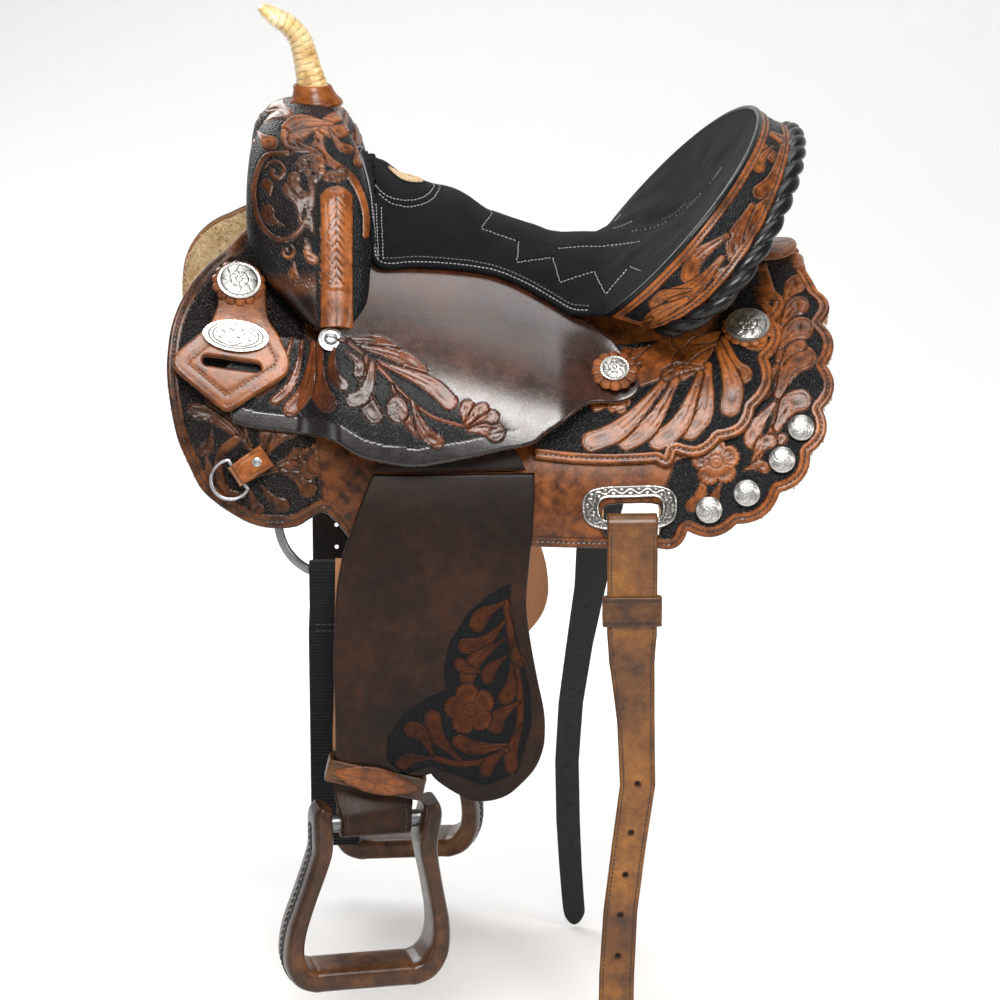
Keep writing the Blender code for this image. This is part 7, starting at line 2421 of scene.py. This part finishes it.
    def rel(uv, p, d):
        e, _ = line_dist(uv, eye)
        q = np.hypot(uv[:, 0] / 2.6, uv[:, 1])
        line = np.exp(-((e - 2.2) / 0.4) ** 2)
        ang = np.arctan2(uv[:, 1], uv[:, 0] / 2.2)
        ray = np.exp(-(np.abs(np.sin(4 * ang)) / 0.16) ** 2) * (q > 2.2) * (e > 3.2)
        core = np.exp(-((q - 2.2) / 0.35) ** 2)
        c = np.maximum(np.maximum(line, 0.8 * ray), core)
        return {"h": 0.6 - 0.4 * c, "ink": 0 * c, "leaf": 0 * c + 1, "cut": c * 0.85, "dent": 0 * c, "shade": 0.2 + 0 * c}
    V, F, at = solid_sheet(eye, hob, 2.0, rel, coarse=1.1, edge=1.1, r=0.9)
    out_("hobble_badge", V, F, at, TOOLED, "fender")
    # stirrup: a bent wooden bow covered in leather, laced along both edges
    fr = [(0.0480, 0.2080, 0.034, 0.014), (0.0505, 0.1990, 0.040, 0.018), (0.0490, 0.1820, 0.044, 0.019), (0.0485, 0.1680, 0.046, 0.018),
          (0.0515, 0.1530, 0.047, 0.017), (0.0565, 0.1340, 0.048, 0.016), (0.0615, 0.1150, 0.049, 0.016), (0.0660, 0.0960, 0.050, 0.017),
          (0.0675, 0.0790, 0.051, 0.018), (0.0655, 0.0650, 0.052, 0.020), (0.0580, 0.0530, 0.053, 0.022), (0.0470, 0.0480, 0.054, 0.022),
          (0.0390, 0.0480, 0.054, 0.022)]
    mid = [(x, 0.0480, 0.054, 0.022) for x in (0.020, 0.0, -0.020)]
    whole = np.array(fr + mid + [(-w, z, d, t) for w, z, d, t in fr[::-1]])
    S = smooth_line(whole, 9)
    C = bolt + axis * (S[:, 0:1] + 0.090 * (S[:, 1:2] - 0.1905)) + np.array([0, 0, 1]) * (S[:, 1:2] - 0.1905)
    T = np.gradient(C, axis=0)
    T /= np.linalg.norm(T, axis=1)[:, None]
    A = nrm - T * (T @ nrm)[:, None]
    A /= np.linalg.norm(A, axis=1)[:, None]
    N = np.cross(T, A)
    # outward from the opening
    cen = C.mean(0)
    if (N * (C - cen)).sum() < 0:
        N = -N
    sec = []
    for i in range(48):
        a = 2 * pi * i / 48
        c, s = cos(a), sin(a)
        sec.append((np.sign(c) * abs(c) ** 0.42, np.sign(s) * abs(s) ** 0.55))
    sec = np.array(sec)
    hw, ht = S[:, 2] / 2, S[:, 3] / 2
    R = C[:, None] + A[:, None] * (hw[:, None] * sec[None, :, 0])[..., None] + N[:, None] * (ht[:, None] * sec[None, :, 1])[..., None]
    V, F = loft_np(R)
    e = 1 - np.abs(sec[:, 0])
    face = np.tile(np.abs(sec[:, 1]), len(S))
    atd = zeros(V, leaf=1.0)
    dark = (sec[:, 1] > 0.5) * (1 - smoothstep(0.20, 0.34, np.abs(sec[:, 0])))
    atd["shade"] = np.concatenate([np.tile(0.9 * dark + 0.25 * (sec[:, 1] > 0.5), len(S)), [0, 0]])
    seam = (sec[:, 1] > 0.5) * np.exp(-((np.abs(sec[:, 0]) - 0.55) / 0.05) ** 2)
    atd["cut"] = np.concatenate([np.tile(0.6 * seam, len(S)), [0, 0]])
    out_("stirrup", V, F, atd, STIRRUP_L, "stirrup", "stirrup")
    for q in (-1, 1):
        Pn = C + N * (ht * 0.98)[:, None] + A * (0.0042 * q)
        sew(Pn[10:-10] + N[10:-10] * 0.0002, N[10:-10], LACE, body="saddle", both=False, pitch=0.0062, length=0.0088, wide=0.0028, high=0.0012, slant=0.75 * q)
        V, F = SEWN[(LACE.name, "saddle")].pop()
        SEWN.setdefault((LACE.name, f"{tag}_stirrup"), []).append((fix(V), F if side < 0 else F[:, ::-1]))


# ------------------------------------------------------------------ build
fleece()
skirt()
rear_jockey()
seat_jockey()
keeper_plate()
slot_plate()
rosette("front_rosette", -0.2405, 0.1620, 0.0318, 0.0245, 14, 0.0022)
rosette("seat_rosette", 0.0970, 0.1930, 0.0338, 0.0215, 12, 0.0024)
rosette("rear_rosette", 0.2200, 0.1520, 0.0228, 0.0235, 14, 0.0020)
swap(medal("front_concho", -0.2405, 0.1620, 0.0332, 0.0195, 0.0062, SILVER), "front_concho")
swap(medal("oval_concho", -0.2430, 0.2115, 0.0327, 0.0150, 0.0045, SILVER, style="oval", oval=1.97, tilt=radians(3), segs=120), "oval_concho")
swap(medal("seat_concho", 0.0970, 0.1930, 0.0356, 0.0130, 0.0052, SILVER, style="small"), "seat_concho")
swap(medal("rear_concho", 0.2200, 0.1520, 0.0246, 0.0200, 0.0062, SILVER), "rear_concho")
for i, (x, s) in enumerate(((263, 257), (245, 286), (213, 315), (179, 329))):
    medal(f"skirt_concho_{i + 1}", x / 1000, s / 1000, 0.0178, 0.0122, 0.0062, SILVER, style="dome", rings=22, segs=64)
swell()
screws()
horn()
cantle()
rear_bridge()
seat()
rigging()
billets()
fender()
for side in (-1, 1):
    hardware(side)
sewing_done()


def refine(node, name, mat, body="saddle", cuts=2, amp=0.0006, scale=90.0):
    """A soft piece inside the saddle, made over from its solid: finer, and no longer dead smooth."""
    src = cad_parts[node]
    bm = bmesh.new()
    bm.from_mesh(src.data)
    bm.transform(src.matrix_world)
    bmesh.ops.remove_doubles(bm, verts=bm.verts, dist=2e-5)
    bmesh.ops.triangulate(bm, faces=bm.faces)
    for _ in range(cuts):
        long_ = [e for e in bm.edges if e.calc_length() > 0.008]
        if not long_:
            break
        bmesh.ops.subdivide_edges(bm, edges=long_, cuts=1, use_grid_fill=False)
        bmesh.ops.triangulate(bm, faces=[f for f in bm.faces if len(f.verts) > 3])
    bm.normal_update()
    V = np.array([v.co[:] for v in bm.verts])
    N = np.array([v.normal[:] for v in bm.verts])
    F = np.array([[v.index for v in f.verts] for f in bm.faces]) if not bm.verts.index_update() else None
    bm.free()
    w = np.sin(V[:, 0] * scale + 2 * np.sin(V[:, 1] * scale * 0.6)) * np.sin(V[:, 1] * scale * 1.1 + V[:, 2] * scale * 0.7)
    V = V - N * (amp * (0.5 + 0.5 * w))[:, None]
    ob = make(name, V, F, zeros(V), mat, body, 40)
    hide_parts(node)
    return ob


for node in ("ground_seat", "seat_foam"):
    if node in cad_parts:
        refine(node, node + "_piece", BLACKL if node == "ground_seat" else FOAM)


def leather_loop():
    """The loop over the bar that carries the fender strap."""
    place = lambda u, v, h: drape(u / 1000, v / 1000, 0.0325 - 0.0135 * smoothstep(0.107, 0.133, v / 1000) + h / 1000)
    V, F, at = solid_sheet([(-90, 50), (-20, 50), (-20, 168), (-90, 168)], place, 3.5, None, coarse=4.0, edge=2.0, r=1.0)
    at.update({k: np.zeros(len(V)) for k in ("ink", "dent", "gold", "cut", "shade") if k not in at})
    swap(pair("leather_loop_piece", V, F, at, BLACKL), "leather_loop")


leather_loop()

# CAD nodes that stay shown
FINISH = {"tree_bar": WOOD, "tree_fork": WOOD, "tree_cantle": WOOD, "horn_core": STEEL,
          "stirrup_bolt": DARK_STEEL}
for name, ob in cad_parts.items():
    for key, mat in FINISH.items():
        if name.startswith(key):
            ob.data.materials.clear()
            ob.data.materials.append(mat)


# ------------------------------------------------------------------ stage
def stage():
    me = bpy.data.meshes.new("floor")
    R = 9.0
    pts, faces = [], []
    prof = [(-R, 0.0), (2.2, 0.0)] + [(2.2 + 1.6 * sin(a), 1.6 * (1 - cos(a))) for a in np.linspace(0, pi / 2, 12)[1:]] + [(3.8, 6.0)]
    for y, z in prof:
        pts += [(-R, y, z), (R, y, z)]
    for i in range(len(prof) - 1):
        faces.append((2 * i, 2 * i + 1, 2 * i + 3, 2 * i + 2))
    me.from_pydata(pts, [], faces)
    me.shade_smooth()
    floor = bpy.data.objects.new("floor", me)
    bpy.context.scene.collection.objects.link(floor)
    m, nt, p = new_mat("floor_paper")
    p.inputs["Base Color"].default_value = (0.90, 0.90, 0.895, 1)
    p.inputs["Roughness"].default_value = 0.9
    p.inputs["Specular IOR Level"].default_value = 0.1
    # the paper is white to the camera, and can be looked through from behind
    ray = nt.nodes.new("ShaderNodeLightPath")
    dim = nt.nodes.new("ShaderNodeMath")
    dim.operation = "MULTIPLY"
    dim.inputs[1].default_value = 0.13
    nt.links.new(ray.outputs["Is Camera Ray"], dim.inputs[0])
    p.inputs["Emission Color"].default_value = (1, 1, 1, 1)
    nt.links.new(dim.outputs[0], p.inputs["Emission Strength"])
    geo = nt.nodes.new("ShaderNodeNewGeometry")
    clear = nt.nodes.new("ShaderNodeBsdfTransparent")
    mix = nt.nodes.new("ShaderNodeMixShader")
    outn = [n for n in nt.nodes if n.type == "OUTPUT_MATERIAL"][0]
    nt.links.new(geo.outputs["Backfacing"], mix.inputs[0])
    nt.links.new(p.outputs[0], mix.inputs[1])
    nt.links.new(clear.outputs[0], mix.inputs[2])
    nt.links.new(mix.outputs[0], outn.inputs["Surface"])
    me.materials.append(m)

    def area(name, at, aim, size, power, col=(1, 1, 1), shape="RECTANGLE", sy=None):
        L = bpy.data.lights.new(name, "AREA")
        L.energy = power
        L.color = col
        L.shape = shape
        L.size = size
        L.size_y = sy or size
        ob = bpy.data.objects.new(name, L)
        ob.location = at
        d = Vector(aim) - Vector(at)
        ob.rotation_euler = d.to_track_quat("-Z", "Y").to_euler()
        bpy.context.scene.collection.objects.link(ob)
        return ob
    mid = (0, 0, 0.55)
    area("key", (0.1, -2.0, 2.9), mid, 1.2, 92, (1, 0.985, 0.96))
    area("fill", (-2.6, -1.7, 1.2), mid, 1.2, 12, (0.95, 0.97, 1.0))
    area("top", (0.2, 0.6, 3.2), mid, 1.8, 34)
    area("right", (2.5, -1.7, 1.6), mid, 0.9, 24, (1, 0.98, 0.95))
    area("rim", (-1.2, 2.1, 2.0), mid, 1.4, 36)
    area("front_low", (0.2, -3.4, 0.6), (0, 0, 0.35), 1.2, 7)
    w = bpy.data.worlds.new("studio")
    bpy.context.scene.world = w
    w.use_nodes = True
    w.node_tree.nodes["Background"].inputs["Color"].default_value = (1.0, 1.0, 1.0, 1)
    wn = w.node_tree
    seen = wn.nodes.new("ShaderNodeLightPath")
    span = wn.nodes.new("ShaderNodeMapRange")
    span.inputs["To Min"].default_value = 0.26
    span.inputs["To Max"].default_value = 0.80
    wn.links.new(seen.outputs["Is Camera Ray"], span.inputs["Value"])
    wn.links.new(span.outputs["Result"], wn.nodes["Background"].inputs["Strength"])

    cam = bpy.data.cameras.new("camera")
    cam.sensor_width = 36.0
    cam.lens = 36.0 * (_dist / _unit) / 1000.0
    cam.clip_end = 60
    ob = bpy.data.objects.new("camera", cam)
    right, up, back = Vector(_right), Vector(_up), Vector(_back)
    ob.matrix_world = Matrix(((right.x, up.x, back.x, _eye[0]), (right.y, up.y, back.y, _eye[1]), (right.z, up.z, back.z, _eye[2]), (0, 0, 0, 1)))
    bpy.context.scene.collection.objects.link(ob)
    bpy.context.scene.camera = ob
    bpy.context.scene.view_settings.view_transform = "Standard"


stage()
